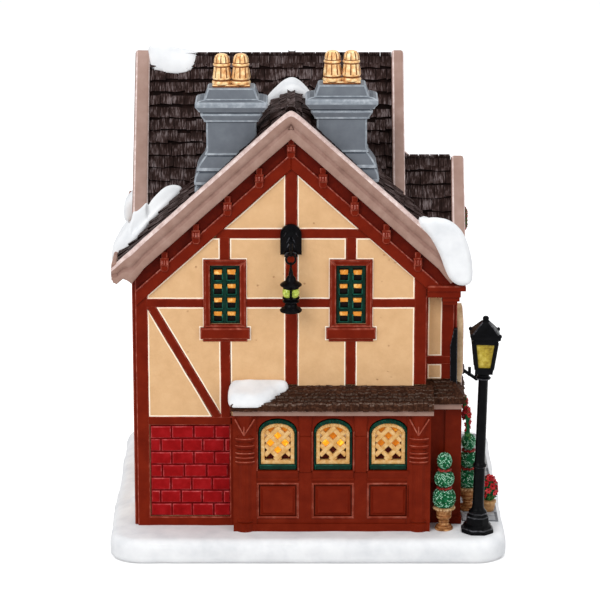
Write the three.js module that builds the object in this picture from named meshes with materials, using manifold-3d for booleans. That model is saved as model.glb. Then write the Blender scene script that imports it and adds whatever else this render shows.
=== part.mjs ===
// Lighted christmas village building: a half-timbered house with a cross gable, a shopfront,
// chimneys, snow, a street lamp and planters on a snowy base, with its battery box below.
// Millimetres, +Z up. The photographed gable end faces -Y and the street side faces +X.
// Lengths along Y are first counted from the gable wall's face, then the whole model is shifted
// so that the origin is the middle of the base's underside.
import * as THREE from 'three';
import { mergeVertices } from 'three/addons/utils/BufferGeometryUtils.js';
import Module from 'manifold-3d';

const wasm = await Module();
wasm.setup();

// Clearances
const seatGap = 0.1;
const fitGap = 0.3;

// Snow-covered base
const baseWidth = 160;
const baseDepth = 148;
const baseHeight = 9.5;
const baseCornerRadius = 13;
const baseEdgeRound = 3;
const apronDepth = 20.7;
const pavingWidth = 19;
const pavingThickness = 0.9;
const pavingStart = 4;
const pavingLength = 117;

// Walls of the cast house
const leftWallX = -69.1;
const rightWallX = 58.9;
const gableRightX = 47.5;
const houseLength = 116;
const wallThickness = 3;
const notchDepth = 8;

// Long roof over the gable end
const ridgeX = -6.7;
const ridgeZ = 183.6;
const wingPitch = 42;
const wingEaveOverhang = 3.4;
const wingEaveReach = rightWallX - ridgeX + wingEaveOverhang;
const roofThickness = 3.4;
const courseLength = 5.7;
const courseStep = 0.7;
const gableOverhang = 7.2;

// Tall cross roof with its two coped gables
const crossRidgeZ = 193.2;
const crossRidgeY = 58;
const crossPitch = 57;
const crossFootRun = 1.74;
const leftCopingWidth = 5.8;
const copingOverhang = 1.6;
const rightCopingX = 39.2;
const rightCopingWidth = 4.8;
const copingRise = 3.6;

// Low street-side bay roof with its coped gable
const bayRidgeZ = 155.6;
const bayRidgeY = 33;
const bayFootRun = 2.29;
const bayCopingWidth = 5.1;
const bayCopingOverhang = 4.3;
const bayCopingRise = 2.4;
const bayCopingSkirt = 2.5;

// Bargeboards
const bargeDepth = 12;
const bargeThickness = 3.8;
const bargeStep = 1;
const eaveBoardHeight = 4;
const eaveBoardThickness = 2.4;
const eaveReturnLength = 17;
const leftEaveEndY = 33;
const leftReturnLength = leftEaveEndY + gableOverhang;

// Timber frame
const timberThickness = 1.3;
const postWidth = 5;
const centrePostWidth = 4.8;
const studWidth = 4;
const railWidth = 3.6;
const braceWidth = 3.3;
const rafterWidth = 7.6;
const rafterThickness = 2.6;
const rafterDrop = 25;
const corbelCount = 5;
const corbelWidth = 3.4;
const corbelHeight = 8;
const corbelReach = 1.8;
const corbelPitch = 12.6;
const rafterGap = 0.6;
const corniceTopZ = 111;
const corniceHeight = 6;
const corniceRightX = 62;
const notchRailZ = 77.7;
const collarZ = 132.2;
const midRailZ = 103.6;
const lowRailZ = 54.4;
const groundBeamHeight = 4;

// Upper windows
const windowWidth = 12;
const windowHeight = 24.4;
const windowSillZ = 94.7;
const windowLeftX = -33.2;
const windowRightX = 17.2;
const casingWidth = 2.4;
const casingThickness = 1.8;
const sillHeight = 4.6;
const sillReach = 3.9;
const sashThickness = 1.6;
const sashBar = 1.3;
const paneRows = 4;
const paneColumns = 2;

// Brick panel
const brickPanelRight = -31;
const brickCourses = 7;
const brickLength = 8.6;
const brickJoint = 0.6;
const brickBackThickness = 0.7;
const brickRelief = 0.6;

// Shopfront
const shopLeftX = -30.1;
const shopRightX = 49.4;
const shopDepth = 8;
const shopTopZ = 59.4;
const pilasterWidth = 9.4;
const pilasterReach = 1.6;
const pilasterRadius = 3.6;
const shopBayCount = 3;
const archWidth = 15.8;
const leftArchMargin = 0.6;
const rightArchLap = 0.3;
const archBottomZ = 35.6;
const archSpringZ = 52.2;
const archRise = 5.4;
const archFrameWidth = 0.9;
const archFrameThickness = 3;
const archSillHeight = 2.4;
const latticeThickness = 1.2;
const latticeHoleRadius = 1.7;
const shopSillHeight = 3.6;
const shopSillReach = 1;
const shopPanelBottomZ = 15.3;
const shopPanelHeight = 14.9;
const shopPanelGroove = 0.8;
const pierLeftX = 55.6;
const pierRightX = 62.2;
const pierFrontY = 1;
const pierDepth = 11;

// Pent roof over the shopfront
const pentWallZ = 69.3;
const pentEaveZ = 64.6;
const pentUnderZ = 61.9;
const pentReach = 12;
const pentSideReach = 3;
const pentEndX = 63.2;
const pentStreetLength = 55;
const eaveMouldHeight = 2.3;

// Chimneys
const chimneyShaftHalfWidth = 9.9;
const chimneyDepthRatio = 0.62;
const chimneyY = 7;
const leftChimneyX = -30.3;
const leftChimneyTopZ = 190.3;
const rightChimneyX = 13.3;
const rightChimneyTopZ = 191.6;
const potHeight = 12.2;
const potRadius = 3.7;
const potSpacing = 7.8;

// Wall lantern
const lanternX = -6.8;
const lanternY = -9;
const lanternRingZ = 123.6;
const lanternRingRadius = 1.9;
const lanternWire = 0.9;
const lanternGlassRadius = 3.7;
const lanternGlassHeight = 4;
const bracketWidth = 8.4;
const bracketTopZ = 136.4;
const bracketBottomZ = 123;

// Street lamp
const lampX = 68.6;
const lampY = -7.7;
const lampLean = 1.4;
const lampPostRadius = 2;
const lampHeadZ = 66.5;
const lampPaneHeight = 11.6;
const lampTopHalfWidth = 4.9;
const lampBottomHalfWidth = 3.1;
const lampRoofHalfWidth = 5.7;

// Planters
const nearTopiaryX = 55.2;
const nearTopiaryY = -5.2;
const farTopiaryX = 66.1;
const farTopiaryY = 17.5;
const urnHeight = 9.4;
const urnRadius = 3.7;
const topiaryTierRadii = [4.9, 4.2, 3.05];
const topiaryTierHeights = [9.2, 8.6, 7.6];
const poinsettiaX = 74.6;
const poinsettiaY = 15;
const poinsettiaRadius = 4.4;

// Street side
const doorY = 31;
const doorWidth = 15;
const doorHeight = 34;
const signY = 21;
const signWidth = 22;
const signHeight = 27.4;
const signCrown = 4;
const signThickness = 2.2;
const swagRadius = 1.6;
const swagDrop = 13;

// Battery box, lamp and switch
const batteryX = -6;
const batteryY = 58;
const cellBayLength = 48;
const cellBayWidth = 34;
const cellBayHeight = 12;
const boxWall = 3.7;
const screwBossLength = 10;
const boxFlange = 3;
const flangeThickness = 2;
const coverThickness = 1.6;
const coverLip = 6;
const underClearance = 0.5;
const lampStemHeight = 44;
const lampStemRadius = 4;
const ledRadius = 2.5;
const switchX = 42;
const switchTravel = 2;
const switchPocketLength = 12;
const switchPocketWidth = 7;
const switchPocketTop = 7;
const switchLipZ = 3;
const switchStemHalf = 1.4;

// Paint
const snowColour = '#eeefee';
const snowRoughness = 0.75;
const stuccoColour = '#ddb488';
const timberColour = '#6f2210';
const joineryColour = '#722b1c';
const shingleColour = '#3a2a24';
const stoneTrimColour = '#aa8a7f';
const copingColour = '#bb9d93';
const chimneyColour = '#777c82';
const goldColour = '#e0ac72';
const brickColour = '#8f1c1b';
const greenColour = '#07301f';
const blackColour = '#0b090a';
const amberColour = '#e6aa5a';
const latticeColour = '#d6a666';
const foliageColour = '#2f6b4a';

// Heights that pieces stand on
const groundZ = baseHeight + seatGap;
const pavingZ = groundZ + pavingThickness + seatGap;

const tan = (degrees) => Math.tan(THREE.MathUtils.degToRad(degrees));
const cos = (degrees) => Math.cos(THREE.MathUtils.degToRad(degrees));

// Turns a closed three.js geometry into a solid, with its faces pointing out.
function solidOf(geometry) {
  const bare = geometry.clone();
  for (const name of Object.keys(bare.attributes)) {
    if (name !== 'position') bare.deleteAttribute(name);
  }
  const merged = mergeVertices(bare, 1e-4);
  const points = merged.attributes.position;
  const corner = [new THREE.Vector3(), new THREE.Vector3(), new THREE.Vector3()];
  const kept = [];
  let volume = 0;
  for (let i = 0; i < merged.index.count; i += 3) {
    const ids = [0, 1, 2].map((k) => merged.index.getX(i + k));
    if (new Set(ids).size < 3) continue;
    kept.push(...ids);
    ids.forEach((id, k) => corner[k].fromBufferAttribute(points, id));
    volume += corner[0].dot(corner[1].cross(corner[2]));
  }
  if (volume < 0) kept.reverse();
  return new wasm.Manifold(new wasm.Mesh({
    numProp: 3,
    vertProperties: Float32Array.from(points.array),
    triVerts: Uint32Array.from(kept),
  }));
}

const join = (...solids) => solids.reduce((whole, next) => whole.add(next));
const cut = (solid, ...tools) => tools.reduce((rest, tool) => rest.subtract(tool), solid);

const model = new THREE.Group();
model.position.y = apronDepth - baseDepth / 2;

// Adds one named piece to a group of the model.
function piece(name, solid, colour, roughness = 0.6, metalness = 0, parent = model) {
  const source = solid.getMesh();
  const geometry = new THREE.BufferGeometry();
  geometry.setAttribute('position', new THREE.BufferAttribute(source.vertProperties, 3));
  geometry.setIndex(new THREE.BufferAttribute(source.triVerts, 1));
  geometry.computeVertexNormals();
  const material = new THREE.MeshStandardMaterial({ color: colour, roughness, metalness });
  const mesh = new THREE.Mesh(geometry, material);
  mesh.name = name;
  parent.add(mesh);
  return mesh;
}

const shapeOf = (points) => new THREE.Shape(points.map(([u, v]) => new THREE.Vector2(u, v)));

function extrusion(points, depth) {
  return new THREE.ExtrudeGeometry(shapeOf(points), { depth, bevelEnabled: false });
}

// Points are [x, z], and the prism runs along Y.
function prismY(points, y0, y1) {
  return solidOf(extrusion(points, y1 - y0).rotateX(Math.PI / 2).translate(0, y1, 0));
}

// Points are [y, z], and the prism runs along X.
function prismX(points, x0, x1) {
  const turn = new THREE.Matrix4().makeBasis(
    new THREE.Vector3(0, 1, 0),
    new THREE.Vector3(0, 0, 1),
    new THREE.Vector3(1, 0, 0),
  );
  return solidOf(extrusion(points, x1 - x0).applyMatrix4(turn).translate(x0, 0, 0));
}

// Points are [x, y], and the prism runs along Z.
function prismZ(points, z0, z1) {
  return solidOf(extrusion(points, z1 - z0).translate(0, 0, z0));
}

function box(x0, x1, y0, y1, z0, z1) {
  const block = new THREE.BoxGeometry(x1 - x0, y1 - y0, z1 - z0);
  return solidOf(block.translate((x0 + x1) / 2, (y0 + y1) / 2, (z0 + z1) / 2));
}

// A turned piece about a vertical axis; the profile is [radius, z] from axis to axis.
function turned(profile, segments, x, y, z) {
  const points = profile.map(([radius, height]) => new THREE.Vector2(radius, height));
  const lathe = new THREE.LatheGeometry(points, segments);
  return solidOf(lathe.rotateX(Math.PI / 2).translate(x, y, z));
}

// A moulded pier of rectangular section; the profile is [half width, z] from axis to axis.
function mouldedPier(profile, depthRatio, x, y, z) {
  const points = profile.map(([half, height]) => new THREE.Vector2(half * Math.SQRT2, height));
  const lathe = new THREE.LatheGeometry(points, 4, Math.PI / 4);
  return solidOf(lathe.rotateX(Math.PI / 2).scale(1, depthRatio, 1).translate(x, y, z));
}

function ball(radius, x, y, z, scale = [1, 1, 1], across = 10, up = 7) {
  const sphere = new THREE.SphereGeometry(radius, across, up).rotateX(Math.PI / 2);
  return solidOf(sphere.scale(...scale).translate(x, y, z));
}

// A straight bar in a wall's plane, from one end to the other.
function bar(u0, z0, u1, z1, width) {
  const length = Math.hypot(u1 - u0, z1 - z0);
  const du = (-(z1 - z0) / length) * (width / 2);
  const dz = ((u1 - u0) / length) * (width / 2);
  return [[u0 - du, z0 - dz], [u1 - du, z1 - dz], [u1 + du, z1 + dz], [u0 + du, z0 + dz]];
}

const rectangle = (u0, u1, z0, z1) => [[u0, z0], [u1, z0], [u1, z1], [u0, z1]];

// An upright opening with a low arched head.
function archOutline(centre, halfWidth, bottom, spring, rise, steps = 10) {
  const points = [[centre - halfWidth, bottom], [centre + halfWidth, bottom]];
  for (let i = 0; i <= steps; i += 1) {
    const angle = (Math.PI * i) / steps;
    points.push([centre + halfWidth * Math.cos(angle), spring + rise * Math.sin(angle)]);
  }
  return points;
}

// Heights of the three roofs' upper surfaces
const wingLine = (x) => ridgeZ - Math.abs(x - ridgeX) * tan(wingPitch);
const crossLine = (y) => crossRidgeZ - Math.abs(y - crossRidgeY) * tan(crossPitch);
const bayLine = (y) => bayRidgeZ - Math.abs(y - bayRidgeY) * tan(crossPitch);
const wingDrop = roofThickness / cos(wingPitch);
const crossDrop = roofThickness / cos(crossPitch);

const leftCopingX = leftWallX - copingOverhang;
const leftCopingInnerX = leftCopingX + leftCopingWidth;
const rightCopingInnerX = rightCopingX - rightCopingWidth;
const rightGableX = rightCopingX - copingOverhang;
const bayCopingX = rightWallX + bayCopingOverhang;
const bayCopingInnerX = bayCopingX - bayCopingWidth;
const bargeReach = wingEaveReach + seatGap + eaveBoardThickness;
const wingEaveLeftX = ridgeX - wingEaveReach;
const wingEaveRightX = ridgeX + wingEaveReach;
// The steep slopes come down to the long roof's line beside the left coping, and a little past it.
const crossHalfSpan = (crossRidgeZ - wingLine(leftCopingInnerX)) / tan(crossPitch) + crossFootRun;
const crossFootY = crossRidgeY - crossHalfSpan;
const bayHalfSpan = (bayRidgeZ - wingLine(bayCopingInnerX)) / tan(crossPitch) + bayFootRun;
const bayFootY = bayRidgeY - bayHalfSpan;
const farOverhangY = houseLength + gableOverhang;

// A gable-shaped outline under a roof line, down to a level floor.
function underRoof(line, centre, low, high, shift, floor) {
  return [
    [low, floor],
    [high, floor],
    [high, line(high) + shift],
    [centre, line(centre) + shift],
    [low, line(low) + shift],
  ];
}

// A roof's section with its shingle courses as steps.
function shingledSection(line, centre, reach, pitch, drop) {
  const run = courseLength * cos(pitch);
  const count = Math.max(1, Math.round(reach / run));
  const step = reach / count;
  const side = (sign) => {
    const points = [];
    for (let i = 0; i < count; i += 1) {
      const low = centre + sign * (reach - i * step);
      const high = centre + sign * (reach - (i + 1) * step);
      points.push([low, line(low)]);
      points.push([high, line(high) - courseStep]);
    }
    return points;
  };
  return [
    [centre - reach, line(centre - reach) - drop],
    ...side(-1),
    ...side(1).reverse(),
    [centre + reach, line(centre + reach) - drop],
    [centre, line(centre) - drop],
  ];
}

// Everything under the three roofs' upper surfaces, raised by a height.
function roofMass(raise) {
  const floor = 60;
  const reach = bargeReach + raise;
  const wing = prismY(
    underRoof(wingLine, ridgeX, ridgeX - reach, ridgeX + reach, raise, floor),
    -gableOverhang - raise,
    farOverhangY + raise,
  );
  const cross = prismX(
    underRoof(crossLine, crossRidgeY, crossFootY, 2 * crossRidgeY - crossFootY, raise, floor),
    leftCopingX,
    rightCopingX,
  );
  const bay = prismX(
    underRoof(bayLine, bayRidgeY, bayFootY, 2 * bayRidgeY - bayFootY, raise, floor),
    rightCopingX - 1,
    bayCopingX,
  );
  return join(wing, cross, bay);
}

// Everything below the long roof's underside, where no other roof may reach.
function belowWingRoof() {
  const left = leftWallX - fitGap;
  const right = rightWallX + fitGap;
  const outline = underRoof(wingLine, ridgeX, left, right, -wingDrop, 0);
  return prismY(outline, -fitGap, houseLength + fitGap);
}

// The stone copings as solids, grown by a clearance on every side.
function copingSolids(grow) {
  const coping = (line, centre, halfSpan, rise, x0, x1) => {
    const low = centre - halfSpan - grow;
    const high = centre + halfSpan + grow;
    const top = rise + grow;
    return prismX(underRoof(line, centre, low, high, top, 60), x0 - grow, x1 + grow);
  };
  return join(
    coping(crossLine, crossRidgeY, crossHalfSpan, copingRise, leftCopingX, leftCopingInnerX),
    coping(crossLine, crossRidgeY, crossHalfSpan, copingRise, rightCopingInnerX, rightCopingX),
    coping(bayLine, bayRidgeY, bayHalfSpan, bayCopingRise, bayCopingInnerX, bayCopingX),
  );
}

// Battery box sizes that the base, box and cover share
const boxLength = cellBayLength + screwBossLength + 2 * boxWall;
const boxWidth = cellBayWidth + 2 * boxWall;
const boxLeftX = batteryX - boxLength / 2;
const boxRightX = batteryX + boxLength / 2;
const cellLeftX = boxLeftX + boxWall;
const cellRightX = cellLeftX + cellBayLength;
const flangeTopZ = underClearance + flangeThickness;
const screwX = boxRightX - boxWall - screwBossLength / 2;
const screwRadius = 1.2;
const screwHeadRadius = 2.6;

function around(length, width, grow, z0, z1) {
  return box(
    batteryX - length / 2 - grow,
    batteryX + length / 2 + grow,
    batteryY - width / 2 - grow,
    batteryY + width / 2 + grow,
    z0,
    z1,
  );
}

function makeBase() {
  const halfWidth = baseWidth / 2 - baseEdgeRound;
  const low = -apronDepth + baseEdgeRound;
  const high = baseDepth - apronDepth - baseEdgeRound;
  const radius = baseCornerRadius;
  const outline = new THREE.Shape();
  outline.moveTo(-halfWidth + radius, low);
  outline.lineTo(halfWidth - radius, low);
  outline.absarc(halfWidth - radius, low + radius, radius, -Math.PI / 2, 0);
  outline.lineTo(halfWidth, high - radius);
  outline.absarc(halfWidth - radius, high - radius, radius, 0, Math.PI / 2);
  outline.lineTo(-halfWidth + radius, high);
  outline.absarc(-halfWidth + radius, high - radius, radius, Math.PI / 2, Math.PI);
  outline.lineTo(-halfWidth, low + radius);
  outline.absarc(-halfWidth + radius, low + radius, radius, Math.PI, Math.PI * 1.5);
  const slab = solidOf(new THREE.ExtrudeGeometry(outline, {
    depth: baseHeight - 2 * baseEdgeRound,
    curveSegments: 5,
    bevelEnabled: true,
    bevelThickness: baseEdgeRound,
    bevelSize: baseEdgeRound,
    bevelSegments: 3,
  }).translate(0, 0, baseEdgeRound));
  const throat = switchStemHalf + switchTravel / 2 + 2 * fitGap;
  const solid = cut(
    slab,
    around(boxLength, boxWidth, fitGap, -1, baseHeight + 1),
    around(boxLength + 2 * boxFlange, boxWidth + 2 * boxFlange, fitGap, -1, flangeTopZ),
    box(
      switchX - switchPocketLength / 2,
      switchX + switchPocketLength / 2,
      batteryY - switchPocketWidth / 2,
      batteryY + switchPocketWidth / 2,
      switchLipZ,
      switchPocketTop,
    ),
    box(
      switchX - throat,
      switchX + throat,
      batteryY - switchStemHalf - fitGap,
      batteryY + switchStemHalf + fitGap,
      -1,
      switchLipZ + 1,
    ),
  );
  piece('snow_base', solid, snowColour, snowRoughness);
}

function makePaving() {
  const x0 = rightWallX + seatGap;
  const x1 = x0 + pavingWidth;
  const top = groundZ + pavingThickness;
  const slab = box(x0, x1, pavingStart, pavingStart + pavingLength, groundZ, top);
  const pier = box(pierLeftX, pierRightX + 1, 0, pierFrontY + pierDepth + fitGap, 0, 20);
  piece('street_paving', cut(slab, pier), '#8d8f92', 0.85);
}

// The space inside or outside of the cast walls, set in by a distance.
function houseMass(inset, floor) {
  const wingShift = -wingDrop - (fitGap + inset) / cos(wingPitch);
  const crossShift = -crossDrop - (fitGap + inset) / cos(crossPitch);
  const left = leftWallX + inset;
  const right = rightWallX - inset;
  const long = prismY(
    underRoof(wingLine, ridgeX, left, right, wingShift, floor),
    inset,
    houseLength - inset,
  );
  const cross = prismX(
    underRoof(
      crossLine,
      crossRidgeY,
      crossFootY + inset,
      2 * crossRidgeY - crossFootY - inset,
      crossShift,
      floor,
    ),
    left,
    rightGableX - inset,
  );
  const bay = prismX(
    underRoof(
      bayLine,
      bayRidgeY,
      bayFootY + inset,
      2 * bayRidgeY - bayFootY - inset,
      crossShift,
      floor,
    ),
    rightGableX - inset - 1,
    right,
  );
  const notch = box(gableRightX - inset, baseWidth, -1, notchDepth + inset, floor - 1, ridgeZ);
  return cut(join(long, cross, bay), notch);
}

// The bays share the width between the pilasters.
function shopBayX(index) {
  const first = shopLeftX + pilasterWidth + leftArchMargin + archWidth / 2;
  const last = shopRightX - pilasterWidth + rightArchLap - archWidth / 2;
  return first + (index * (last - first)) / (shopBayCount - 1);
}

function makeHouseShell() {
  const solid = cut(houseMass(0, baseHeight), houseMass(wallThickness, baseHeight - 1));
  const holes = [windowLeftX, windowRightX].flatMap((x) => [
    windowHole(x, (points) => prismY(points, -1, wallThickness + 1)),
    windowHole(x, (points) => prismY(points, houseLength - wallThickness - 1, houseLength + 1)),
  ]);
  holes.push(windowHole(crossRidgeY, (points) => prismX(points, leftWallX - 1, leftWallX + wallThickness + 1)));
  holes.push(windowHole(bayRidgeY, (points) => prismX(points, rightWallX - wallThickness - 1, rightWallX + 1)));
  for (let i = 0; i < shopBayCount; i += 1) {
    const hole = archOutline(shopBayX(i), archWidth / 2, archBottomZ, archSpringZ, archRise);
    holes.push(prismY(hole, -1, wallThickness + 1));
  }
  piece('house_shell', cut(solid, ...holes), stuccoColour, 0.8);
}

function windowHole(centre, extrude) {
  const half = windowWidth / 2;
  return extrude(rectangle(centre - half, centre + half, windowSillZ, windowSillZ + windowHeight));
}

function makeRoofs() {
  const wingSection = shingledSection(wingLine, ridgeX, wingEaveReach, wingPitch, wingDrop);
  const frontEnd = -gableOverhang + bargeThickness + seatGap;
  const farEnd = farOverhangY - bargeThickness - seatGap;
  const crossBlock = prismX(
    underRoof(crossLine, crossRidgeY, 0, 2 * crossRidgeY, fitGap / cos(crossPitch), 0),
    leftCopingInnerX - 1,
    rightCopingInnerX + 1,
  );
  const bayBlock = prismX(
    underRoof(bayLine, bayRidgeY, 0, 2 * bayRidgeY, fitGap / cos(crossPitch), 0),
    rightCopingX - 1,
    wingEaveRightX + 1,
  );
  const leftEaveStop = box(
    wingEaveLeftX - 1,
    leftCopingInnerX,
    leftEaveEndY,
    2 * crossRidgeY - crossFootY + fitGap,
    0,
    ridgeZ,
  );
  const wing = cut(
    prismY(wingSection, frontEnd, farEnd),
    crossBlock,
    bayBlock,
    copingSolids(fitGap),
    leftEaveStop,
  );
  const halves = wing.decompose().sort((a, b) => b.volume() - a.volume()).slice(0, 2);
  halves.sort((a, b) => a.boundingBox().min[1] - b.boundingBox().min[1]);
  piece('front_wing_roof', halves[0], shingleColour, 0.9);
  piece('far_wing_roof', halves[1], shingleColour, 0.9);

  const crossReach = crossHalfSpan - seatGap;
  const crossSection = shingledSection(crossLine, crossRidgeY, crossReach, crossPitch, crossDrop);
  const crossSlopes = prismX(
    crossSection,
    leftCopingInnerX + seatGap,
    rightCopingInnerX - seatGap,
  );
  piece('cross_roof', largest(cut(crossSlopes, belowWingRoof())), shingleColour, 0.9);
  const bayReach = bayHalfSpan - seatGap;
  const baySection = shingledSection(bayLine, bayRidgeY, bayReach, crossPitch, crossDrop);
  const bayRoof = prismX(baySection, rightCopingX + seatGap, bayCopingInnerX - seatGap);
  piece('bay_roof', largest(cut(bayRoof, belowWingRoof())), shingleColour, 0.9);
}

// Keeps the biggest of the loose parts that a cut can leave.
function largest(solid) {
  const parts = solid.decompose();
  return parts.reduce((best, next) => (next.volume() > best.volume() ? next : best));
}

// A stone coping that follows a gable, seated on its wall.
function copingSection(line, centre, halfSpan, rise, drop) {
  const bevel = 1;
  return [
    [centre - halfSpan, line(centre - halfSpan) - drop],
    [centre - halfSpan, line(centre - halfSpan) + rise],
    [centre - bevel, line(centre - bevel) + rise],
    [centre + bevel, line(centre + bevel) + rise],
    [centre + halfSpan, line(centre + halfSpan) + rise],
    [centre + halfSpan, line(centre + halfSpan) - drop],
    [centre, line(centre) - drop],
  ];
}

function makeCopings() {
  const below = join(
    belowWingRoof(),
    prismX(
      underRoof(bayLine, bayRidgeY, bayFootY, 2 * bayRidgeY - bayFootY, -crossDrop, 0),
      rightGableX - 2,
      bayCopingX - 1,
    ),
  );
  const coping = (name, x0, x1) => {
    const section = copingSection(crossLine, crossRidgeY, crossHalfSpan, copingRise, crossDrop);
    piece(name, largest(cut(prismX(section, x0, x1), below)), copingColour, 0.7);
  };
  coping('left_coping', leftCopingX, leftCopingInnerX);
  coping('right_coping', rightCopingInnerX, rightCopingX);
  const bay = (drop, x0, x1) => prismX(
    copingSection(bayLine, bayRidgeY, bayHalfSpan, bayCopingRise, drop),
    x0,
    x1,
  );
  const seat = bay(crossDrop, bayCopingInnerX, bayCopingX);
  const moulding = bay(crossDrop + bayCopingSkirt, rightWallX + seatGap, bayCopingX);
  piece('bay_coping', largest(cut(join(seat, moulding), belowWingRoof())), copingColour, 0.7);
}

// One moulded bargeboard with its level ends and short eave returns; facing is -1 or 1.
function bargeboard(name, outerY, facing, leftLength) {
  const reach = bargeReach;
  const at = (offset, drop) => [ridgeX + offset, wingLine(ridgeX + offset) - drop];
  const endTop = wingLine(ridgeX + reach);
  const end = (side, low) => [
    [ridgeX + side * reach, endTop],
    [ridgeX + side * reach, endTop - 2.6],
    [ridgeX + side * (reach - 1.8), Math.min(endTop - 2.6, low)],
  ];
  const band = (top, bottom, foot) => [
    [ridgeX, ridgeZ - bottom],
    at(-reach + foot + 4.5, bottom),
    [ridgeX - reach + foot, endTop - eaveBoardHeight - 1.6],
    ...end(-1, endTop - eaveBoardHeight - 0.8).reverse(),
    [ridgeX, ridgeZ - top],
    ...end(1, endTop - eaveBoardHeight - 0.8),
    [ridgeX + reach - foot, endTop - eaveBoardHeight - 1.6],
    at(reach - foot - 4.5, bottom),
  ];
  const between = (a, b) => {
    const ends = [outerY - facing * a, outerY - facing * b];
    return [Math.min(...ends), Math.max(...ends)];
  };
  const lower = prismY(band(0, bargeDepth, 8.5), ...between(bargeStep, bargeThickness));
  const upper = prismY([
    [ridgeX - reach, endTop],
    [ridgeX - reach, endTop - 3],
    at(-reach + 4, bargeDepth * 0.55),
    [ridgeX, ridgeZ - bargeDepth * 0.55],
    at(reach - 4, bargeDepth * 0.55),
    [ridgeX + reach, endTop - 3],
    [ridgeX + reach, endTop],
    [ridgeX, ridgeZ],
  ], ...between(0, bargeThickness));
  const returns = [-1, 1].map((side) => {
    const ends = [ridgeX + side * (wingEaveReach + seatGap), ridgeX + side * reach];
    return box(
      Math.min(...ends),
      Math.max(...ends),
      ...between(bargeStep, side < 0 ? leftLength : eaveReturnLength),
      endTop - eaveBoardHeight - 1,
      endTop - 1,
    );
  });
  piece(name, join(upper, lower, ...returns), stoneTrimColour, 0.65);
}

// Timber outlines of a gable end, as bars in the wall's plane.
function gableTimbers(left, right, lowerRight) {
  const rafterTop = (x) => wingLine(x) - wingDrop - bargeDepth * 0.25;
  const rafterLow = (x) => wingLine(x) - rafterDrop;
  const frame = [];
  const add = (...bars) => frame.push(...bars);
  const rafter = (from, to) => [
    [from, rafterLow(from)],
    [to, rafterLow(to)],
    [to, rafterLow(to) + rafterWidth],
    [from, rafterLow(from) + rafterWidth],
  ];
  const reach = ridgeX - left;
  add(rafter(left, ridgeX + 0.5), rafter(ridgeX - 0.5, right));
  add(rectangle(left, left + postWidth, groundZ, rafterTop(left)));
  add(rectangle(right - postWidth, right, lowerRight, rafterTop(right)));
  add(rectangle(
    ridgeX - centrePostWidth / 2,
    ridgeX + centrePostWidth / 2,
    lowerRight,
    rafterLow(ridgeX) + 1,
  ));
  const collarReach = (ridgeZ - rafterDrop - collarZ) / tan(wingPitch) + 1;
  const collarRight = Math.min(ridgeX + collarReach, right - 1);
  add(rectangle(ridgeX - collarReach, collarRight, collarZ - 2, collarZ + 2));
  add(rectangle(left + 1, right - 1, midRailZ - railWidth / 2, midRailZ + railWidth / 2));
  for (const x of [windowLeftX, windowRightX]) {
    const head = windowSillZ + windowHeight + casingWidth;
    const foot = windowSillZ - sillHeight;
    const low = x < ridgeX ? lowRailZ : lowerRight;
    add(rectangle(x - studWidth / 2, x + studWidth / 2, head - 1, collarZ));
    add(rectangle(x - studWidth / 2, x + studWidth / 2, low, foot + 1));
  }
  add(rectangle(left + 1, left + reach * 0.62, lowRailZ - 1.8, lowRailZ + 1.8));
  add(rectangle(left, brickPanelRight, groundZ, baseHeight + groundBeamHeight));
  const braceTop = [left + postWidth + 1, midRailZ - 1];
  const braceFoot = [windowLeftX - studWidth / 2 - 1, lowRailZ + 1];
  add(bar(...braceTop, ...braceFoot, braceWidth));
  return frame;
}

// The window's casing and sill, as blocks thicker than the timbers.
function casingBlocks(centre) {
  const half = windowWidth / 2 + casingWidth;
  const head = windowSillZ + windowHeight + casingWidth;
  return {
    casing: rectangle(centre - half, centre + half, windowSillZ - casingWidth / 2, head),
    sill: rectangle(
      centre - windowWidth / 2 - sillReach,
      centre + windowWidth / 2 + sillReach,
      windowSillZ - casingWidth / 2 - sillHeight,
      windowSillZ - casingWidth / 2,
    ),
  };
}

// Joins flat bars and window casings into one frame, laid against a wall by a placing function.
function frameSolid(bars, windows, place) {
  const solids = bars.map((points) => place(points, timberThickness));
  for (const centre of windows) {
    const { casing, sill } = casingBlocks(centre);
    solids.push(place(casing, casingThickness), place(sill, casingThickness + 1));
  }
  const holes = windows.map((centre) => windowHole(centre, (points) => place(points, 9)));
  return cut(join(...solids), ...holes);
}

const onFront = (points, thickness) => prismY(points, -seatGap - thickness, -seatGap);
const onFar = (points, thickness) => prismY(
  points,
  houseLength + seatGap,
  houseLength + seatGap + thickness,
);
const onYard = (points, thickness) => prismX(
  points,
  leftWallX - seatGap - thickness,
  leftWallX - seatGap,
);
const onStreet = (points, thickness) => prismX(
  points,
  rightWallX + seatGap,
  rightWallX + seatGap + thickness,
);

// Small corbels under the bargeboard, spaced down both slopes from the ridge.
function corbels() {
  const blocks = [];
  for (let i = 0; i < corbelCount; i += 1) {
    for (const side of i === 0 ? [1] : [-1, 1]) {
      const x = ridgeX + side * i * corbelPitch;
      const at = (shift, drop) => [x + shift, wingLine(x + shift) - bargeDepth - drop];
      const half = corbelWidth / 2;
      const low = corbelHeight + rafterGap;
      const section = [at(-half, low), at(half, low), at(half, rafterGap), at(-half, rafterGap)];
      if (i === 0) section.splice(3, 0, [x, ridgeZ - bargeDepth - rafterGap]);
      blocks.push(prismY(section, -rafterThickness - corbelReach, -seatGap));
    }
  }
  return blocks;
}

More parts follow.
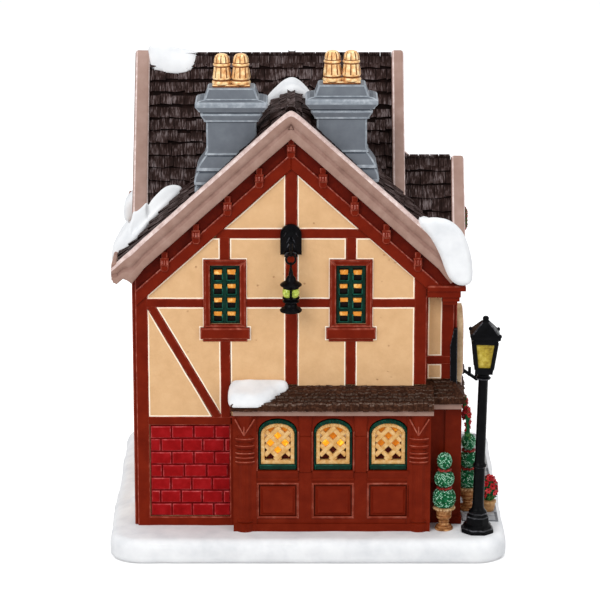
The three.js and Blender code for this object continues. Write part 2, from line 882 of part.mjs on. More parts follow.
function makeTimberFrames() {
  const windows = [windowLeftX, windowRightX];
  const frontBars = gableTimbers(leftWallX, gableRightX, pentWallZ + fitGap);
  const thick = (from, to) => {
    const low = (x) => wingLine(x) - rafterDrop;
    const high = (x) => wingLine(x) - bargeDepth - rafterGap;
    return prismY(
      [[from, low(from)], [to, low(to)], [to, high(to)], [from, high(from)]],
      -rafterThickness,
      -seatGap,
    );
  };
  const front = join(
    frameSolid(frontBars, windows, onFront),
    thick(leftWallX + 1, ridgeX + 0.5),
    thick(ridgeX - 0.5, rightWallX - 1),
    ...corbels(),
  );
  const notchFaceY = notchDepth - seatGap;
  const corniceBottom = corniceTopZ - corniceHeight;
  const cornice = join(
    box(gableRightX + seatGap, corniceRightX, -rafterThickness, notchFaceY, corniceBottom + 3, corniceTopZ),
    box(gableRightX + seatGap, corniceRightX - 2, 0, notchFaceY, corniceBottom, corniceTopZ),
  );
  const notchBars = [
    rectangle(rightWallX - postWidth, rightWallX, pentWallZ + fitGap, corniceBottom + 1),
    rectangle(gableRightX + seatGap, rightWallX, notchRailZ - railWidth / 2, notchRailZ + railWidth / 2),
    rectangle(gableRightX + seatGap, gableRightX + 1, pentWallZ + fitGap, corniceBottom + 1),
  ].map((points) => prismY(points, notchFaceY - timberThickness, notchFaceY));
  const shopFace = box(
    shopLeftX - fitGap,
    shopRightX + fitGap,
    -shopDepth,
    0,
    0,
    pentWallZ + fitGap,
  );
  const whole = join(front, cornice, ...notchBars);
  piece('gable_end_timbers', cut(whole, shopFace), timberColour, 0.55);

  const farBars = gableTimbers(leftWallX, rightWallX, groundZ);
  farBars.push(rectangle(leftWallX, rightWallX, groundZ, baseHeight + groundBeamHeight));
  farBars.push(rectangle(leftWallX, rightWallX, lowRailZ - 1.8, lowRailZ + 1.8));
  piece('far_end_timbers', frameSolid(farBars, windows, onFar), timberColour, 0.55);

  const yardBars = sideTimbers(
    crossRidgeY,
    crossHalfSpan,
    crossLine,
    crossDrop,
    groundZ,
    wingLine(leftWallX) - wingDrop - 3 * timberThickness,
  );
  piece('yard_side_timbers', frameSolid(yardBars, [crossRidgeY], onYard), timberColour, 0.55);

  const streetBars = sideTimbers(
    bayRidgeY,
    bayHalfSpan,
    bayLine,
    crossDrop + bayCopingSkirt,
    pentWallZ + fitGap,
    bayLine(bayFootY) - crossDrop - bayCopingSkirt - fitGap,
  );
  const streetTimbers = frameSolid(streetBars, [bayRidgeY], onStreet);
  piece('street_side_timbers', streetTimbers, timberColour, 0.55);
}

// Timbers of a coped side gable and the wall beside it, as bars in that wall's plane.
function sideTimbers(centre, halfSpan, line, drop, floor, eaveZ) {
  const low = floor > lowRailZ ? notchDepth + seatGap : seatGap;
  const high = houseLength - seatGap;
  const frame = [
    rectangle(low, high, eaveZ - railWidth, eaveZ),
    rectangle(low, high, midRailZ - railWidth / 2, midRailZ + railWidth / 2),
    rectangle(low, high, floor, floor + groundBeamHeight),
  ];
  if (floor < lowRailZ) frame.push(rectangle(low, high, lowRailZ - 1.8, lowRailZ + 1.8));
  const postCount = 5;
  for (let i = 0; i <= postCount; i += 1) {
    const at = low + ((high - low - postWidth) * i) / postCount;
    frame.push(rectangle(at, at + postWidth, floor, eaveZ));
  }
  const gap = drop + 1.2;
  const rafter = (side) => {
    const foot = centre + side * (halfSpan - 1);
    return [
      [foot, line(foot) - gap - rafterWidth],
      [centre, line(centre) - gap - rafterWidth],
      [centre, line(centre) - gap],
      [foot, line(foot) - gap],
    ];
  };
  frame.push(rafter(-1), rafter(1));
  frame.push(rectangle(centre - studWidth / 2, centre + studWidth / 2, eaveZ - 1, line(centre) - gap - 2));
  const collar = (line(centre) + eaveZ) / 2;
  const reach = (line(centre) - gap - collar) / tan(crossPitch) - 1;
  frame.push(rectangle(centre - reach, centre + reach, collar - 2, collar + 2));
  const head = windowSillZ + windowHeight + casingWidth;
  frame.push(rectangle(centre - studWidth / 2, centre + studWidth / 2, head - 1, eaveZ));
  return frame;
}

// A green glazed sash that fills a window opening.
function makeSash(name, centre, extrude) {
  const left = centre - windowWidth / 2 + fitGap;
  const right = centre + windowWidth / 2 - fitGap;
  const bottom = windowSillZ + fitGap;
  const top = windowSillZ + windowHeight - fitGap;
  const paneWidth = (right - left - sashBar * (paneColumns + 1)) / paneColumns;
  const paneHeight = (top - bottom - sashBar * (paneRows + 1)) / paneRows;
  const panes = [];
  for (let i = 0; i < paneColumns; i += 1) {
    for (let j = 0; j < paneRows; j += 1) {
      const u = left + sashBar + i * (paneWidth + sashBar);
      const z = bottom + sashBar + j * (paneHeight + sashBar);
      panes.push(extrude(rectangle(u, u + paneWidth, z, z + paneHeight), -1, sashThickness / 2));
    }
  }
  const plate = extrude(rectangle(left, right, bottom, top), 0, sashThickness);
  piece(name, cut(plate, ...panes), greenColour, 0.35);
}

function makeSashes() {
  const front = (points, from, to) => prismY(points, from, to);
  const far = (points, from, to) => prismY(points, houseLength - to, houseLength - from);
  const yard = (points, from, to) => prismX(points, leftWallX + from, leftWallX + to);
  const street = (points, from, to) => prismX(points, rightWallX - to, rightWallX - from);
  makeSash('left_window_sash', windowLeftX, front);
  makeSash('right_window_sash', windowRightX, front);
  makeSash('far_left_window_sash', windowLeftX, far);
  makeSash('far_right_window_sash', windowRightX, far);
  makeSash('yard_window_sash', crossRidgeY, yard);
  makeSash('bay_window_sash', bayRidgeY, street);
}

function makeBrickPanel() {
  const left = leftWallX + postWidth + fitGap;
  const right = brickPanelRight - fitGap;
  const bottom = baseHeight + groundBeamHeight + fitGap;
  const top = lowRailZ - 1.8 - fitGap;
  const courseHeight = (top - bottom) / brickCourses;
  const bricks = [onFront(rectangle(left, right, bottom, top), brickBackThickness)];
  for (let row = 0; row < brickCourses; row += 1) {
    const z0 = bottom + row * courseHeight + brickJoint / 2;
    const z1 = z0 + courseHeight - brickJoint;
    const offset = row % 2 === 0 ? 0 : brickLength / 2;
    for (let u = left - offset; u < right - brickJoint; u += brickLength) {
      const u0 = Math.max(left, u + brickJoint / 2);
      const u1 = Math.min(right, u + brickLength - brickJoint / 2);
      if (u1 - u0 < 1) continue;
      bricks.push(onFront(rectangle(u0, u1, z0, z1), brickBackThickness + brickRelief));
    }
  }
  piece('brick_panel', join(...bricks), brickColour, 0.55);
}

// A pilaster with a half-round shaft and ring mouldings.
function pilaster(x0) {
  const x = x0 + pilasterWidth / 2;
  const radius = pilasterRadius;
  const floor = groundZ;
  const block = box(x0, x0 + pilasterWidth, -shopDepth - 0.5, -seatGap, floor, shopTopZ);
  const ring = (z, height, grow) => [
    [radius, z],
    [radius + grow, z + height * 0.3],
    [radius + grow, z + height * 0.7],
    [radius, z + height],
  ];
  const profile = [
    [0, floor],
    [radius + 0.6, floor],
    [radius + 0.6, floor + 3.6],
    ...ring(floor + 4, 1.4, 0.5),
    ...ring(39.4, 1.3, 0.5),
    ...ring(41.2, 1.3, 0.5),
    ...ring(43.2, 1.6, 0.5),
    ...ring(46, 1.6, 0.5),
    ...ring(49, 1.6, 0.5),
    [radius, 52],
    [radius + 1, shopTopZ],
    [0, shopTopZ],
  ];
  const shaft = turned(profile, 16, x, -shopDepth + radius - pilasterReach, 0);
  const front = box(x0 - 1, x0 + pilasterWidth + 1, -2 * shopDepth, -shopDepth + 1, 0, shopTopZ);
  return join(block, shaft.intersect(front));
}

function makeShopfront() {
  const floor = groundZ;
  const front = -shopDepth;
  let solid = box(shopLeftX, shopRightX, front, -seatGap, floor, shopTopZ);
  const grooves = [];
  const sills = [];
  for (let i = 0; i < shopBayCount; i += 1) {
    const x = shopBayX(i);
    const half = archWidth / 2;
    const tunnel = archOutline(x, half, archBottomZ, archSpringZ, archRise);
    solid = cut(solid, prismY(tunnel, front - 1, 0));
    const frame = (inset) => prismY(
      rectangle(
        x - half - 0.6 + inset,
        x + half + 0.6 - inset,
        shopPanelBottomZ + inset,
        shopPanelBottomZ + shopPanelHeight - inset,
      ),
      front - 1,
      front + shopPanelGroove,
    );
    grooves.push(cut(frame(0), frame(1.4)));
    const under = archBottomZ - shopSillHeight;
    sills.push(prismX(
      [
        [front + 0.5, under],
        [front - 0.2, under],
        [front - shopSillReach, archBottomZ - 0.8],
        [front - shopSillReach, archBottomZ],
        [front + 0.5, archBottomZ],
      ],
      x - half - 0.3,
      x + half + 0.3,
    ));
  }
  solid = cut(solid, ...grooves);
  const plinth = box(shopLeftX, shopRightX, front - 0.8, front + 1, floor, floor + 3.4);
  const pier = box(pierLeftX, pierRightX, pierFrontY, pierFrontY + pierDepth, floor, shopTopZ);
  const pierBase = box(
    pierLeftX - 0.6,
    pierRightX + 0.4,
    pierFrontY - 0.6,
    pierFrontY + pierDepth,
    floor,
    floor + 3.4,
  );
  const recessBack = box(
    gableRightX + fitGap,
    pierLeftX + 1,
    notchDepth - 2 * wallThickness,
    notchDepth - fitGap,
    floor,
    shopTopZ,
  );
  const recessSide = box(
    gableRightX + fitGap,
    shopRightX,
    -2,
    notchDepth - fitGap,
    floor,
    shopTopZ,
  );
  const house = box(0, rightWallX + fitGap, notchDepth - fitGap, houseLength, 0, ridgeZ);
  piece(
    'shopfront',
    cut(
      join(
        solid,
        ...sills,
        plinth,
        pilaster(shopLeftX),
        pilaster(shopRightX - pilasterWidth),
        recessSide,
        recessBack,
        pier,
        pierBase,
      ),
      house,
    ),
    joineryColour,
    0.5,
  );

  for (let i = 0; i < shopBayCount; i += 1) makeShopWindow(i);
}

// A green arched frame with a deep sill, and the tan lattice that it holds.
function makeShopWindow(index) {
  const x = shopBayX(index);
  const outerHalf = archWidth / 2 - fitGap;
  const innerHalf = outerHalf - archFrameWidth;
  const innerRise = archRise - 1;
  const back = -shopDepth + 1;
  const outer = archOutline(x, outerHalf, archBottomZ + fitGap, archSpringZ, archRise - fitGap);
  const innerBottom = archBottomZ + archSillHeight;
  const inner = archOutline(x, innerHalf, innerBottom, archSpringZ - 1, innerRise);
  const frame = cut(
    prismY(outer, back, back + archFrameThickness),
    prismY(inner, back - 1, back + archFrameThickness + 1),
  );
  piece(`shop_window_frame_${index + 1}`, frame, greenColour, 0.35);

  const half = innerHalf - fitGap;
  const plate = archOutline(x, half, innerBottom + fitGap, archSpringZ - 1, innerRise - fitGap);
  const middle = (innerBottom + archSpringZ + innerRise) / 2;
  const radius = latticeHoleRadius;
  const holes = [];
  for (let ring = 0; ring < 4; ring += 1) {
    const angle = (Math.PI / 2) * ring;
    const u = x + 2.7 * Math.cos(angle);
    const z = middle + 2.7 * Math.sin(angle);
    holes.push(roundHole(u, z, radius * 0.72, back - 1, back + archFrameThickness));
  }
  for (let corner = 0; corner < 4; corner += 1) {
    const angle = Math.PI / 4 + (Math.PI / 2) * corner;
    const u = x + 5.6 * Math.cos(angle);
    const z = middle + 6.4 * Math.sin(angle);
    holes.push(roundHole(u, z, radius * 0.62, back - 1, back + archFrameThickness));
  }
  const lattice = cut(prismY(plate, back + 0.6, back + 0.6 + latticeThickness), ...holes);
  piece(`shop_lattice_${index + 1}`, lattice, latticeColour, 0.5);
}

function roundHole(u, z, radius, y0, y1) {
  const points = [];
  for (let i = 0; i < 8; i += 1) {
    const angle = (Math.PI * 2 * i) / 8;
    points.push([u + radius * Math.cos(angle), z + radius * Math.sin(angle)]);
  }
  return prismY(points, y0, y1);
}

function makePentRoof() {
  const rise = (pentWallZ - pentEaveZ) / pentReach;
  const lip = courseStep / 2;
  const wallY = -seatGap - timberThickness - seatGap;
  const frontRoof = prismX(
    [
      [-pentReach, pentUnderZ],
      [-pentReach, pentEaveZ],
      [-pentReach / 2, pentEaveZ + (rise * pentReach) / 2 - lip],
      [-pentReach / 2, pentEaveZ + (rise * pentReach) / 2 + lip],
      [wallY, pentWallZ],
      [wallY, pentUnderZ],
    ],
    shopLeftX - fitGap,
    shopRightX + 1,
  );
  const sideProfile = prismX(
    [
      [-pentSideReach, pentUnderZ],
      [-pentSideReach, pentEaveZ],
      [notchDepth - fitGap, pentWallZ],
      [pentStreetLength, pentWallZ],
      [pentStreetLength, pentUnderZ],
    ],
    gableRightX + fitGap,
    pentEndX,
  );
  const streetProfile = prismY(
    [
      [gableRightX, pentUnderZ],
      [gableRightX, pentWallZ],
      [rightWallX, pentWallZ],
      [pentEndX, pentEaveZ],
      [pentEndX, pentUnderZ],
    ],
    -pentSideReach - 1,
    pentStreetLength + 1,
  );
  const house = box(0, rightWallX + seatGap, notchDepth - fitGap, houseLength, 0, ridgeZ);
  const roof = cut(join(frontRoof, sideProfile.intersect(streetProfile)), house);
  piece('shopfront_roof', roof, shingleColour, 0.9);

  const top = pentUnderZ - seatGap;
  const outline = [
    [shopLeftX, -pentReach + 1],
    [shopRightX + 1, -pentReach + 1],
    [shopRightX + 1, -pentSideReach + 1],
    [pentEndX - 1.2, -pentSideReach + 1],
    [pentEndX - 1.2, pentStreetLength],
    [rightWallX + seatGap, pentStreetLength],
    [rightWallX + seatGap, notchDepth - fitGap],
    [gableRightX + fitGap, notchDepth - fitGap],
    [gableRightX + fitGap, -seatGap],
    [shopLeftX, -seatGap],
  ];
  const mould = prismZ(outline, top - eaveMouldHeight, top);
  const shopTop = box(
    shopLeftX - 1,
    baseWidth,
    -shopDepth - pilasterReach - 1,
    houseLength,
    0,
    shopTopZ + seatGap,
  );
  piece('shop_eave_moulding', cut(mould, shopTop), stoneTrimColour, 0.65);
}

function makeChimney(name, x, topZ) {
  const half = chimneyShaftHalfWidth;
  const profile = [
    [0, topZ - 60],
    [half + 3.6, topZ - 60],
    [half + 4.4, topZ - 41],
    [half + 4.8, topZ - 36.4],
    [half + 3.9, topZ - 35.4],
    [half + 3.3, topZ - 31.6],
    [half, topZ - 26],
    [half, topZ - 13.4],
    [half + 0.9, topZ - 13.1],
    [half + 2.2, topZ - 11],
    [half + 2.2, topZ - 9.6],
    [half + 3.2, topZ - 9.3],
    [half + 4.2, topZ - 7.4],
    [half + 4.2, topZ - 5.8],
    [half + 3, topZ - 4.7],
    [half + 1.2, topZ - 4.5],
    [half - 0.6, topZ],
    [0, topZ],
  ];
  const stack = mouldedPier(profile, chimneyDepthRatio, x, chimneyY, 0);
  piece(name, cut(stack, roofMass(fitGap)), chimneyColour, 0.55);

  const pot = (at) => turned(
    [
      [0, 0],
      [potRadius, 0],
      [potRadius + 0.15, potHeight * 0.12],
      [potRadius - 0.25, potHeight * 0.19],
      [potRadius - 0.1, potHeight * 0.25],
      [potRadius * 0.84, potHeight * 0.56],
      [potRadius * 0.9, potHeight * 0.62],
      [potRadius * 0.8, potHeight * 0.68],
      [potRadius * 0.78, potHeight * 0.84],
      [potRadius * 0.5, potHeight * 0.98],
      [0, potHeight],
    ],
    12,
    at,
    chimneyY,
    topZ + seatGap + 0.4,
  );
  const plinth = box(
    x - potSpacing / 2 - potRadius,
    x + potSpacing / 2 + potRadius,
    chimneyY - potRadius + 0.4,
    chimneyY + potRadius - 0.4,
    topZ + seatGap,
    topZ + seatGap + 0.8,
  );
  const pots = join(plinth, pot(x - potSpacing / 2), pot(x + potSpacing / 2));
  piece(`${name}_pots`, pots, goldColour, 0.4, 0.6);
}

// A patch of snow that follows the roofs' surfaces inside an outline seen from above.
function snowPatch(name, outline, thickness, lowest, keepOff) {
  const layer = cut(roofMass(thickness), roofMass(fitGap));
  const patch = prismZ(outline, lowest, crossRidgeZ + 20).intersect(layer);
  piece(name, largest(cut(patch, keepOff)), snowColour, snowRoughness);
}

function makeRoofSnow() {
  const keepOff = copingSolids(fitGap);
  const ridgeLeft = leftCopingInnerX + fitGap;
  snowPatch('ridge_snow', [
    [ridgeLeft, crossRidgeY - 6],
    [ridgeLeft + 7, crossRidgeY - 8.5],
    [ridgeLeft + 14, crossRidgeY - 8],
    [ridgeLeft + 19, crossRidgeY - 2],
    [ridgeLeft + 19, crossRidgeY + 4],
    [ridgeLeft + 12, crossRidgeY + 9],
    [ridgeLeft, crossRidgeY + 7],
  ], 3.2, pentWallZ, keepOff);
  const saddle = (across, back) => [
    ridgeX + across * crossHalfSpan,
    crossFootY + back * crossHalfSpan,
  ];
  snowPatch('saddle_snow', [
    saddle(0, 0.05),
    saddle(0.1, 0.24),
    saddle(0.18, 0.45),
    saddle(0.24, 0.67),
    saddle(0.12, 0.81),
    saddle(0, 0.9),
    saddle(-0.14, 0.81),
    saddle(-0.29, 0.71),
    saddle(-0.24, 0.52),
    saddle(-0.12, 0.26),
  ], 2.2, pentWallZ, keepOff);
  const eaveX = ridgeX - bargeReach;
  const drape = bargeReach + 1;
  snowPatch('valley_snow', [
    [eaveX + drape * 0.38, crossFootY + 10],
    [eaveX + drape * 0.32, crossFootY + 7],
    [eaveX + drape * 0.26, crossFootY + 1],
    [eaveX + drape * 0.21, crossFootY - 1],
    [eaveX + drape * 0.15, crossFootY - 5],
    [eaveX + drape * 0.07, crossFootY - 5],
    [eaveX + 1, crossFootY - 11],
    [eaveX, crossFootY - 10],
    [eaveX, leftEaveEndY - 1],
    [leftCopingX - fitGap, leftEaveEndY - 1],
    [leftCopingX - fitGap, crossFootY - fitGap],
    [leftCopingInnerX + fitGap, crossFootY - fitGap],
    [leftCopingInnerX + fitGap, crossFootY + 3],
    [leftCopingInnerX + 5, crossFootY + 9],
    [eaveX + drape * 0.34, crossFootY + 11],
  ], 2.4, wingLine(eaveX) - 1, keepOff);
  const tipX = wingEaveRightX + 1.6;
  const frontY = -gableOverhang - 1.6;
  const eaveSnow = [
    [tipX, frontY],
    [tipX - 8.9, frontY],
    [tipX - 15.9, 0],
    [tipX - 20.4, 12],
    [tipX - 19.9, 20],
    [tipX - 11.9, 21.5],
    [tipX - 3.9, 19],
    [tipX, 12],
  ];
  snowPatch('eave_snow', eaveSnow, 3.4, wingLine(wingEaveRightX) - bargeDepth * 0.6, keepOff);
  const rise = (pentWallZ - pentEaveZ) / pentReach;
  const pentLine = (y) => pentEaveZ + (y + pentReach) * rise + fitGap + courseStep / 2;
  const wallY = -seatGap - timberThickness - fitGap;
  const drift = prismX(
    [
      [-pentReach + 1, pentLine(-pentReach + 1)],
      [-pentReach + 1.4, pentLine(-pentReach) + 2.4],
      [-pentReach / 2, pentLine(-pentReach / 2) + 3.2],
      [wallY, pentLine(wallY) + 2],
      [wallY, pentLine(wallY)],
    ],
    shopLeftX - 1,
    shopLeftX + 21,
  );
  const driftPlan = prismZ(
    [
      [shopLeftX - 1, -pentReach + 4],
      [shopLeftX + 3, -pentReach + 1],
      [shopLeftX + 12, -pentReach + 1],
      [shopLeftX + 17, -6],
      [shopLeftX + 21, wallY],
      [shopLeftX, wallY],
    ],
    pentUnderZ,
    pentWallZ + 9,
  );
  piece('shop_roof_snow', drift.intersect(driftPlan), snowColour, snowRoughness);
}

function makeWallLantern() {
  const half = bracketWidth / 2;
  const spring = bracketTopZ - half;
  const hood = archOutline(lanternX, half, bracketBottomZ + 1, spring, half, 8);
  const under = archOutline(lanternX, half - 1.6, bracketBottomZ, bracketBottomZ + 2.6, 2.4, 6);
  const wallY = -seatGap - timberThickness - seatGap;
  const armLength = -lanternY;
  const body = cut(
    prismY(hood, -armLength * 0.62, wallY),
    prismY(under, -armLength, -wallThickness),
  );
  const arm = box(lanternX - 0.9, lanternX + 0.9, lanternY - 1.6, wallY - 1, spring - 2, spring);
  const eyeZ = lanternRingZ + lanternRingRadius;
  const drop = box(lanternX - 0.9, lanternX + 0.9, lanternY - 1.6, lanternY + 1.6, eyeZ + 1.1, spring - 1);
  const eye = box(lanternX - 0.6, lanternX + 0.6, lanternY - 1.6, lanternY + 1.6, eyeZ - 1.4, eyeZ + 1.6);
  const hole = box(lanternX - 1, lanternX + 1, lanternY - 0.85, lanternY + 0.85, eyeZ - 0.85, eyeZ + 0.85);
  piece('lantern_bracket', cut(join(body, arm, drop, eye), hole), blackColour, 0.35, 0.3);

  const ring = new THREE.TorusGeometry(lanternRingRadius, lanternWire / 2, 6, 14);
  const ringSolid = solidOf(ring.rotateX(Math.PI / 2).translate(lanternX, lanternY, lanternRingZ));
  piece('lantern_ring', ringSolid, blackColour, 0.35, 0.3);

  const hangZ = lanternRingZ - lanternRingRadius;
  const glassTop = hangZ - 9.4;
  const glassBottom = glassTop - lanternGlassHeight;
  const radius = lanternGlassRadius;
  const topCap = turned(
    [
      [0, glassTop],
      [radius + 0.5, glassTop],
      [radius + 0.7, glassTop + 0.7],
      [radius - 0.6, glassTop + 1.7],
      [radius - 1.3, glassTop + 2],
      [radius - 1.5, glassTop + 3],
      [radius - 2.6, glassTop + 4.2],
      [0.8, glassTop + 4.6],
      [0.8, hangZ - 1.8],
      [0, hangZ - 1.8],
    ],
    14,
    lanternX,
    lanternY,
    0,
  );
  const foot = turned(
    [
      [0, glassBottom - 6.2],
      [radius + 0.6, glassBottom - 6],
      [radius + 0.8, glassBottom - 5],
      [radius - 0.8, glassBottom - 3.8],
      [radius - 1.1, glassBottom - 2.4],
      [radius - 0.3, glassBottom - 1.6],
      [radius + 0.1, glassBottom - 0.6],
      [radius - 0.3, glassBottom],
      [0, glassBottom],
    ],
    14,
    lanternX,
    lanternY,
    0,
  );
  const core = box(lanternX - 0.5, lanternX + 0.5, lanternY - 0.5, lanternY + 0.5, glassBottom - 1, glassTop + 1);
  const loop = box(lanternX - 0.6, lanternX + 0.6, lanternY - 1.6, lanternY + 1.6, hangZ - 2.2, hangZ + 1.4);
  const loopHole = box(lanternX - 1, lanternX + 1, lanternY - 0.85, lanternY + 0.85, hangZ - 0.85, hangZ + 0.85);
  piece('lantern_body', join(topCap, foot, core, cut(loop, loopHole)), blackColour, 0.3, 0.3);

  const glass = turned(
    [
      [0, glassBottom + fitGap / 2],
      [radius - 0.5, glassBottom + fitGap / 2],
      [radius, (glassBottom + glassTop) / 2],
      [radius - 0.5, glassTop - fitGap / 2],
      [0, glassTop - fitGap / 2],
    ],
    14,
    lanternX,
    lanternY,
    0,
  );
  const bore = box(lanternX - 0.8, lanternX + 0.8, lanternY - 0.8, lanternY + 0.8, 0, ridgeZ);
  piece('lantern_glass', cut(glass, bore), '#b8c83c', 0.15);
}

// The street lamp leans a little, so its pieces are built upright in a turned group.
function makeStreetLamp() {
  const lamp = new THREE.Group();
  lamp.position.set(lampX, lampY, baseHeight + fitGap);
  lamp.rotation.y = THREE.MathUtils.degToRad(lampLean);
  model.add(lamp);
  const radius = lampPostRadius;
  const post = turned(
    [
      [0, 0],
      [radius + 4.8, 0],
      [radius + 4.8, 1.6],
      [radius + 3.6, 2.8],
      [radius + 2.6, 3.4],
      [radius + 2.6, 6],
      [radius + 1.6, 6.8],
      [radius + 1.6, 8.4],
      [radius + 0.3, 9.4],
      [radius + 0.1, 27.4],
      [radius + 0.5, 27.9],
      [radius + 0.5, 28.6],
      [radius, 29.2],
      [radius - 0.1, lampHeadZ - 2.2],
      [radius + 0.9, lampHeadZ - 1.8],
      [radius + 0.9, lampHeadZ - 1],
      [radius + 0.3, lampHeadZ - 0.4],
      [radius + 0.6, lampHeadZ + 1],
      [0, lampHeadZ + 1],
    ],
    12,
    0,
    0,
    0,
  );
  const paneTop = lampHeadZ + 3.4 + lampPaneHeight;
  const shell = (inset, from, to) => mouldedPier(
    [
      [0, from],
      [lampBottomHalfWidth - inset, from],
      [lampTopHalfWidth - inset, to],
      [0, to],
    ],
    1,
    0,
    0,
    0,
  );
  const head = mouldedPier(
    [
      [0, lampHeadZ],
      [lampBottomHalfWidth - 0.9, lampHeadZ],
      [lampBottomHalfWidth, lampHeadZ + 1],
      [lampTopHalfWidth, paneTop + 0.6],
      [lampRoofHalfWidth, paneTop + 0.8],
      [lampRoofHalfWidth, paneTop + 2],
      [lampRoofHalfWidth * 0.56, paneTop + 4.8],
      [1, paneTop + 6.4],
      [0.7, paneTop + 7],
      [1, paneTop + 7.8],
      [0.8, paneTop + 8.6],
      [0, paneTop + 8.8],
    ],
    1,
    0,
    0,
    0,
  );
  const inside = shell(0.9, lampHeadZ + 2.6, paneTop);
  const light = lampBottomHalfWidth - 0.9;
  const windowX = prismX(
    [
      [-light, lampHeadZ + 3.4],
      [light, lampHeadZ + 3.4],
      [lampTopHalfWidth - 1.5, paneTop - 0.8],
      [1.5 - lampTopHalfWidth, paneTop - 0.8],
    ],
    -2 * lampRoofHalfWidth,
    2 * lampRoofHalfWidth,
  );
  const windowY = prismY(
    [
      [-light, lampHeadZ + 3.4],
      [light, lampHeadZ + 3.4],
      [lampTopHalfWidth - 1.5, paneTop - 0.8],
      [1.5 - lampTopHalfWidth, paneTop - 0.8],
    ],
    -2 * lampRoofHalfWidth,
    2 * lampRoofHalfWidth,
  );
  const frame = cut(join(post, head), inside, windowX, windowY);
  piece('street_lamp', frame, blackColour, 0.25, 0.2, lamp);
  const pane = shell(0.9 + fitGap, lampHeadZ + 2.6 + fitGap, paneTop - fitGap);
  piece('street_lamp_glass', pane, '#ac952f', 0.3, 0, lamp);
}

function makeTopiary(name, x, y, floor) {
  const urn = turned(
    [
      [0, 0],
      [urnRadius * 0.95, 0],
      [urnRadius * 0.95, 1.2],
      [urnRadius * 0.5, 2.4],
      [urnRadius * 0.55, 3.4],
      [urnRadius * 0.95, 5],
      [urnRadius * 0.8, 6.6],
      [urnRadius, urnHeight],
      [0, urnHeight],
    ],
    12,
    x,
    y,
    floor,
  );
  const tiers = [];
  let z = floor + urnHeight - 0.4;
  topiaryTierRadii.forEach((radius, i) => {
    const height = topiaryTierHeights[i];
    const scale = [1, 1, height / (2 * radius)];
    tiers.push(ball(radius, x, y, z + height / 2, scale, 12, 8));
    z += height - 0.4;
  });
  const stem = turned([[0, 0], [1, 0], [1, z - floor - 4], [0, z - floor - 4]], 8, x, y, floor);
  piece(name, join(urn, stem, ...tiers), foliageColour, 0.8);
}

function makePoinsettia() {
  const floor = pavingZ;
  const radius = poinsettiaRadius;
  const plant = turned(
    [
      [0, 0],
      [radius * 0.45, 0],
      [radius * 0.6, 3.6],
      [radius * 0.9, 5],
      [radius, 8],
      [radius * 0.85, 11.5],
      [radius * 0.45, 15],
      [0, 16],
    ],
    12,
    poinsettiaX,
    poinsettiaY,
    floor,
  );
  piece('potted_poinsettia', plant, '#a8242a', 0.8);
}

function makeStreetDetails() {
  const floor = pavingZ;
  const half = doorWidth / 2;
  const door = prismX(
    archOutline(doorY, half, floor, floor + doorHeight - half, half, 10),
    rightWallX + seatGap,
    rightWallX + seatGap + 1.4,
  );
  const panel = (z0, z1) => prismX(
    rectangle(doorY - half + 2.4, doorY + half - 2.4, z0, z1),
    rightWallX + 1.1,
    rightWallX + 3,
  );
  const knob = ball(0.8, rightWallX + 1.9, doorY - half + 1.5, floor + doorHeight * 0.45);
  const doorSolid = join(cut(door, panel(floor + 3, floor + 13), panel(floor + 16, floor + 26)), knob);
  piece('entrance_door', doorSolid, greenColour, 0.4);

  const signFloor = pentWallZ + 1;
  const signFace = rightWallX + timberThickness + 2 * seatGap;
  const signFront = signFace + signThickness;
  const boardOutline = archOutline(
    signY,
    signWidth / 2,
    signFloor,
    signFloor + signHeight - signCrown,
    signCrown,
    8,
  );
  const window = box(0, baseWidth, bayRidgeY - windowWidth, houseLength, windowSillZ - 8, ridgeZ);
  const sign = cut(prismX(boardOutline, signFace, signFront), window);
  piece('street_sign_board', largest(sign), '#c9b48f', 0.6);

  const armY = signY - signWidth / 2 + 3;
  const armStart = [signFront + 0.5, signFloor + 1.4];
  const armEnd = [signFront + 6.4, signFloor - 2.6];
  const iron = 1.2;
  const flat = (points) => prismY(points, armY - iron / 2, armY + iron / 2);
  const plate = box(
    signFront + seatGap,
    signFront + 1,
    armY - 1.6,
    armY + 1.6,
    signFloor + 0.2,
    signFloor + 3.4,
  );
  const prongs = [signFront + 3.2, signFront + 6].map((x) => {
    const t = (x - armStart[0]) / (armEnd[0] - armStart[0]);
    const z = armStart[1] + t * (armEnd[1] - armStart[1]);
    return flat(rectangle(x - iron / 2, x + iron / 2, z - iron / 2, z + 3));
  });
  const arm = flat(bar(...armStart, ...armEnd, iron));
  piece('iron_flower_bracket', join(plate, arm, ...prongs), blackColour, 0.4, 0.3);

  const swagX = pierRightX + fitGap + swagRadius + 0.4;
  const top = shopTopZ - swagRadius - 0.4;
  const start = pierFrontY + 2;
  const span = doorY - half - start;
  const points = [];
  for (let i = 0; i <= 6; i += 1) {
    const t = i / 6;
    points.push(new THREE.Vector3(swagX, start + span * t, top - 4 * swagRadius * t * (1 - t)));
  }
  const tail = [
    new THREE.Vector3(swagX, start, top - swagDrop),
    new THREE.Vector3(swagX, start, top - swagDrop / 2),
  ];
  const route = new THREE.CatmullRomCurve3([...tail, ...points]);
  const section = new THREE.Shape().absarc(0, 0, swagRadius, 0, Math.PI * 2);
  const swag = new THREE.ExtrudeGeometry(section, {
    steps: 24,
    curveSegments: 8,
    extrudePath: route,
  });
  piece('flower_swag', solidOf(swag), '#b3232b', 0.8);
}

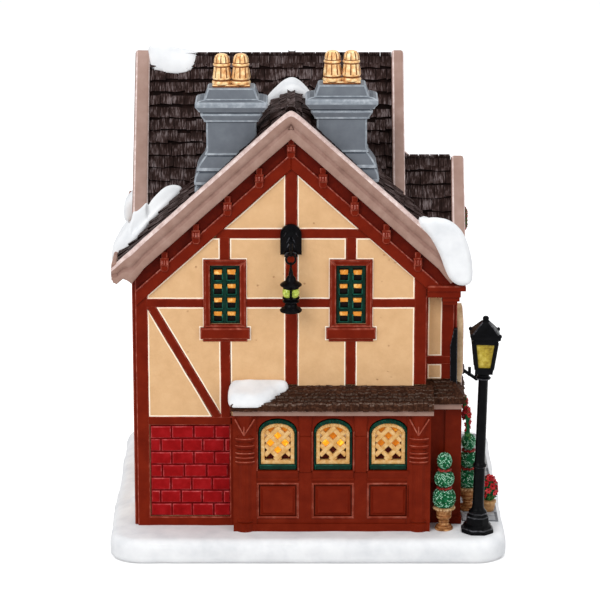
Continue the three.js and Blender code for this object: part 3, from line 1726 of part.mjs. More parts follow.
function makeBatteryBox() {
  const top = flangeTopZ + cellBayHeight + 2;
  const coverLength = boxLength - 2;
  const coverWidth = boxWidth - 2;
  const coverTop = underClearance + coverThickness + seatGap;
  const cellBay = box(
    cellLeftX,
    cellRightX,
    batteryY - cellBayWidth / 2,
    batteryY + cellBayWidth / 2,
    -1,
    flangeTopZ + cellBayHeight,
  );
  const screwHole = turned([[0, -1], [screwRadius + 0.2, -1], [screwRadius + 0.2, 9], [0, 9]], 12, screwX, batteryY, 0);
  const solid = cut(
    join(
      around(boxLength, boxWidth, 0, underClearance, top),
      around(
        boxLength + 2 * boxFlange,
        boxWidth + 2 * boxFlange,
        0,
        underClearance,
        flangeTopZ - seatGap,
      ),
    ),
    cellBay,
    around(coverLength, coverWidth, fitGap, -1, coverTop + seatGap),
    screwHole,
  );
  piece('battery_box', solid, '#1d1d1f', 0.5);

  const thumb = box(
    boxLeftX + coverLip,
    boxLeftX + coverLip + 3,
    batteryY - 6,
    batteryY + 6,
    0,
    underClearance + coverThickness / 2,
  );
  const counterbore = turned(
    [[0, 0], [screwHeadRadius + 0.4, 0], [screwHeadRadius + 0.4, 1.3], [0, 1.3]],
    14,
    screwX,
    batteryY,
    0,
  );
  const cover = cut(
    around(coverLength, coverWidth, 0, underClearance, underClearance + coverThickness),
    thumb,
    counterbore,
    screwHole,
  );
  piece('battery_cover', cover, '#1d1d1f', 0.5);

  const screw = turned(
    [
      [0, underClearance + 0.1],
      [screwHeadRadius, underClearance + 0.1],
      [screwHeadRadius, 1.2],
      [screwRadius, 1.2],
      [screwRadius, 8],
      [0, 8],
    ],
    14,
    screwX,
    batteryY,
    0,
  );
  const slot = box(screwX - screwHeadRadius, screwX + screwHeadRadius, batteryY - 0.3, batteryY + 0.3, 0, 0.9);
  piece('cover_screw', cut(screw, slot), '#b9bbbd', 0.3, 0.9);

  const stem = turned(
    [
      [0, 0],
      [lampStemRadius + 3, 0],
      [lampStemRadius + 3, 1.6],
      [lampStemRadius, 3],
      [lampStemRadius - 0.6, lampStemHeight - 2],
      [lampStemRadius + 4, lampStemHeight],
      [lampStemRadius + 4, lampStemHeight + 1.6],
      [0, lampStemHeight + 1.6],
    ],
    14,
    batteryX,
    batteryY,
    top + seatGap,
  );
  piece('lamp_stem', stem, '#e8e6df', 0.5);
  const led = turned(
    [
      [0, 0],
      [ledRadius + 0.4, 0],
      [ledRadius + 0.4, 1],
      [ledRadius, 1],
      [ledRadius, 5],
      [ledRadius * 0.7, 7],
      [0, 7.8],
    ],
    12,
    batteryX,
    batteryY,
    top + 2 * seatGap + lampStemHeight + 1.6,
  );
  piece('warm_led', led, amberColour, 0.2);
}

function makeSwitch() {
  const x = switchX - switchTravel / 2;
  const flangeHalf = (switchPocketLength - switchTravel) / 2 - 2 * fitGap;
  const flangeWidth = switchPocketWidth - 2 * fitGap;
  const flange = box(
    x - flangeHalf,
    x + flangeHalf,
    batteryY - flangeWidth / 2,
    batteryY + flangeWidth / 2,
    switchLipZ + seatGap,
    switchPocketTop - fitGap,
  );
  const stem = box(
    x - switchStemHalf,
    x + switchStemHalf,
    batteryY - switchStemHalf,
    batteryY + switchStemHalf,
    underClearance,
    switchLipZ + 1,
  );
  piece('power_switch_knob', join(flange, stem), '#2a2a2c', 0.5);
}

makeBase();
makePaving();
makeHouseShell();
makeRoofs();
makeCopings();
bargeboard('front_bargeboard', -gableOverhang, -1, leftReturnLength);
bargeboard('far_bargeboard', farOverhangY, 1, eaveReturnLength);
makeTimberFrames();
makeSashes();
makeBrickPanel();
makeShopfront();
makePentRoof();
makeChimney('left_chimney', leftChimneyX, leftChimneyTopZ);
makeChimney('right_chimney', rightChimneyX, rightChimneyTopZ);
makeRoofSnow();
makeWallLantern();
makeStreetLamp();
makeTopiary('near_topiary', nearTopiaryX, nearTopiaryY, groundZ);
makeTopiary('far_topiary', farTopiaryX, farTopiaryY, pavingZ);
makePoinsettia();
makeStreetDetails();
makeBatteryBox();
makeSwitch();

export default model;
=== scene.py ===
# %% [markdown]
# This lesson dresses a lighted Christmas village building for a photograph.
# The real thing is a small cast house: resin that was poured in moulds and painted by hand.
# A imported CAD model gives every size, so nothing here is measured twice, only dressed.
# The first cell loads that model and keeps its mesh parts, with their placements applied to the meshes.

# %% Load the imported frame
import math
import random

import bmesh
import bpy
from mathutils import Matrix, Vector, noise


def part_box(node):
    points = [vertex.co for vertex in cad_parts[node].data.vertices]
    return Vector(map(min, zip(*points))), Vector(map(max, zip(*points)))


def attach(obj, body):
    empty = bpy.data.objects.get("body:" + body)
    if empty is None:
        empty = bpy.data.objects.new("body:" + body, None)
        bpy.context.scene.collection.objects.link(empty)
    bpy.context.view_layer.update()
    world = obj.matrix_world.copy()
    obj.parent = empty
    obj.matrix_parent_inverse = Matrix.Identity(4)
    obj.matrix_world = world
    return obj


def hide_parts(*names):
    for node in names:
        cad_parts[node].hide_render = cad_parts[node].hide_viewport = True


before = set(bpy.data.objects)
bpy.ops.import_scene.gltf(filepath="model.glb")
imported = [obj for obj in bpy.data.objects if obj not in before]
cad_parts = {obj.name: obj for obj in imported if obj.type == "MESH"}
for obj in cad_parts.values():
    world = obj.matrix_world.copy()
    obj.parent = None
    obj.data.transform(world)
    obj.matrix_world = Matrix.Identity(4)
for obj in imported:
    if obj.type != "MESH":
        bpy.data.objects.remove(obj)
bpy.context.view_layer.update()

# %% [markdown]
# Sizes of a small house are easiest to think about in millimetres, measured from its own walls.
# So each point is written as x to the right, g behind the face of the gable wall, and z up.
# One function turns such a point into the metres of the shared frame.

# %% Millimetres in, metres out
MM = 0.001
GABLE_FACE = -53.3
LEFT_WALL, RIGHT_WALL, GABLE_RIGHT = -69.1, 58.9, 47.5
HOUSE_LENGTH, NOTCH = 116.0, 8.0
GROUND = 9.6


def place(x, g, z):
    return Vector((x, g + GABLE_FACE, z)) * MM


print("gable wall foot:", tuple(round(v, 4) for v in place(LEFT_WALL, 0, GROUND)))

# %% [markdown]
# Paint colours are given as screen values from 0 to 255, but shaders want linear light.
# A short function converts them once, so that the numbers in the lesson stay readable.
# Hand paint is never even: in some places it is a little darker, in others a little lighter.
# One paint recipe does that for every finish, from two noises: a broad one that moves the colour
# between three shades, and a fine one that roughens the surface and its gloss.

# %% The paint recipe
def tint(red, green, blue):
    channels = []
    for value in (red, green, blue):
        value /= 255
        channels.append(value / 12.92 if value <= 0.04045 else ((value + 0.055) / 1.055) ** 2.4)
    return (*channels, 1.0)


def node(tree, kind, **values):
    made = tree.nodes.new(kind)
    for key, value in values.items():
        if key in made.inputs:
            made.inputs[key].default_value = value
        else:
            setattr(made, key, value)
    return made


def ramp(tree, source, stops):
    made = tree.nodes.new("ShaderNodeValToRGB")
    tree.links.new(source, made.inputs[0])
    while len(made.color_ramp.elements) < len(stops):
        made.color_ramp.elements.new(0.5)
    for element, (position, colour) in zip(made.color_ramp.elements, stops):
        element.position = position
        element.color = colour
    return made


def new_finish(name):
    """An empty material, with its node tree and its main shader."""
    material = bpy.data.materials.new(name)
    material.use_nodes = True
    return material, material.node_tree, material.node_tree.nodes["Principled BSDF"]


def paint(name, dark, base, light, size=4.0, rough=0.55, grain=0.35, bump=0.12,
          coat=0.0, metal=0.0, specular=0.16):
    """A hand-painted finish. size and grain are the widths in mm of its broad and fine noise."""
    material, tree, shader = new_finish(name)
    where = node(tree, "ShaderNodeTexCoord").outputs["Object"]
    broad = node(tree, "ShaderNodeTexNoise", Scale=1 / (size * MM), Detail=3.0, Roughness=0.6)
    tree.links.new(where, broad.inputs["Vector"])
    shades = ramp(tree, broad.outputs[0], [(0.28, tint(*dark)), (0.5, tint(*base)), (0.72, tint(*light))])
    tree.links.new(shades.outputs[0], shader.inputs["Base Color"])
    fine = node(tree, "ShaderNodeTexNoise", Scale=1 / (grain * MM), Detail=2.0)
    tree.links.new(where, fine.inputs["Vector"])
    relief = node(tree, "ShaderNodeBump", Strength=bump, Distance=0.3 * MM)
    tree.links.new(fine.outputs[0], relief.inputs["Height"])
    tree.links.new(relief.outputs[0], shader.inputs["Normal"])
    gloss = node(tree, "ShaderNodeMapRange")
    gloss.inputs["To Min"].default_value = max(0.05, rough - 0.08)
    gloss.inputs["To Max"].default_value = min(1.0, rough + 0.08)
    tree.links.new(fine.outputs[0], gloss.inputs["Value"])
    tree.links.new(gloss.outputs[0], shader.inputs["Roughness"])
    shader.inputs["Metallic"].default_value = metal
    shader.inputs["Coat Weight"].default_value = coat
    shader.inputs["Specular IOR Level"].default_value = specular
    return material


print("recipe ready; cream in linear light:", [round(v, 3) for v in tint(221, 180, 136)])

# %% [markdown]
# Pieces are gathered as points and faces first, and turned into one Blender mesh at the end.
# Most parts of a cast house are flat shapes with a softened front edge: timbers, bricks, panels.
# A slab makes those. Its outline is drawn in the plane of its wall, and its front edge is cut back
# by a small chamfer, which can have a paint of its own: that is how painted highlights along the edges are made.

# %% Gathering shapes
class Shape:
    def __init__(self):
        self.points, self.faces, self.paints, self.streaks = [], [], [], []

    def put(self, points, faces, paint=0, streaks=None):
        """Adds faces over points. paint is one number, or one for each face."""
        first = len(self.points)
        self.points += [tuple(point) for point in points]
        self.faces += [[first + corner for corner in face] for face in faces]
        self.paints += paint if isinstance(paint, list) else [paint] * len(faces)
        self.streaks += streaks or [None] * len(faces)


def clamp(value, low=0.0, high=1.0):
    return max(low, min(high, value))


def wander(a, b, c):
    """A smooth random number from about -1 to 1 that depends on the place alone."""
    return noise.noise(Vector((a, b, c)))


def pairs(count):
    """Each number up to count with the next one, round to the first."""
    return [(i, (i + 1) % count) for i in range(count)]


def sides_of(outline):
    """The sides of an outline, as pairs of points."""
    return zip(outline, outline[1:] + outline[:1])


def loft(shape, rings, paint=0, ends="capped"):
    """A skin over rings of points. paint is a number, or gives one for a ring and a side.
    The ends are capped, open, or joined to each other."""
    count, last = len(rings[0]), len(rings) - 1
    levels = pairs(last + 1)[:None if ends == "joined" else -1]
    faces = [
        [low * count + i, low * count + j, high * count + j, high * count + i]
        for low, high in levels for i, j in pairs(count)
    ]
    paints = [paint(low, i) for low, _ in levels for i in range(count)] if callable(paint) else paint
    if ends == "capped":
        faces += [list(range(count))[::-1], list(range(last * count, (last + 1) * count))]
        paints = paints + [0, 0] if callable(paint) else paint
    shape.put([point for ring in rings for point in ring], faces, paints)


def inset(outline, distance):
    """The outline with every edge moved inwards."""
    area = sum(a[0] * b[1] - b[0] * a[1] for a, b in sides_of(outline))
    side = 1 if area > 0 else -1
    moved = []
    for index, (u, v) in enumerate(outline):
        before, after = outline[index - 1], outline[(index + 1) % len(outline)]
        first = Vector((u - before[0], v - before[1])).normalized()
        second = Vector((after[0] - u, after[1] - v)).normalized()
        n1 = Vector((-first.y, first.x)) * side
        n2 = Vector((-second.y, second.x)) * side
        step = (n1 + n2) * distance / max(0.35, 1 + n1.dot(n2))
        moved.append((u + step.x, v + step.y))
    return moved


def front(u, v, out):
    return (u, -out, v)


def far(u, v, out):
    return (u, HOUSE_LENGTH + out, v)


def yard(u, v, out):
    return (LEFT_WALL - out, u, v)


def street(u, v, out):
    return (RIGHT_WALL + out, u, v)


def slab(shape, outline, back, face, plane=front, paint=0, edge=0.35, edge_paint=None):
    """A block from depth back to depth face, both measured outwards from the wall's plane."""
    count = len(outline)
    chamfer = min(edge, (face - back) * 0.8) if face > back else edge
    rings = [(outline, back), (outline, face - chamfer), (inset(outline, edge), face)]
    points = [plane(u, v, depth) for ring, depth in rings for u, v in ring]
    sides = [[i, j, j + count, i + count] for i, j in pairs(count)]
    rims = [[i + count, j + count, j + 2 * count, i + 2 * count] for i, j in pairs(count)]
    ends = [list(range(count)), list(range(2 * count, 3 * count))]
    rim_paint = paint if edge_paint is None else edge_paint
    shape.put(points, sides + ends + rims, [paint] * (count + 2) + [rim_paint] * count)


def mitred(shape, outer, inner, *how):
    """Boards between two outlines with mitred corners, as in a picture frame."""
    for i, j in pairs(len(outer)):
        slab(shape, [outer[i], outer[j], inner[j], inner[i]], *how)


def rectangle(u0, u1, v0, v1):
    return [(u0, v0), (u1, v0), (u1, v1), (u0, v1)]


def beam(u0, v0, u1, v1, width):
    """The outline of a straight timber between two points."""
    along = Vector((u1 - u0, v1 - v0)).normalized() * (width / 2)
    across = Vector((-along.y, along.x))
    return [
        (u0 - across.x, v0 - across.y), (u1 - across.x, v1 - across.y),
        (u1 + across.x, v1 + across.y), (u0 + across.x, v0 + across.y),
    ]


def arch(centre, half, bottom, spring, rise, steps=14):
    angles = [math.pi * i / steps for i in range(steps + 1)]
    curve = [(centre + half * math.cos(angle), spring + rise * math.sin(angle)) for angle in angles]
    return [(centre - half, bottom), (centre + half, bottom)] + curve


def box(shape, x0, x1, g0, g1, z0, z1, paint=0, edge=0.3, edge_paint=None):
    """A block with all its upright and top edges softened."""
    low, high = rectangle(x0, x1, g0, g1), inset(rectangle(x0, x1, g0, g1), edge)
    points = [(u, v, z0) for u, v in low] + [(u, v, z1 - edge) for u, v in low]
    points += [(u, v, z1) for u, v in high]
    sides = [[i, j, j + 4, i + 4] for i, j in pairs(4)]
    rims = [[i + 4, j + 4, j + 8, i + 8] for i, j in pairs(4)]
    rim_paint = paint if edge_paint is None else edge_paint
    shape.put(points, sides + [[3, 2, 1, 0], [8, 9, 10, 11]] + rims, [paint] * 6 + [rim_paint] * 4)


def around(steps, radius=1.0, turn=0.0):
    """Points on a circle, as pairs."""
    angles = [turn + 2 * math.pi * i / steps for i in range(steps)]
    return [(radius * math.cos(angle), radius * math.sin(angle)) for angle in angles]


def lathe(shape, profile, x, g, z, steps=20, paint=0, square=False, turn=0.0):
    """Turns a profile of (radius, height) or (radius, height, paint) round an upright axis."""
    corners = [(-1, -1), (1, -1), (1, 1), (-1, 1)] if square else around(steps, turn=turn)
    rings = []
    for radius, height, *_ in profile:
        rings.append([(x + radius * u, g + radius * v, z + height) for u, v in corners])
    loft(shape, rings, (lambda ring, side: profile[ring][2]) if len(profile[0]) == 3 else paint)


def pill(shape, centre, radii, paint=0, across=8, up=5, turn=None):
    """A small egg-shaped lump, for leaves, petals, berries and lumps of snow."""
    rings = []
    for ring in range(up + 1):
        tilt = math.pi * ring / up - math.pi / 2
        spots = [
            Vector((math.cos(tilt) * u * radii[0], math.cos(tilt) * v * radii[1], math.sin(tilt) * radii[2]))
            for u, v in around(across)
        ]
        rings.append([Vector(centre) + (spot if turn is None else turn @ spot) for spot in spots])
    loft(shape, rings, paint, "open")


def bar(shape, start, end, radius, paint=0, steps=8, end_radius=None):
    """A round rod between two points."""
    start, end = Vector(start), Vector(end)
    along = (end - start).normalized()
    side = along.orthogonal().normalized()
    other = along.cross(side)
    ends = ((start, radius), (end, radius if end_radius is None else end_radius))
    loft(shape, [[spot + side * u + other * v for u, v in around(steps, size)] for spot, size in ends], paint)


print("shape helpers ready")

# %% [markdown]
# The last helper turns a gathered shape into an object. It makes the faces look outwards,
# smooths only the shallow bends, hides the CAD node that the piece stands for,
# parents it to an empty for the body it moves with, and gives its faces their finish slots.
# A piece that is one soft skin is welded too, so that its faces share their corners.

# %% From shape to finished piece
def finished(title, shape, paints, node_names=(), body="building", smooth=32, weld=False):
    name = title.replace(" ", "_")
    mesh = bpy.data.meshes.new(name)
    mesh.from_pydata([place(*point) for point in shape.points], [], shape.faces)
    for material in paints:
        mesh.materials.append(material)
    mesh.polygons.foreach_set("material_index", shape.paints)
    if any(streak is not None for streak in shape.streaks):
        layer = mesh.uv_layers.new(name="streaks")
        for polygon, streak in zip(mesh.polygons, shape.streaks):
            for corner, loop in enumerate(polygon.loop_indices):
                layer.data[loop].uv = streak[corner] if streak else (0, 0)
    bm = bmesh.new()
    bm.from_mesh(mesh)
    if weld:
        bmesh.ops.remove_doubles(bm, verts=bm.verts, dist=0.00001)
    bmesh.ops.recalc_face_normals(bm, faces=bm.faces)
    bm.to_mesh(mesh)
    bm.free()
    mesh.polygons.foreach_set("use_smooth", [True] * len(mesh.polygons))
    mesh.set_sharp_from_angle(angle=math.radians(smooth))
    piece = bpy.data.objects.new(name, mesh)
    bpy.context.scene.collection.objects.link(piece)
    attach(piece, body)
    if node_names:
        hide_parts(*([node_names] if isinstance(node_names, str) else node_names))
    print(f"{piece.name}: {len(piece.data.polygons)} faces")
    return piece


def dressed(node_name, material):
    """A CAD node that stays as it is gets its finish here."""
    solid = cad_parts[node_name]
    solid.data.materials.clear()
    solid.data.materials.append(material)
    return solid


random.seed(7)
print("piece helpers ready")

# %% [markdown]
# The finishes come next, because each piece asks for one when it is made.
# The house is cast resin with brushed paint: cream plaster, dark red timber, stone-pink trim,
# brown-black shingles, grey chimneys, red bricks, bottle-green windows and gilded pots.
# Each finish lists a dark, a middle and a light shade, and the size of its brush marks.

# %% Paints of the walls and trim
plaster = paint("cream plaster", (211, 168, 121), (217, 174, 127), (222, 180, 133),
                size=6, rough=0.62, grain=1.3, bump=0.55)
# Painted highlight: the light line along the edge of every plaster panel.
plaster_highlight = paint("painted highlight on plaster edges", (255, 222, 190), (255, 236, 212), (255, 244, 228),
                     size=5, rough=0.6, grain=0.8, bump=0.05)
timber = paint("dark red timber", (98, 21, 5), (108, 26, 8), (117, 31, 11),
               size=7, rough=0.45, grain=0.7, bump=0.12, specular=0.05)
# Painted highlight on the chamfered edges of the timbers and on the bead under the barge.
timber_highlight = paint("painted highlight on timber edges", (114, 32, 16), (138, 54, 38), (176, 98, 80),
                    size=3, rough=0.4, grain=0.5, bump=0.1, specular=0.09)
timber_shade = paint("timber under the eaves", (72, 13, 4), (88, 18, 6), (102, 25, 9),
                     size=5, rough=0.5, grain=0.6, bump=0.12, specular=0.05)
# Painted highlight: the pink lights on the corbels and along the bead under the barge.
corbel_highlight = paint("painted highlight on the corbels", (124, 42, 30), (164, 84, 70), (220, 156, 144),
                     size=1.6, rough=0.35, grain=0.4, bump=0.1)
joinery = paint("shopfront joinery", (98, 23, 6), (107, 28, 9), (116, 34, 14),
                size=6, rough=0.42, grain=0.8, bump=0.1, specular=0.05)
# Painted highlight on the edges and strapwork of the shopfront joinery.
joinery_highlight = paint("painted highlight on joinery edges", (126, 46, 30), (152, 72, 54), (184, 112, 94),
                     size=3, rough=0.4, grain=0.5, bump=0.08, specular=0.09)
trim = paint("pink stone trim", (145, 112, 99), (155, 123, 110), (166, 135, 122),
             size=6, rough=0.6, grain=0.7, bump=0.15)
trim_shade = paint("shaded groove of the trim", (128, 97, 86), (146, 113, 101), (160, 128, 116),
                   size=6, rough=0.6, grain=0.7, bump=0.12)
# Painted highlight on the rounded edges of the trim, the bargeboards, the copings and the sign.
trim_highlight = paint("painted highlight on the trim's edges", (186, 158, 150), (214, 190, 183), (236, 218, 212),
                   size=2.2, rough=0.55, grain=0.5, bump=0.12)
coping_stone = paint("coping stone", (150, 120, 108), (160, 131, 119), (171, 142, 131),
                     size=8, rough=0.62, grain=0.7, bump=0.12)
coping_side = paint("shaded side of the coping", (126, 97, 87), (146, 115, 104), (160, 130, 119),
                    size=8, rough=0.62, grain=0.7, bump=0.12)
print("wall paints:", len(bpy.data.materials))

# %% Paints of the roof, chimneys and brick
slate_grey = paint("grey chimney render", (94, 99, 106), (102, 107, 114), (110, 116, 122),
                   size=7, rough=0.5, grain=0.9, bump=0.14)
# Painted highlight on the corners and lips of the chimney mouldings.
chimney_highlight = paint("painted highlight on chimney edges", (124, 131, 139), (144, 151, 158), (176, 182, 188),
                     size=2.5, rough=0.5, grain=0.5, bump=0.12)
chimney_shade = paint("hollow of the chimney moulding", (64, 69, 78), (78, 84, 92), (92, 98, 106),
                      size=5, rough=0.55, grain=0.8, bump=0.12)
gilding = paint("worn gilding", (190, 122, 66), (240, 194, 136), (255, 234, 184),
                size=2.0, rough=0.36, grain=0.5, bump=0.2, metal=0.25)
gilding_groove = paint("dark groove of the gilding", (84, 46, 22), (128, 76, 38), (160, 102, 58),
                       size=1.6, rough=0.5, grain=0.4, bump=0.15)
brick = paint("red brick", (126, 7, 9), (141, 12, 15), (156, 22, 26),
              size=4, rough=0.45, grain=0.8, bump=0.15, specular=0.05)
# Painted highlight on the edges of the bricks.
brick_highlight = paint("painted highlight on brick edges", (140, 22, 24), (164, 42, 46), (196, 88, 88),
                   size=2.4, rough=0.45, grain=0.5, bump=0.1, specular=0.09)
mortar = paint("dark mortar", (78, 5, 5), (98, 8, 8), (114, 12, 12),
               size=3, rough=0.7, grain=0.6, bump=0.2, specular=0.03)
snow = paint("snow", (219, 221, 223), (232, 233, 234), (241, 242, 242),
             size=11, rough=0.72, grain=0.9, bump=0.1, specular=0.2)
paving = paint("grey paving", (128, 130, 134), (160, 162, 165), (186, 188, 190),
               size=3, rough=0.75, grain=0.6, bump=0.25)
print("paints so far:", len(bpy.data.materials))

# %% Paints of windows, lamps and plants
green = paint("bottle green", (2, 26, 18), (4, 40, 29), (8, 54, 41),
              size=2.6, rough=0.35, grain=0.5, bump=0.1, specular=0.08)
# Painted highlight on the edges of the green frames, the sashes and the door.
green_highlight = paint("painted highlight on green edges", (3, 42, 30), (8, 62, 48), (30, 100, 84),
                   size=2, rough=0.35, grain=0.4, bump=0.1, specular=0.12)
# Painted shade: the black back of each sash and the lower, unlit part of every pane.
pane_shade = paint("painted shade inside the window", (6, 3, 3), (14, 7, 6), (30, 14, 11),
                   size=2, rough=0.35, grain=0.6, bump=0.05, specular=0.06)
black_paint = paint("black enamel", (2, 2, 3), (6, 6, 8), (12, 12, 14),
                    size=3, rough=0.3, grain=0.5, bump=0.08, specular=0.05)
# Painted highlight on the edges of the black iron: lantern, street lamp and brackets.
black_highlight = paint("painted highlight on black edges", (14, 14, 16), (34, 34, 38), (96, 96, 102),
                   size=1.2, rough=0.3, grain=0.4, bump=0.1, specular=0.2)
tan_lattice = paint("tan lattice", (194, 138, 66), (216, 170, 106), (232, 196, 140),
                    size=2, rough=0.45, grain=0.5, bump=0.15)
tan_lattice_shade = paint("shaded side of the lattice", (128, 78, 30), (160, 106, 50), (186, 132, 70),
                          size=2, rough=0.5, grain=0.5, bump=0.12)
lamp_pane = paint("olive lamp pane", (128, 104, 24), (176, 152, 50), (204, 184, 86),
                  size=2.2, rough=0.25, grain=0.5, bump=0.1)
green_pane = paint("yellow-green lantern glass", (112, 128, 24), (182, 196, 70), (236, 240, 150),
                   size=1.7, rough=0.2, grain=0.5, bump=0.1, coat=0.4)
leaf_dark = paint("topiary depth", (4, 48, 24), (12, 80, 42), (30, 112, 64),
                  size=1.4, rough=0.6, grain=0.4, bump=0.2, specular=0.1)
holly_leaf = paint("poinsettia leaf", (24, 60, 22), (44, 92, 36), (86, 132, 66),
                   size=1.5, rough=0.5, grain=0.4, bump=0.2)
petal = paint("red petal", (128, 8, 14), (166, 18, 26), (206, 58, 60),
              size=1.2, rough=0.45, grain=0.4, bump=0.15)
ribbon = paint("red ribbon", (96, 20, 16), (130, 34, 28), (164, 62, 50),
               size=1.5, rough=0.4, grain=0.4, bump=0.1)
pot_clay = paint("tan pot", (140, 98, 58), (176, 132, 86), (204, 164, 114),
                 size=2, rough=0.5, grain=0.5, bump=0.15)
sign_wood = paint("pale sign board", (198, 164, 122), (216, 186, 146), (232, 206, 170),
                  size=3, rough=0.55, grain=0.6, bump=0.15)
print("paints so far:", len(bpy.data.materials))

# %% [markdown]
# Cast plaster is never quite smooth: small air bubbles left pits in its face. They come from a
# Voronoi texture, which drops one point into every cell of about four millimetres.
# A pixel close to such a point is lower and painted darker, as the shade in the pit, and a noise leaves many of
# the pits out.

# %% Pits in the plaster
def pitted(material, cell=4.2, radius=0.13):
    tree = material.node_tree
    shader = tree.nodes["Principled BSDF"]
    where = node(tree, "ShaderNodeTexCoord")
    points = node(tree, "ShaderNodeTexVoronoi", Scale=1 / (cell * MM))
    some = node(tree, "ShaderNodeTexNoise", Scale=1 / (9 * MM), Detail=1.0)
    tree.links.new(where.outputs["Object"], points.inputs["Vector"])
    tree.links.new(where.outputs["Object"], some.inputs["Vector"])
    near = ramp(tree, points.outputs["Distance"], [(radius * 0.4, (1, 1, 1, 1)), (radius, (0, 0, 0, 1))])
    kept = ramp(tree, some.outputs[0], [(0.50, (0, 0, 0, 1)), (0.56, (1, 1, 1, 1))])
    pit = node(tree, "ShaderNodeMath", operation="MULTIPLY")
    tree.links.new(near.outputs[0], pit.inputs[0])
    tree.links.new(kept.outputs[0], pit.inputs[1])
    # Painted shade: the colour is multiplied darker inside each pit.
    darker = node(tree, "ShaderNodeMixRGB", blend_type="MULTIPLY")
    darker.inputs[2].default_value = tint(226, 214, 206)
    tree.links.new(pit.outputs[0], darker.inputs[0])
    tree.links.new(shader.inputs["Base Color"].links[0].from_socket, darker.inputs[1])
    tree.links.new(darker.outputs[0], shader.inputs["Base Color"])
    dent = node(tree, "ShaderNodeBump", Strength=0.7, Distance=0.35 * MM)
    dent.invert = True
    tree.links.new(pit.outputs[0], dent.inputs["Height"])
    if shader.inputs["Normal"].links:
        tree.links.new(shader.inputs["Normal"].links[0].from_socket, dent.inputs["Normal"])
    tree.links.new(dent.outputs[0], shader.inputs["Normal"])


pitted(plaster)
print("plaster nodes:", len(plaster.node_tree.nodes))

# %% [markdown]
# Two parts of the house glow in the dark: the pierced shop windows show the lamp behind them.
# A glow is an emission shader with a mild strength, mixed by noise from orange to yellow,
# so that each hole looks like light falling on the inside of the cast wall.

# %% Glowing holes of the shop windows
def glow(name, dark, light, strength):
    material = paint(name, dark, dark, light, size=1.6, rough=0.4)
    tree = material.node_tree
    shader = tree.nodes["Principled BSDF"]
    colour = shader.inputs["Base Color"].links[0].from_socket
    tree.links.new(colour, shader.inputs["Emission Color"])
    shader.inputs["Emission Strength"].default_value = strength
    return material


# Painted light: the amber panes glow, standing in for the lamp's light behind them.
amber = glow("amber pane glowing with painted lamplight", (206, 130, 44), (246, 196, 116), 0.3)
lit_hole = glow("lit hole", (226, 150, 24), (250, 226, 72), 0.75)
print("glowing finishes:", amber.name, lit_hole.name)

# %% [markdown]
# The shingles were painted brown-black, and then a nearly dry brush of grey-pink was dragged
# down the slope, so that it caught only the high places in thin upright streaks.
# The streaks need to know which way is down on each slope, so every shingle carries its own
# coordinates in mm: across the slope and down it. A noise that is squeezed across and stretched
# down gives the strokes, and a second, wide noise lets the brush miss some places.

# %% Dry-brushed shingles
def dry_brushed(name, under, under_light, brushed, brushed_light, amount):
    material, tree, shader = new_finish(name)
    spot = node(tree, "ShaderNodeUVMap", uv_map="streaks")
    strokes_at = node(tree, "ShaderNodeMapping")
    strokes_at.inputs["Scale"].default_value = (1.9, 0.22, 1)
    tree.links.new(spot.outputs[0], strokes_at.inputs["Vector"])
    strokes = node(tree, "ShaderNodeTexNoise", Scale=1.0, Detail=3.0, Roughness=0.65)
    tree.links.new(strokes_at.outputs[0], strokes.inputs["Vector"])
    reach = node(tree, "ShaderNodeTexNoise", Scale=0.16, Detail=2.0)
    tree.links.new(spot.outputs[0], reach.inputs["Vector"])
    both = node(tree, "ShaderNodeMath", operation="MULTIPLY_ADD")
    both.inputs[1].default_value = 0.55
    tree.links.new(reach.outputs[0], both.inputs[0])
    tree.links.new(strokes.outputs[0], both.inputs[2])
    middle = 0.80 - amount * 0.1
    colour = ramp(tree, both.outputs[0], [
        (middle - 0.14, tint(*under)), (middle - 0.03, tint(*under_light)),
        (middle + 0.05, tint(*brushed)), (middle + 0.17, tint(*brushed_light)),
    ])
    tree.links.new(colour.outputs[0], shader.inputs["Base Color"])
    relief = node(tree, "ShaderNodeBump", Strength=0.35, Distance=0.3 * MM)
    tree.links.new(strokes.outputs[0], relief.inputs["Height"])
    tree.links.new(relief.outputs[0], shader.inputs["Normal"])
    gloss = ramp(tree, strokes.outputs[0], [(0.3, (0.62,) * 3 + (1,)), (0.7, (0.84,) * 3 + (1,))])
    tree.links.new(gloss.outputs[0], shader.inputs["Roughness"])
    shader.inputs["Specular IOR Level"].default_value = 0.08
    return material


shingle = dry_brushed("dry-brushed shingle", (27, 14, 11), (40, 25, 21),
                      (66, 52, 50), (112, 100, 99), 0.2)
shingle_butt = paint("dark shingle butt", (10, 5, 4), (18, 10, 8), (28, 16, 13),
                     size=3, rough=0.8, grain=0.6, bump=0.2, specular=0.05)
roof_base = paint("roof under the shingles", (12, 6, 5), (20, 11, 9), (32, 18, 15),
                  size=3, rough=0.85, grain=0.6, bump=0.2, specular=0.05)
pent_shingle = paint("brown pent roof", (36, 18, 10), (56, 31, 19), (88, 58, 42),
                     size=1.1, rough=0.75, grain=0.5, bump=0.35, specular=0.08)
print("paints in all:", len(bpy.data.materials))

# %% [markdown]
# The photograph was taken in a white studio with soft light from all round.
# A pale sky of even strength does most of that work, and three large lamps give it a direction.
# The strengths are chosen so that a painted colour renders about as it was written.
# The camera, gloss and glass see a white world, while the object is lit by a plain grey one:
# Light Path tells the two apart, so the background is white without flooding the object.

# %% Rays that see the white background
def sees_white(tree):
    """A value of 1 for rays from the camera, from gloss and through glass, and 0 for all others."""
    rays = node(tree, "ShaderNodeLightPath")
    value = rays.outputs["Is Camera Ray"]
    for kind in ("Is Glossy Ray", "Is Transmission Ray"):
        either = node(tree, "ShaderNodeMath", operation="MAXIMUM")
        tree.links.new(value, either.inputs[0])
        tree.links.new(rays.outputs[kind], either.inputs[1])
        value = either.outputs[0]
    return value


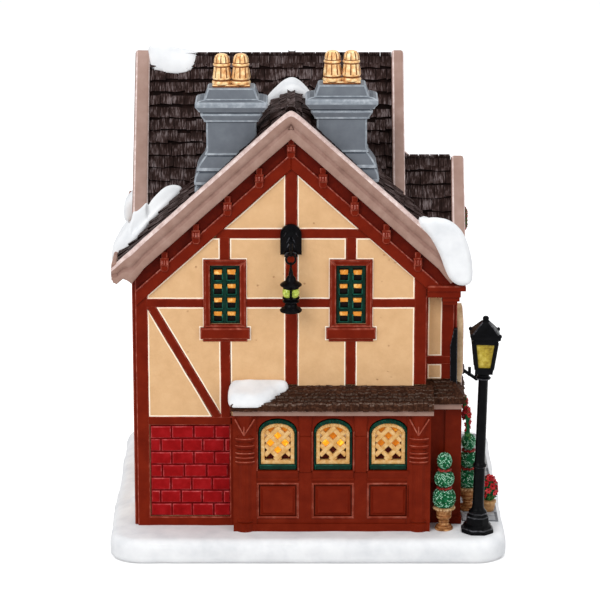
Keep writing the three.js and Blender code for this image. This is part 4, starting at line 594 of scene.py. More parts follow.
# %% Soft studio light
def build_world():
    world = bpy.data.worlds.new("studio")
    world.use_nodes = True
    tree = world.node_tree
    tree.nodes.clear()
    seen = sees_white(tree)
    light = node(tree, "ShaderNodeBackground", Color=(0.50, 0.51, 0.53, 1), Strength=1.0)
    white = node(tree, "ShaderNodeBackground", Color=(1, 1, 1, 1), Strength=1.0)
    pick = node(tree, "ShaderNodeMixShader")
    tree.links.new(seen, pick.inputs[0])
    tree.links.new(light.outputs[0], pick.inputs[1])
    tree.links.new(white.outputs[0], pick.inputs[2])
    out = node(tree, "ShaderNodeOutputWorld")
    tree.links.new(pick.outputs[0], out.inputs[0])
    return world


def softbox(name, spot, target, width, height, watts):
    data = bpy.data.lights.new(name, "AREA")
    data.shape = "RECTANGLE"
    data.size, data.size_y = width, height
    data.energy = watts
    lamp = bpy.data.objects.new(name, data)
    lamp.location = spot
    lamp.rotation_euler = (Vector(target) - Vector(spot)).to_track_quat("-Z", "Y").to_euler()
    bpy.context.scene.collection.objects.link(lamp)
    return lamp


scene = bpy.context.scene
scene.world = build_world()
scene.view_settings.view_transform = "Standard"
middle = (0.0, 0.0, 0.09)
softbox("key light", (-0.75, -1.15, 1.05), middle, 0.9, 0.9, 14.5)
softbox("fill light", (1.05, -1.0, 0.55), middle, 0.8, 0.8, 5)
softbox("top light", (0.1, 0.3, 1.3), middle, 0.9, 0.9, 6.5)

# %% [markdown]
# The floor is a large pale sheet. Seen by camera, gloss or glass it is white, but it is a real surface:
# where the house keeps light from it, it darkens, and that soft contact shadow stays.
# For every other ray it is a little darker, so that it doesn't throw too much light back up.

# %% Floor with a soft shadow
def build_floor():
    material = bpy.data.materials.new("studio_floor")
    material.use_nodes = True
    tree = material.node_tree
    tree.nodes.clear()
    camera_white = node(tree, "ShaderNodeBsdfDiffuse", Color=(1, 1, 1, 1))
    lift = node(tree, "ShaderNodeEmission", Color=(1, 1, 1, 1), Strength=0.32)
    seen = node(tree, "ShaderNodeAddShader")
    tree.links.new(camera_white.outputs[0], seen.inputs[0])
    tree.links.new(lift.outputs[0], seen.inputs[1])
    other = node(tree, "ShaderNodeBsdfDiffuse", Color=(0.7, 0.7, 0.7, 1))
    pick = node(tree, "ShaderNodeMixShader")
    tree.links.new(sees_white(tree), pick.inputs[0])
    tree.links.new(other.outputs[0], pick.inputs[1])
    tree.links.new(seen.outputs[0], pick.inputs[2])
    out = node(tree, "ShaderNodeOutputMaterial")
    tree.links.new(pick.outputs[0], out.inputs[0])
    mesh = bpy.data.meshes.new("studio_floor")
    half = 4.0
    corners = [(u * half, v * half, 0) for u, v in ((-1, -1), (1, -1), (1, 1), (-1, 1))]
    mesh.from_pydata(corners, [], [(0, 1, 2, 3)])
    mesh.materials.append(material)
    floor = bpy.data.objects.new("studio_floor", mesh)
    bpy.context.scene.collection.objects.link(floor)
    return floor


floor = build_floor()
print("floor size in m:", [round(v, 2) for v in floor.dimensions])

# %% [markdown]
# The photograph looks slightly down on the gable end from straight in front, through a long lens.
# A 180 mm lens from 1.2 m away gives the same gentle perspective, and 15 degrees of height
# shows the same depth of the snowy base in front of the shop.

# %% Camera at the photograph's angle
look_at = Vector((-0.0032, -0.0533, 0.1046))
height_angle = math.radians(15)
distance = 1.2
lens = bpy.data.cameras.new("photograph")
lens.lens, lens.sensor_width = 180, 36
lens.clip_start, lens.clip_end = 0.05, 20
camera = bpy.data.objects.new("photograph", lens)
camera.location = look_at + distance * Vector((0, -math.cos(height_angle), math.sin(height_angle)))
camera.rotation_euler = (look_at - camera.location).to_track_quat("-Z", "Y").to_euler()
scene.collection.objects.link(camera)
scene.camera = camera
print("camera at", [round(v, 4) for v in camera.location])

# %% [markdown]
# The base is a slab of cast snow with soft, uneven sides. The CAD slab keeps its underside,
# where the battery box goes in, and a skin of modelled snow lies over its top and sides.
# The skin is a set of rings round the slab's outline, each a little further in and up.
# Noise moves them, more on the narrow banks beside the walls than on the smooth front apron.

# %% Snow over the base
BASE_LOW, BASE_HIGH = (-80.0, -20.7), (80.0, 127.3)


BASE_CORNER = 13.0


def base_outline(inset_by, steps_per_corner=10, spacing=2.2):
    """Points round the base's rounded rectangle, moved inwards, as (x, g)."""
    corner = max(BASE_CORNER - inset_by, 1.5)
    x0, g0 = BASE_LOW[0] + inset_by + corner, BASE_LOW[1] + inset_by + corner
    x1, g1 = BASE_HIGH[0] - inset_by - corner, BASE_HIGH[1] - inset_by - corner
    counts = [int((BASE_HIGH[i] - BASE_LOW[i] - 2 * BASE_CORNER) / spacing) for i in (0, 1)]
    centres = [(x1, g0, -90), (x1, g1, 0), (x0, g1, 90), (x0, g0, 180)]
    ring = []
    for index, (cx, cg, start) in enumerate(centres):
        for step in range(steps_per_corner + 1):
            angle = math.radians(start + 90 * step / steps_per_corner)
            ring.append((cx + corner * math.cos(angle), cg + corner * math.sin(angle)))
        nx, ng, turned = centres[(index + 1) % 4]
        begin, angle = Vector(ring[-1]), math.radians(turned)
        end = Vector((nx + corner * math.cos(angle), ng + corner * math.sin(angle)))
        count = counts[1 - index % 2]
        ring += [tuple(begin.lerp(end, step / count)) for step in range(1, count)]
    return ring


def drift_height(x, g):
    """How much the snow rises above the slab at a spot."""
    soft = wander(x / 17, g / 17, 3.1) * 0.5 + wander(x / 7, g / 7, 9.4) * 0.25
    bank = max(0.0, 1 - max(0.0, LEFT_WALL - 1.5 - x) / 9) if x < LEFT_WALL + 3 else 0.0
    bank = max(bank, max(0.0, 1 - max(0.0, g - HOUSE_LENGTH - 1.5) / 9) if g > HOUSE_LENGTH - 3 else 0.0)
    lumps = wander(x / 5.5, g / 8.5, 1.7) + 0.5 * wander(x / 3, g / 3, 5.2)
    rise = 0.35 + soft * 0.5 + bank * clamp((g - 2) / 14) * (2.6 + 1.8 * lumps)
    on_paving = 57.0 < x < 79.0 and 3.0 < g < 122.0
    return clamp(rise, 0.12, 0.15 if on_paving else math.inf)


def build_base_snow():
    shape = Shape()
    levels = [(0.5, 0.5), (-0.15, 1.2), (-0.3, 2.6), (-0.35, 4.2), (-0.25, 5.8), (0.1, 7.2), (0.8, 8.4),
              (1.9, 9.25), (3.4, 9.6), (5.4, 9.6), (7.6, 9.6), (10, 9.6), (12.6, 9.6), (15.5, 9.6),
              (18.5, 9.6), (21.5, 9.6), (25, 9.6)]
    rings = []
    for inset_by, z in levels:
        ring = []
        for x, g in base_outline(max(0.0, inset_by)):
            out = Vector((x, g + GABLE_FACE)).normalized()
            wave = wander(x / 15, g / 15, z / 6) + 0.5 * wander(x / 5, g / 5, z / 3)
            rough = 0.45 if g < 6 else 0.9
            if z < 9.3:
                push = wave * rough * min(1.0, z / 2.4) * (1.0 if inset_by < 1 else 0.5)
                push += max(0.0, -inset_by)
                x, g = x + out.x * push, g + out.y * push
                lift = max(0.0, (z - 5) / 4.6) * drift_height(x, g) if z > 5 else 0.0
                foot = 0.25 * abs(wander(x / 6, g / 6, 0)) if z < 1 else 0.0
                ring.append((x, g, z + lift + foot))
            else:
                ring.append((x, g, 9.5 + drift_height(x, g)))
        rings.append(ring)
    loft(shape, rings, ends="open")
    return finished("snow skin of the base", shape, [snow], smooth=180, weld=True)


build_base_snow()
dressed("snow_base", snow)

# %% [markdown]
# Along the street side runs a narrow pavement of grey cast stones, laid in uneven rows.
# Each stone is a low block of its own with softened edges, on the CAD strip as its bed.

# %% Paving stones
def build_paving():
    shape = Shape()
    low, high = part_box("street_paving")
    x0, x1 = low.x / MM, high.x / MM
    g0, g1 = low.y / MM - GABLE_FACE, high.y / MM - GABLE_FACE
    beside_shop, shop_end = 63.2, g0 + 9.5
    box(shape, x0, x1, shop_end, g1, 9.62, 10.25, 1, edge=0.2)
    box(shape, beside_shop, x1, g0, shop_end + 0.1, 9.62, 10.25, 1, edge=0.2)
    g, rows = g0, 0
    while g < g1 - 1:
        depth = min(random.uniform(4.2, 6.0), g1 - g)
        start = x0 if g > shop_end else beside_shop
        x = start - random.uniform(0, 2.5)
        while x < x1 - 0.6:
            width = random.uniform(3.6, 6.6)
            a, b = max(x, start), min(x + width - 0.45, x1)
            if b - a > 0.9:
                top = 10.5 + random.uniform(-0.12, 0.12)
                box(shape, a, b, g + 0.2, g + depth - 0.2, 10.0, top, 0, edge=0.3)
            x += width
        g += depth
        rows += 1
    bed = paint("paving bed", (84, 86, 90), (108, 110, 114), (130, 132, 136), size=3, rough=0.8)
    print("rows of stones:", rows)
    return finished("paving stones", shape, [paving, bed], "street_paving", weld=True)


build_paving()

# %% [markdown]
# The walls are one hollow casting. Its plaster shows in panels between the timbers.
# On the real house each panel stands a little proud with a rounded edge, which reads as a thin
# light line round every field. So each panel is a slab of plaster whose chamfer and lip carry a
# painted highlight. Their outlines are named by corner points in the plane of the gable.

# %% Plaster panels of the gable end
dressed("house_shell", plaster)

gable_panels = [
    [(-33.6, 134.0), (-9.0, 134.0), (-9.0, 156.2)],
    [(-4.2, 134.0), (20.2, 134.0), (-4.2, 156.2)],
    [(-41.5, 105.3), (-41.5, 121.6), (-35.1, 121.6), (-35.1, 130.3), (-38.0, 130.3),
     (-64.2, 106.7), (-64.2, 105.3)],
    [(-31.1, 121.6), (-24.9, 121.6), (-24.9, 105.3), (-9.0, 105.3), (-9.0, 130.3), (-31.1, 130.3)],
    [(-4.2, 105.3), (8.9, 105.3), (8.9, 121.6), (15.1, 121.6), (15.1, 130.3), (-4.2, 130.3)],
    [(19.1, 121.6), (25.5, 121.6), (25.5, 105.3), (42.6, 105.3), (42.6, 114.4), (24.9, 130.3), (19.1, 130.3)],
    [(-60.7, 101.9), (-41.5, 101.9), (-41.5, 93.5), (-43.0, 93.5), (-43.0, 88.8), (-35.1, 88.8),
     (-35.1, 57.2)],
    [(-64.2, 101.0), (-64.2, 56.1), (-38.7, 56.1)],
    [(-24.9, 101.9), (-24.9, 93.5), (-23.4, 93.5), (-23.4, 88.8), (-31.1, 88.8), (-31.1, 68.3),
     (-9.0, 68.3), (-9.0, 101.9)],
    [(-4.2, 101.9), (-4.2, 68.3), (15.1, 68.3), (15.1, 88.8), (7.4, 88.8), (7.4, 93.5),
     (8.9, 93.5), (8.9, 101.9)],
    [(19.1, 88.8), (19.1, 68.3), (42.6, 68.3), (42.6, 101.9), (25.5, 101.9), (25.5, 93.5),
     (27.0, 93.5), (27.0, 88.8)],
]
notch_panels = [rectangle(48.4, 54.1, 79.4, 105.0), rectangle(48.4, 54.1, 69.8, 76.0)]


def wavy(outline, reach=0.16, spacing=5.0):
    """The outline with extra points that wander a little, as a hand-carved edge does."""
    points = []
    for (u0, v0), (u1, v1) in sides_of(outline):
        count = max(1, int(math.hypot(u1 - u0, v1 - v0) / spacing))
        for step in range(count):
            u, v = u0 + (u1 - u0) * step / count, v0 + (v1 - v0) * step / count
            if step:
                u += wander(u / 6, v / 6, 2.2) * reach
                v += wander(u / 6, v / 6, 7.7) * reach
            points.append((u, v))
    return points


def edged_panel(shape, outline, wall=0.0):
    """A panel with a raised lip along its edge, facing the same way as the panel; lip and chamfer carry a painted
    highlight.
    """
    edge_line = wavy(inset(outline, 0.08))
    slab(shape, edge_line, wall - 0.4, wall + 1.0, edge=0.3, edge_paint=1)
    mitred(shape, edge_line, inset(edge_line, 0.5), wall + 0.8, wall + 1.12, front, 1, 0.02)


def plain_panel(shape, outline, plane):
    slab(shape, wavy(outline), -0.4, 0.62, plane, 0, 0.5, 1)


panels = Shape()
for outline in gable_panels:
    edged_panel(panels, outline)
for outline in notch_panels:
    edged_panel(panels, outline, -NOTCH)
finished("gable plaster panels", panels, [plaster, plaster_highlight], smooth=25)

# %% [markdown]
# The other sides have the same timber frame, with plain fields between the posts.
# A helper cuts one field from a wall: it takes the outline of the wall between two posts and
# two rails, and makes the same proud panel, with a painted highlight on its edge. The sides that the photograph
# doesn't show follow the same rhythm as the front.

# %% Plaster panels of the other sides
POST, RAIL, STUD = 5.0, 3.6, 4.0
MID_RAIL, LOW_RAIL, SILL = 103.6, 54.4, 94.7
WINDOW_HALF, WINDOW_HEIGHT = 6.0, 24.4
WINDOWS, SHOP_TOP = (-33.2, 17.2), 69.6
WING_RIDGE_X, WING_RIDGE_Z = -6.7, 183.6
CROSS_RIDGE_G, CROSS_RIDGE_Z = 58.0, 193.2
BAY_RIDGE_G, BAY_RIDGE_Z = 33.0, 155.6
WING_SLOPE, STEEP_SLOPE = math.tan(math.radians(42)), math.tan(math.radians(57))


def wing_line(x):
    return WING_RIDGE_Z - abs(x - WING_RIDGE_X) * WING_SLOPE


def cross_line(g):
    return CROSS_RIDGE_Z - abs(g - CROSS_RIDGE_G) * STEEP_SLOPE


def bay_line(g):
    return BAY_RIDGE_Z - abs(g - BAY_RIDGE_G) * STEEP_SLOPE


def split_by_stud(fields, at, half, v0):
    """Fields, as rectangles, with a strip for a stud taken out of those it stands in."""
    kept = []
    for a0, a1, b0, b1 in fields:
        if a0 < at < a1 and b1 > v0:
            kept += [(a0, at - half, b0, b1), (at + half, a1, b0, b1)]
        else:
            kept.append((a0, a1, b0, b1))
    return kept


def beside_window(field, u0, u1, v0, v1):
    """The outlines left of a field where a window with its casing and sill stands in it."""
    a0, a1, b0, b1 = field
    if u1 <= a0 or u0 >= a1 or v1 <= b0 or v0 >= b1:
        return [rectangle(a0, a1, b0, b1)]
    if v0 <= b0 and v1 >= b1:
        return [rectangle(p, q, b0, b1) for p, q in ((a0, u0), (u1, a1)) if q - p > 0.8]
    cut, solid, open_end = (v0, b0, b1) if v1 >= b1 else (v1, b1, b0)
    right, left = [(a1, solid), (a1, cut)], [(a0, cut), (a0, solid)]
    if u1 < a1 - 0.8:
        right = [(a1, solid), (a1, open_end), (u1, open_end), (u1, cut)]
    if u0 > a0 + 0.8:
        left = [(u0, cut), (u0, open_end), (a0, open_end), (a0, solid)]
    return [right + left if v1 >= b1 else (right + left)[::-1]]


def side_posts(low, high):
    return [low + (high - low - POST) * i / 5 for i in range(6)]


def side_fields(centre, low, high, floor, eave):
    posts = side_posts(low, high)
    bands = [(floor + 4, MID_RAIL - RAIL / 2), (MID_RAIL + RAIL / 2, eave - RAIL)]
    if floor < LOW_RAIL:
        bands = [(floor + 4, LOW_RAIL - 1.8), (LOW_RAIL + 1.8, MID_RAIL - RAIL / 2), bands[1]]
    fields = [
        (a + POST + 0.2, b - 0.2, v0 + 0.2, v1 - 0.2)
        for a, b in zip(posts, posts[1:]) for v0, v1 in bands
    ]
    head = SILL + WINDOW_HEIGHT + 2.4
    fields = split_by_stud(fields, centre, 2.2, head)
    return [
        outline for field in fields
        for outline in beside_window(field, centre - 10.2, centre + 10.2, SILL - 7.2, head + 0.2)
    ]


ROOF_THICKNESS = 3.4
STEEP_DROP = ROOF_THICKNESS / math.cos(math.radians(57))
YARD_EAVE = wing_line(LEFT_WALL) - ROOF_THICKNESS / math.cos(math.radians(42)) - 3.9
STREET_EAVE = bay_line(11) - STEEP_DROP - 2.8
side_panels = Shape()
for outline in side_fields(CROSS_RIDGE_G, 0.1, HOUSE_LENGTH - 0.1, GROUND, YARD_EAVE):
    plain_panel(side_panels, outline, yard)
for outline in side_fields(BAY_RIDGE_G, NOTCH + 0.1, HOUSE_LENGTH - 0.1, SHOP_TOP, STREET_EAVE):
    behind_the_sign = min(v for u, v in outline) < SHOP_TOP + 4.3 and min(u for u, v in outline) < 34
    if not behind_the_sign:
        plain_panel(side_panels, outline, street)
for u0, u1 in ((-64, -35.3), (-31.1, -9.2), (-4.2, 15.1), (19.3, 53.8)):
    window = WINDOWS[0] if u0 < WING_RIDGE_X else WINDOWS[1]
    for v0, v1 in ((GROUND + 4.2, LOW_RAIL - 2), (LOW_RAIL + 2, MID_RAIL - 2)):
        for outline in beside_window((u0, u1, v0, v1), window - 10.2, window + 10.2, SILL - 7.2, 121.8):
            plain_panel(side_panels, outline, far)
for outline in gable_panels[:6]:
    plain_panel(side_panels, outline, far)


def side_gable_fields(centre, line, eave, drop):
    """The two triangles and two upper fields in a coped side gable."""
    collar = (line(centre) + eave) / 2
    fields = []

    def foot(side, height):
        return centre + side * (line(centre) - drop - 8.4 - height) / STEEP_SLOPE

    for side in (-1, 1):
        near = centre + side * (STUD / 2 + 0.3)
        fields.append([
            (near, collar + 2.2), (foot(side, collar + 2.4), collar + 2.2), (near, line(near) - drop - 8.2)])
        fields.append([
            (near, eave + 0.3), (foot(side, eave + 0.4), eave + 0.3),
            (foot(side, collar - 2.4), collar - 2.3), (near, collar - 2.3)])
    return fields


for outline in side_gable_fields(CROSS_RIDGE_G, cross_line, YARD_EAVE, STEEP_DROP):
    plain_panel(side_panels, outline, yard)
for outline in side_gable_fields(BAY_RIDGE_G, bay_line, STREET_EAVE, STEEP_DROP + 2.5):
    plain_panel(side_panels, outline, street)
finished("plaster panels of the other sides", side_panels, [plaster, plaster_highlight], smooth=25)

# %% [markdown]
# The timber frame was carved into the mould and painted dark red, so its beams are not quite
# straight and their edges are worn. Each beam is a slab with a wandering outline, and its
# chamfer carries a painted highlight. Under the eaves the barge carries a deeper board with a thin
# bead along it and a row of small corbels; on the photo those catch pink lights, which are painted
# on them as highlights, and the board above the bead is painted darker as shade.

# %% Beams of the gable end
CASING_REACH = 8.2


def carved(shape, outline, out, plane=front, back=0.02):
    slab(shape, wavy(outline, 0.1, 7.0), back, out, plane, 0, 0.4, 1)


def gable_beams(shape, plane, right, lower_right, low_beam_right):
    for u0, u1, foot in ((LEFT_WALL, LEFT_WALL + POST, GROUND), (right - POST, right, lower_right)):
        carved(shape, [(u0, foot), (u1, foot), (u1, wing_line(u1) - 12), (u0, wing_line(u0) - 12)], 1.35, plane)
    carved(shape, rectangle(-9.1, -4.3, lower_right, 159.2), 1.4, plane)
    carved(shape, rectangle(-36.5, 25.2, 130.2, 134.2), 1.3, plane)
    ends = [LEFT_WALL + 1] + [x + side * CASING_REACH for x in WINDOWS for side in (-1, 1)] + [right - 1]
    for u0, u1 in zip(ends[::2], ends[1::2]):
        carved(shape, rectangle(u0, u1, MID_RAIL - RAIL / 2, MID_RAIL + RAIL / 2), 1.25, plane)
    for x in WINDOWS:
        low = LOW_RAIL if x < WING_RIDGE_X else lower_right
        carved(shape, rectangle(x - 2, x + 2, 120.4, 131), 1.2, plane)
        carved(shape, rectangle(x - 2, x + 2, low, 90), 1.2, plane)
    low_rail_end = LEFT_WALL + (WING_RIDGE_X - LEFT_WALL) * 0.62
    carved(shape, rectangle(LEFT_WALL + 1, low_rail_end, LOW_RAIL - 1.8, LOW_RAIL + 1.8), 1.3, plane)
    carved(shape, rectangle(LEFT_WALL, low_beam_right, GROUND, 13.5), 1.3, plane)
    carved(shape, beam(LEFT_WALL + POST + 1, MID_RAIL - 1, -36.2, LOW_RAIL + 1, 3.3), 1.15, plane)


def rake_band(shape, plane, x0, x1, low, high, out, *paints):
    """A board that follows the wing roof's slope, between two vertical drops below its line."""
    corners = ((x0, low), (x1, low), (x1, high), (x0, high))
    slab(shape, [(x, wing_line(x) - drop) for x, drop in corners], 0.05, out, plane, *paints)


def rake_boards(shape, plane, left, right):
    for x0, x1 in ((left, WING_RIDGE_X + 0.02), (WING_RIDGE_X - 0.02, right)):
        rake_band(shape, plane, x0, x1, 12.7, 19.0, 1.9, 2, 0.25, 2)
        rake_band(shape, plane, x0, x1, 18.7, 25.0, 2.5, 0, 0.3, 0)
        rake_band(shape, plane, x0, x1, 18.55, 19.15, 2.95, 1, 0.15, 3)


def corbel(shape, plane, x, apex=False):
    """A small bracket under the barge: a cap, a ribbed block and a rounded foot."""
    top = wing_line(x) - 12.9 - (0.3 if apex else 1.0)
    for offset, half in ((-1.05, 0.31), (0.0, 0.25), (1.05, 0.31)):
        rib = rectangle(x + offset - half, x + offset + half, top - 4.1, top - 2.4)
        slab(shape, rib, 1.6, 4.4, plane, 1, 0.2, 3)
    slab(shape, rectangle(x - 1.7, x + 1.7, top - 4.7, top - 1.5), 0.5, 4.1, plane, 0, 0.4, 1)
    slab(shape, rectangle(x - 1.2, x + 1.2, top - 1.8, top + 0.9), 0.5, 3.7, plane, 0, 0.45, 1)
    left = [(-1.6, -4.5), (-1.6, -6.3), (-0.9, -7.3)]
    foot = [(x + u, top + v) for u, v in left] + [(x - u, top + v) for u, v in left[::-1]]
    slab(shape, foot, 0.5, 3.4, plane, 0, 0.5, 1)


def corbels(shape, plane):
    corbel(shape, plane, WING_RIDGE_X, apex=True)
    for step in range(1, 5):
        for side in (-1, 1):
            corbel(shape, plane, WING_RIDGE_X + side * 12.6 * step)


print("beam helpers ready; rafter foot at z", round(wing_line(LEFT_WALL) - 25, 1))

# %% [markdown]
# A window has a raised casing with a rounded outer edge, a step inside it, and a deep sill.
# It is built from mitred boards, like a picture frame: each board's outline has its ends cut
# at 45 degrees, so the chamfers meet at the corners the way a moulding does.

# %% Window casings
def casing(shape, centre, plane):
    half, low, high, wide = WINDOW_HALF, SILL, SILL + WINDOW_HEIGHT, 2.55
    outer = rectangle(centre - half - wide, centre + half + wide, low - 1.2, high + wide)
    mitred(shape, outer, rectangle(centre - half, centre + half, low, high), -0.2, 1.7, plane, 0, 0.5, 1)
    mitred(shape, outer, inset(outer, 0.95), -0.2, 2.1, plane, 0, 0.4, 1)
    slab(shape, rectangle(centre - 9.9, centre + 9.9, low - 5.8, low - 1.2), 0.0, 2.7, plane, 0, 0.6, 1)
    slab(shape, rectangle(centre - 8.9, centre + 8.9, low - 7.0, low - 5.6), 0.0, 1.7, plane, 0, 0.4, 1)


gable_frame = Shape()
gable_beams(gable_frame, front, GABLE_RIGHT, SHOP_TOP, -31.0)
rake_boards(gable_frame, front, LEFT_WALL + 0.4, GABLE_RIGHT + 4.4)
corbels(gable_frame, front)
for foot, drop, out, paint_slot in ((60.0, 12.7, 1.9, 2), (54.2, 18.7, 2.5, 0)):
    corner = [(51.4, 111.0), (foot, 111.0), (51.4, wing_line(51.4) - drop)]
    slab(gable_frame, corner, 0.05, out, front, paint_slot, 0.25, paint_slot)
for window in WINDOWS:
    casing(gable_frame, window, front)
carved(gable_frame, rectangle(-31.6, -29.8, GROUND, 56.0), 1.3)
for x0, x1, g0, z0, z1, edge in (
    (47.65, 63.0, -3.4, 109.0, 111.2, 0.6), (47.65, 61.0, -2.6, 106.3, 109.2, 0.5),
    (53.8, 60.6, -1.8, 104.4, 106.6, 0.6), (53.8, 59.6, -0.6, 102.8, 104.7, 0.5),
):
    box(gable_frame, x0, x1, g0, 7.8, z0, z1, 0, edge, 1)
for outline, back, out in (
    (rectangle(53.9, 58.9, SHOP_TOP, 106.0), 0.1, 1.4), (rectangle(47.6, 58.8, 75.9, 79.5), 0.15, 1.6),
    (rectangle(47.6, 48.6, SHOP_TOP, 106.0), 0.1, 1.3),
):
    carved(gable_frame, outline, out - NOTCH, front, back - NOTCH)
timber_paints = [timber, timber_highlight, timber_shade, corbel_highlight]
finished("carved timbers of the gable end", gable_frame, timber_paints, "gable_end_timbers")

# %% Beams of the other three sides
far_frame = Shape()
gable_beams(far_frame, far, RIGHT_WALL, GROUND, RIGHT_WALL)
carved(far_frame, rectangle(LEFT_WALL + 1, RIGHT_WALL - 1, LOW_RAIL - 1.9, LOW_RAIL + 1.9), 1.1, far)
carved(far_frame, rectangle(-35.5, -30.9, GROUND, LOW_RAIL), 1.25, far)
rake_boards(far_frame, far, LEFT_WALL + 0.4, RIGHT_WALL - 0.6)
corbels(far_frame, far)
for window in WINDOWS:
    casing(far_frame, window, far)
finished("carved timbers of the far end", far_frame, timber_paints, "far_end_timbers")


def rafters(shape, plane, centre, reach, line, gap):
    """Two boards that meet under the point of a steep gable."""
    for side in (-1, 1):
        foot = centre + side * reach
        corners = ((foot, gap + 7.6), (centre, gap + 7.6), (centre, gap), (foot, gap))
        slab(shape, [(u, line(u) - drop) for u, drop in corners], 0.02, 1.35, plane, 0, 0.4, 1)


def side_beams(shape, plane, centre, half_span, line, drop, floor, eave, low):
    high = HOUSE_LENGTH - 0.1
    carved(shape, rectangle(low, high, floor, floor + 4), 1.25, plane)
    for v0, v1 in ((eave - RAIL, eave), (MID_RAIL - RAIL / 2, MID_RAIL + RAIL / 2)):
        for u0, u1 in ((low, centre - CASING_REACH), (centre + CASING_REACH, high)):
            carved(shape, rectangle(u0, u1, v0, v1), 1.25, plane)
    if floor < LOW_RAIL:
        carved(shape, rectangle(low, high, LOW_RAIL - 1.8, LOW_RAIL + 1.8), 1.25, plane)
    for at in side_posts(low, high):
        beside = at + POST < centre - 8 or at > centre + 8
        carved(shape, rectangle(at, at + POST, floor, eave if beside else SILL - 6.8), 1.35, plane)
    gap = drop + 1.2
    rafters(shape, plane, centre, half_span - 1, line, gap)
    collar = (line(centre) + eave) / 2
    reach = (line(centre) - gap - collar) / STEEP_SLOPE - 1
    for half, v0, v1, out in (
        (STUD / 2, eave - 1, line(centre) - gap - 4, 1.25), (reach, collar - 2, collar + 2, 1.2),
        (STUD / 2, 120.5, eave, 1.2),
    ):
        carved(shape, rectangle(centre - half, centre + half, v0, v1), out, plane)
    casing(shape, centre, plane)


for side, plane, shape_of in (
    ("yard", yard, (CROSS_RIDGE_G, 42, cross_line, STEEP_DROP, GROUND, YARD_EAVE, 0.1)),
    ("street", street, (BAY_RIDGE_G, 22, bay_line, STEEP_DROP + 2.5, SHOP_TOP, STREET_EAVE, NOTCH + 0.1)),
):
    side_frame = Shape()
    side_beams(side_frame, plane, *shape_of)
    title, node_name = f"carved timbers of the {side} side", f"{side}_side_timbers"
    finished(title, side_frame, timber_paints, node_name)

# %% Beams of the lower street wall and of the high gable on that side
RIGHT_GABLE_X = 37.6


def high_gable(u, v, out):
    return (RIGHT_GABLE_X + out, u, v)


lower_frame = Shape()
BEHIND_DOOR = 40.5
lower_posts = [BEHIND_DOOR + (HOUSE_LENGTH - 0.1 - POST - BEHIND_DOOR) * i / 4 for i in range(5)]
for at in [NOTCH + 0.1] + lower_posts:
    carved(lower_frame, rectangle(at, at + POST, GROUND, SHOP_TOP + 0.2), 1.35, street)
for low, high in ((GROUND, 13.5), (LOW_RAIL - 1.8, LOW_RAIL + 1.8)):
    carved(lower_frame, rectangle(BEHIND_DOOR, HOUSE_LENGTH - 0.2, low, high), 1.2, street)
rafters(lower_frame, high_gable, CROSS_RIDGE_G, 23, cross_line, STEEP_DROP + 1.2)
carved(lower_frame, rectangle(CROSS_RIDGE_G - 2, CROSS_RIDGE_G + 2, 143.0, 182.0), 1.25, high_gable)
carved(lower_frame, rectangle(CROSS_RIDGE_G - 11.5, CROSS_RIDGE_G + 11.5, 160.2, 164.2), 1.2, high_gable)
finished("street wall timbers below", lower_frame, timber_paints)

lower_panels = Shape()
for a, b in zip(lower_posts, lower_posts[1:]):
    for low, high in ((13.7, LOW_RAIL - 2.0), (LOW_RAIL + 2.0, 69.4)):
        plain_panel(lower_panels, rectangle(a + POST + 0.2, b - 0.2, low, high), street)
finished("street wall plaster below", lower_panels, [plaster, plaster_highlight], smooth=25)

# %% [markdown]
# The roofs are the darkest part of the house, and their texture is what the eye reads first:
# rows of small, uneven shingles with ragged lower edges. The CAD roofs keep their bodies, and
# a bed of single shingles is laid over each slope. Every shingle is a thin wedge: its head is
# tucked under the next row and its butt stands up. Width, lift and butt line all vary a little.

# %% Lay shingles on a slope
for name in ("front_wing_roof", "far_wing_roof", "cross_roof", "bay_roof"):
    dressed(name, roof_base)


def lay_shingles(shape, ridge, across, down, length, span, shown, course=5.6, width=(3.4, 5.4), settle=None):
    """ridge is the start of the ridge, across runs along it and down runs down the slope."""
    ridge, across, down = Vector(ridge), Vector(across), Vector(down)
    up = across.cross(down)
    up = up if up.z > 0 else -up
    rows = max(1, round(length / course))
    step = length / rows
    laid = 0
    for row in range(rows):
        low = length - row * step
        high = low - step * 1.3
        at = -random.uniform(0, width[0])
        while at < span:
            wide = random.uniform(*width)
            a, b = max(at, 0.05), min(at + wide - 0.22, span - 0.05)
            at += wide
            if b - a < 0.9:
                continue
            butt = low + random.uniform(-0.55, 0.35)
            skew = random.uniform(-0.4, 0.4)
            centre = ridge + across * ((a + b) / 2) + down * (low - step / 2)
            if not shown(centre.x, centre.y, centre.z):
                continue
            lift = 0.55 + random.uniform(-0.1, 0.45)
            lift *= settle(centre.y) if settle else 1
            corners = [
                ridge + across * a + down * (butt + skew) + up * lift,
                ridge + across * b + down * (butt - skew) + up * (lift + random.uniform(-0.12, 0.12)),
                ridge + across * b + down * high - up * 0.5,
                ridge + across * a + down * high - up * 0.5,
            ]
            feet = [corners[0] - up * 1.2, corners[1] - up * 1.2]
            streaks = [(a, butt), (b, butt), (b, high), (a, high)]
            shape.put(corners, [[0, 1, 2, 3]], 0, [streaks])
            shape.put([corners[0], corners[1], feet[1], feet[0]], [[0, 1, 2, 3]], 1)
            shape.put([corners[0], feet[0], corners[3]], [[0, 1, 2]], 1)
            shape.put([corners[1], corners[2], feet[1]], [[0, 1, 2]], 1)
            laid += 1
    return laid


def on_wing(x, g, z):
    if -64.9 < x < 39.2 and cross_line(g) > z + 0.6:
        return False
    if x < -64.9 and 32.6 < g < 100.4:
        return False
    return not (39.2 <= x < 63 and bay_line(g) > z + 0.6)


def above_wing(x, g, z):
    return z > wing_line(x) - 1.5


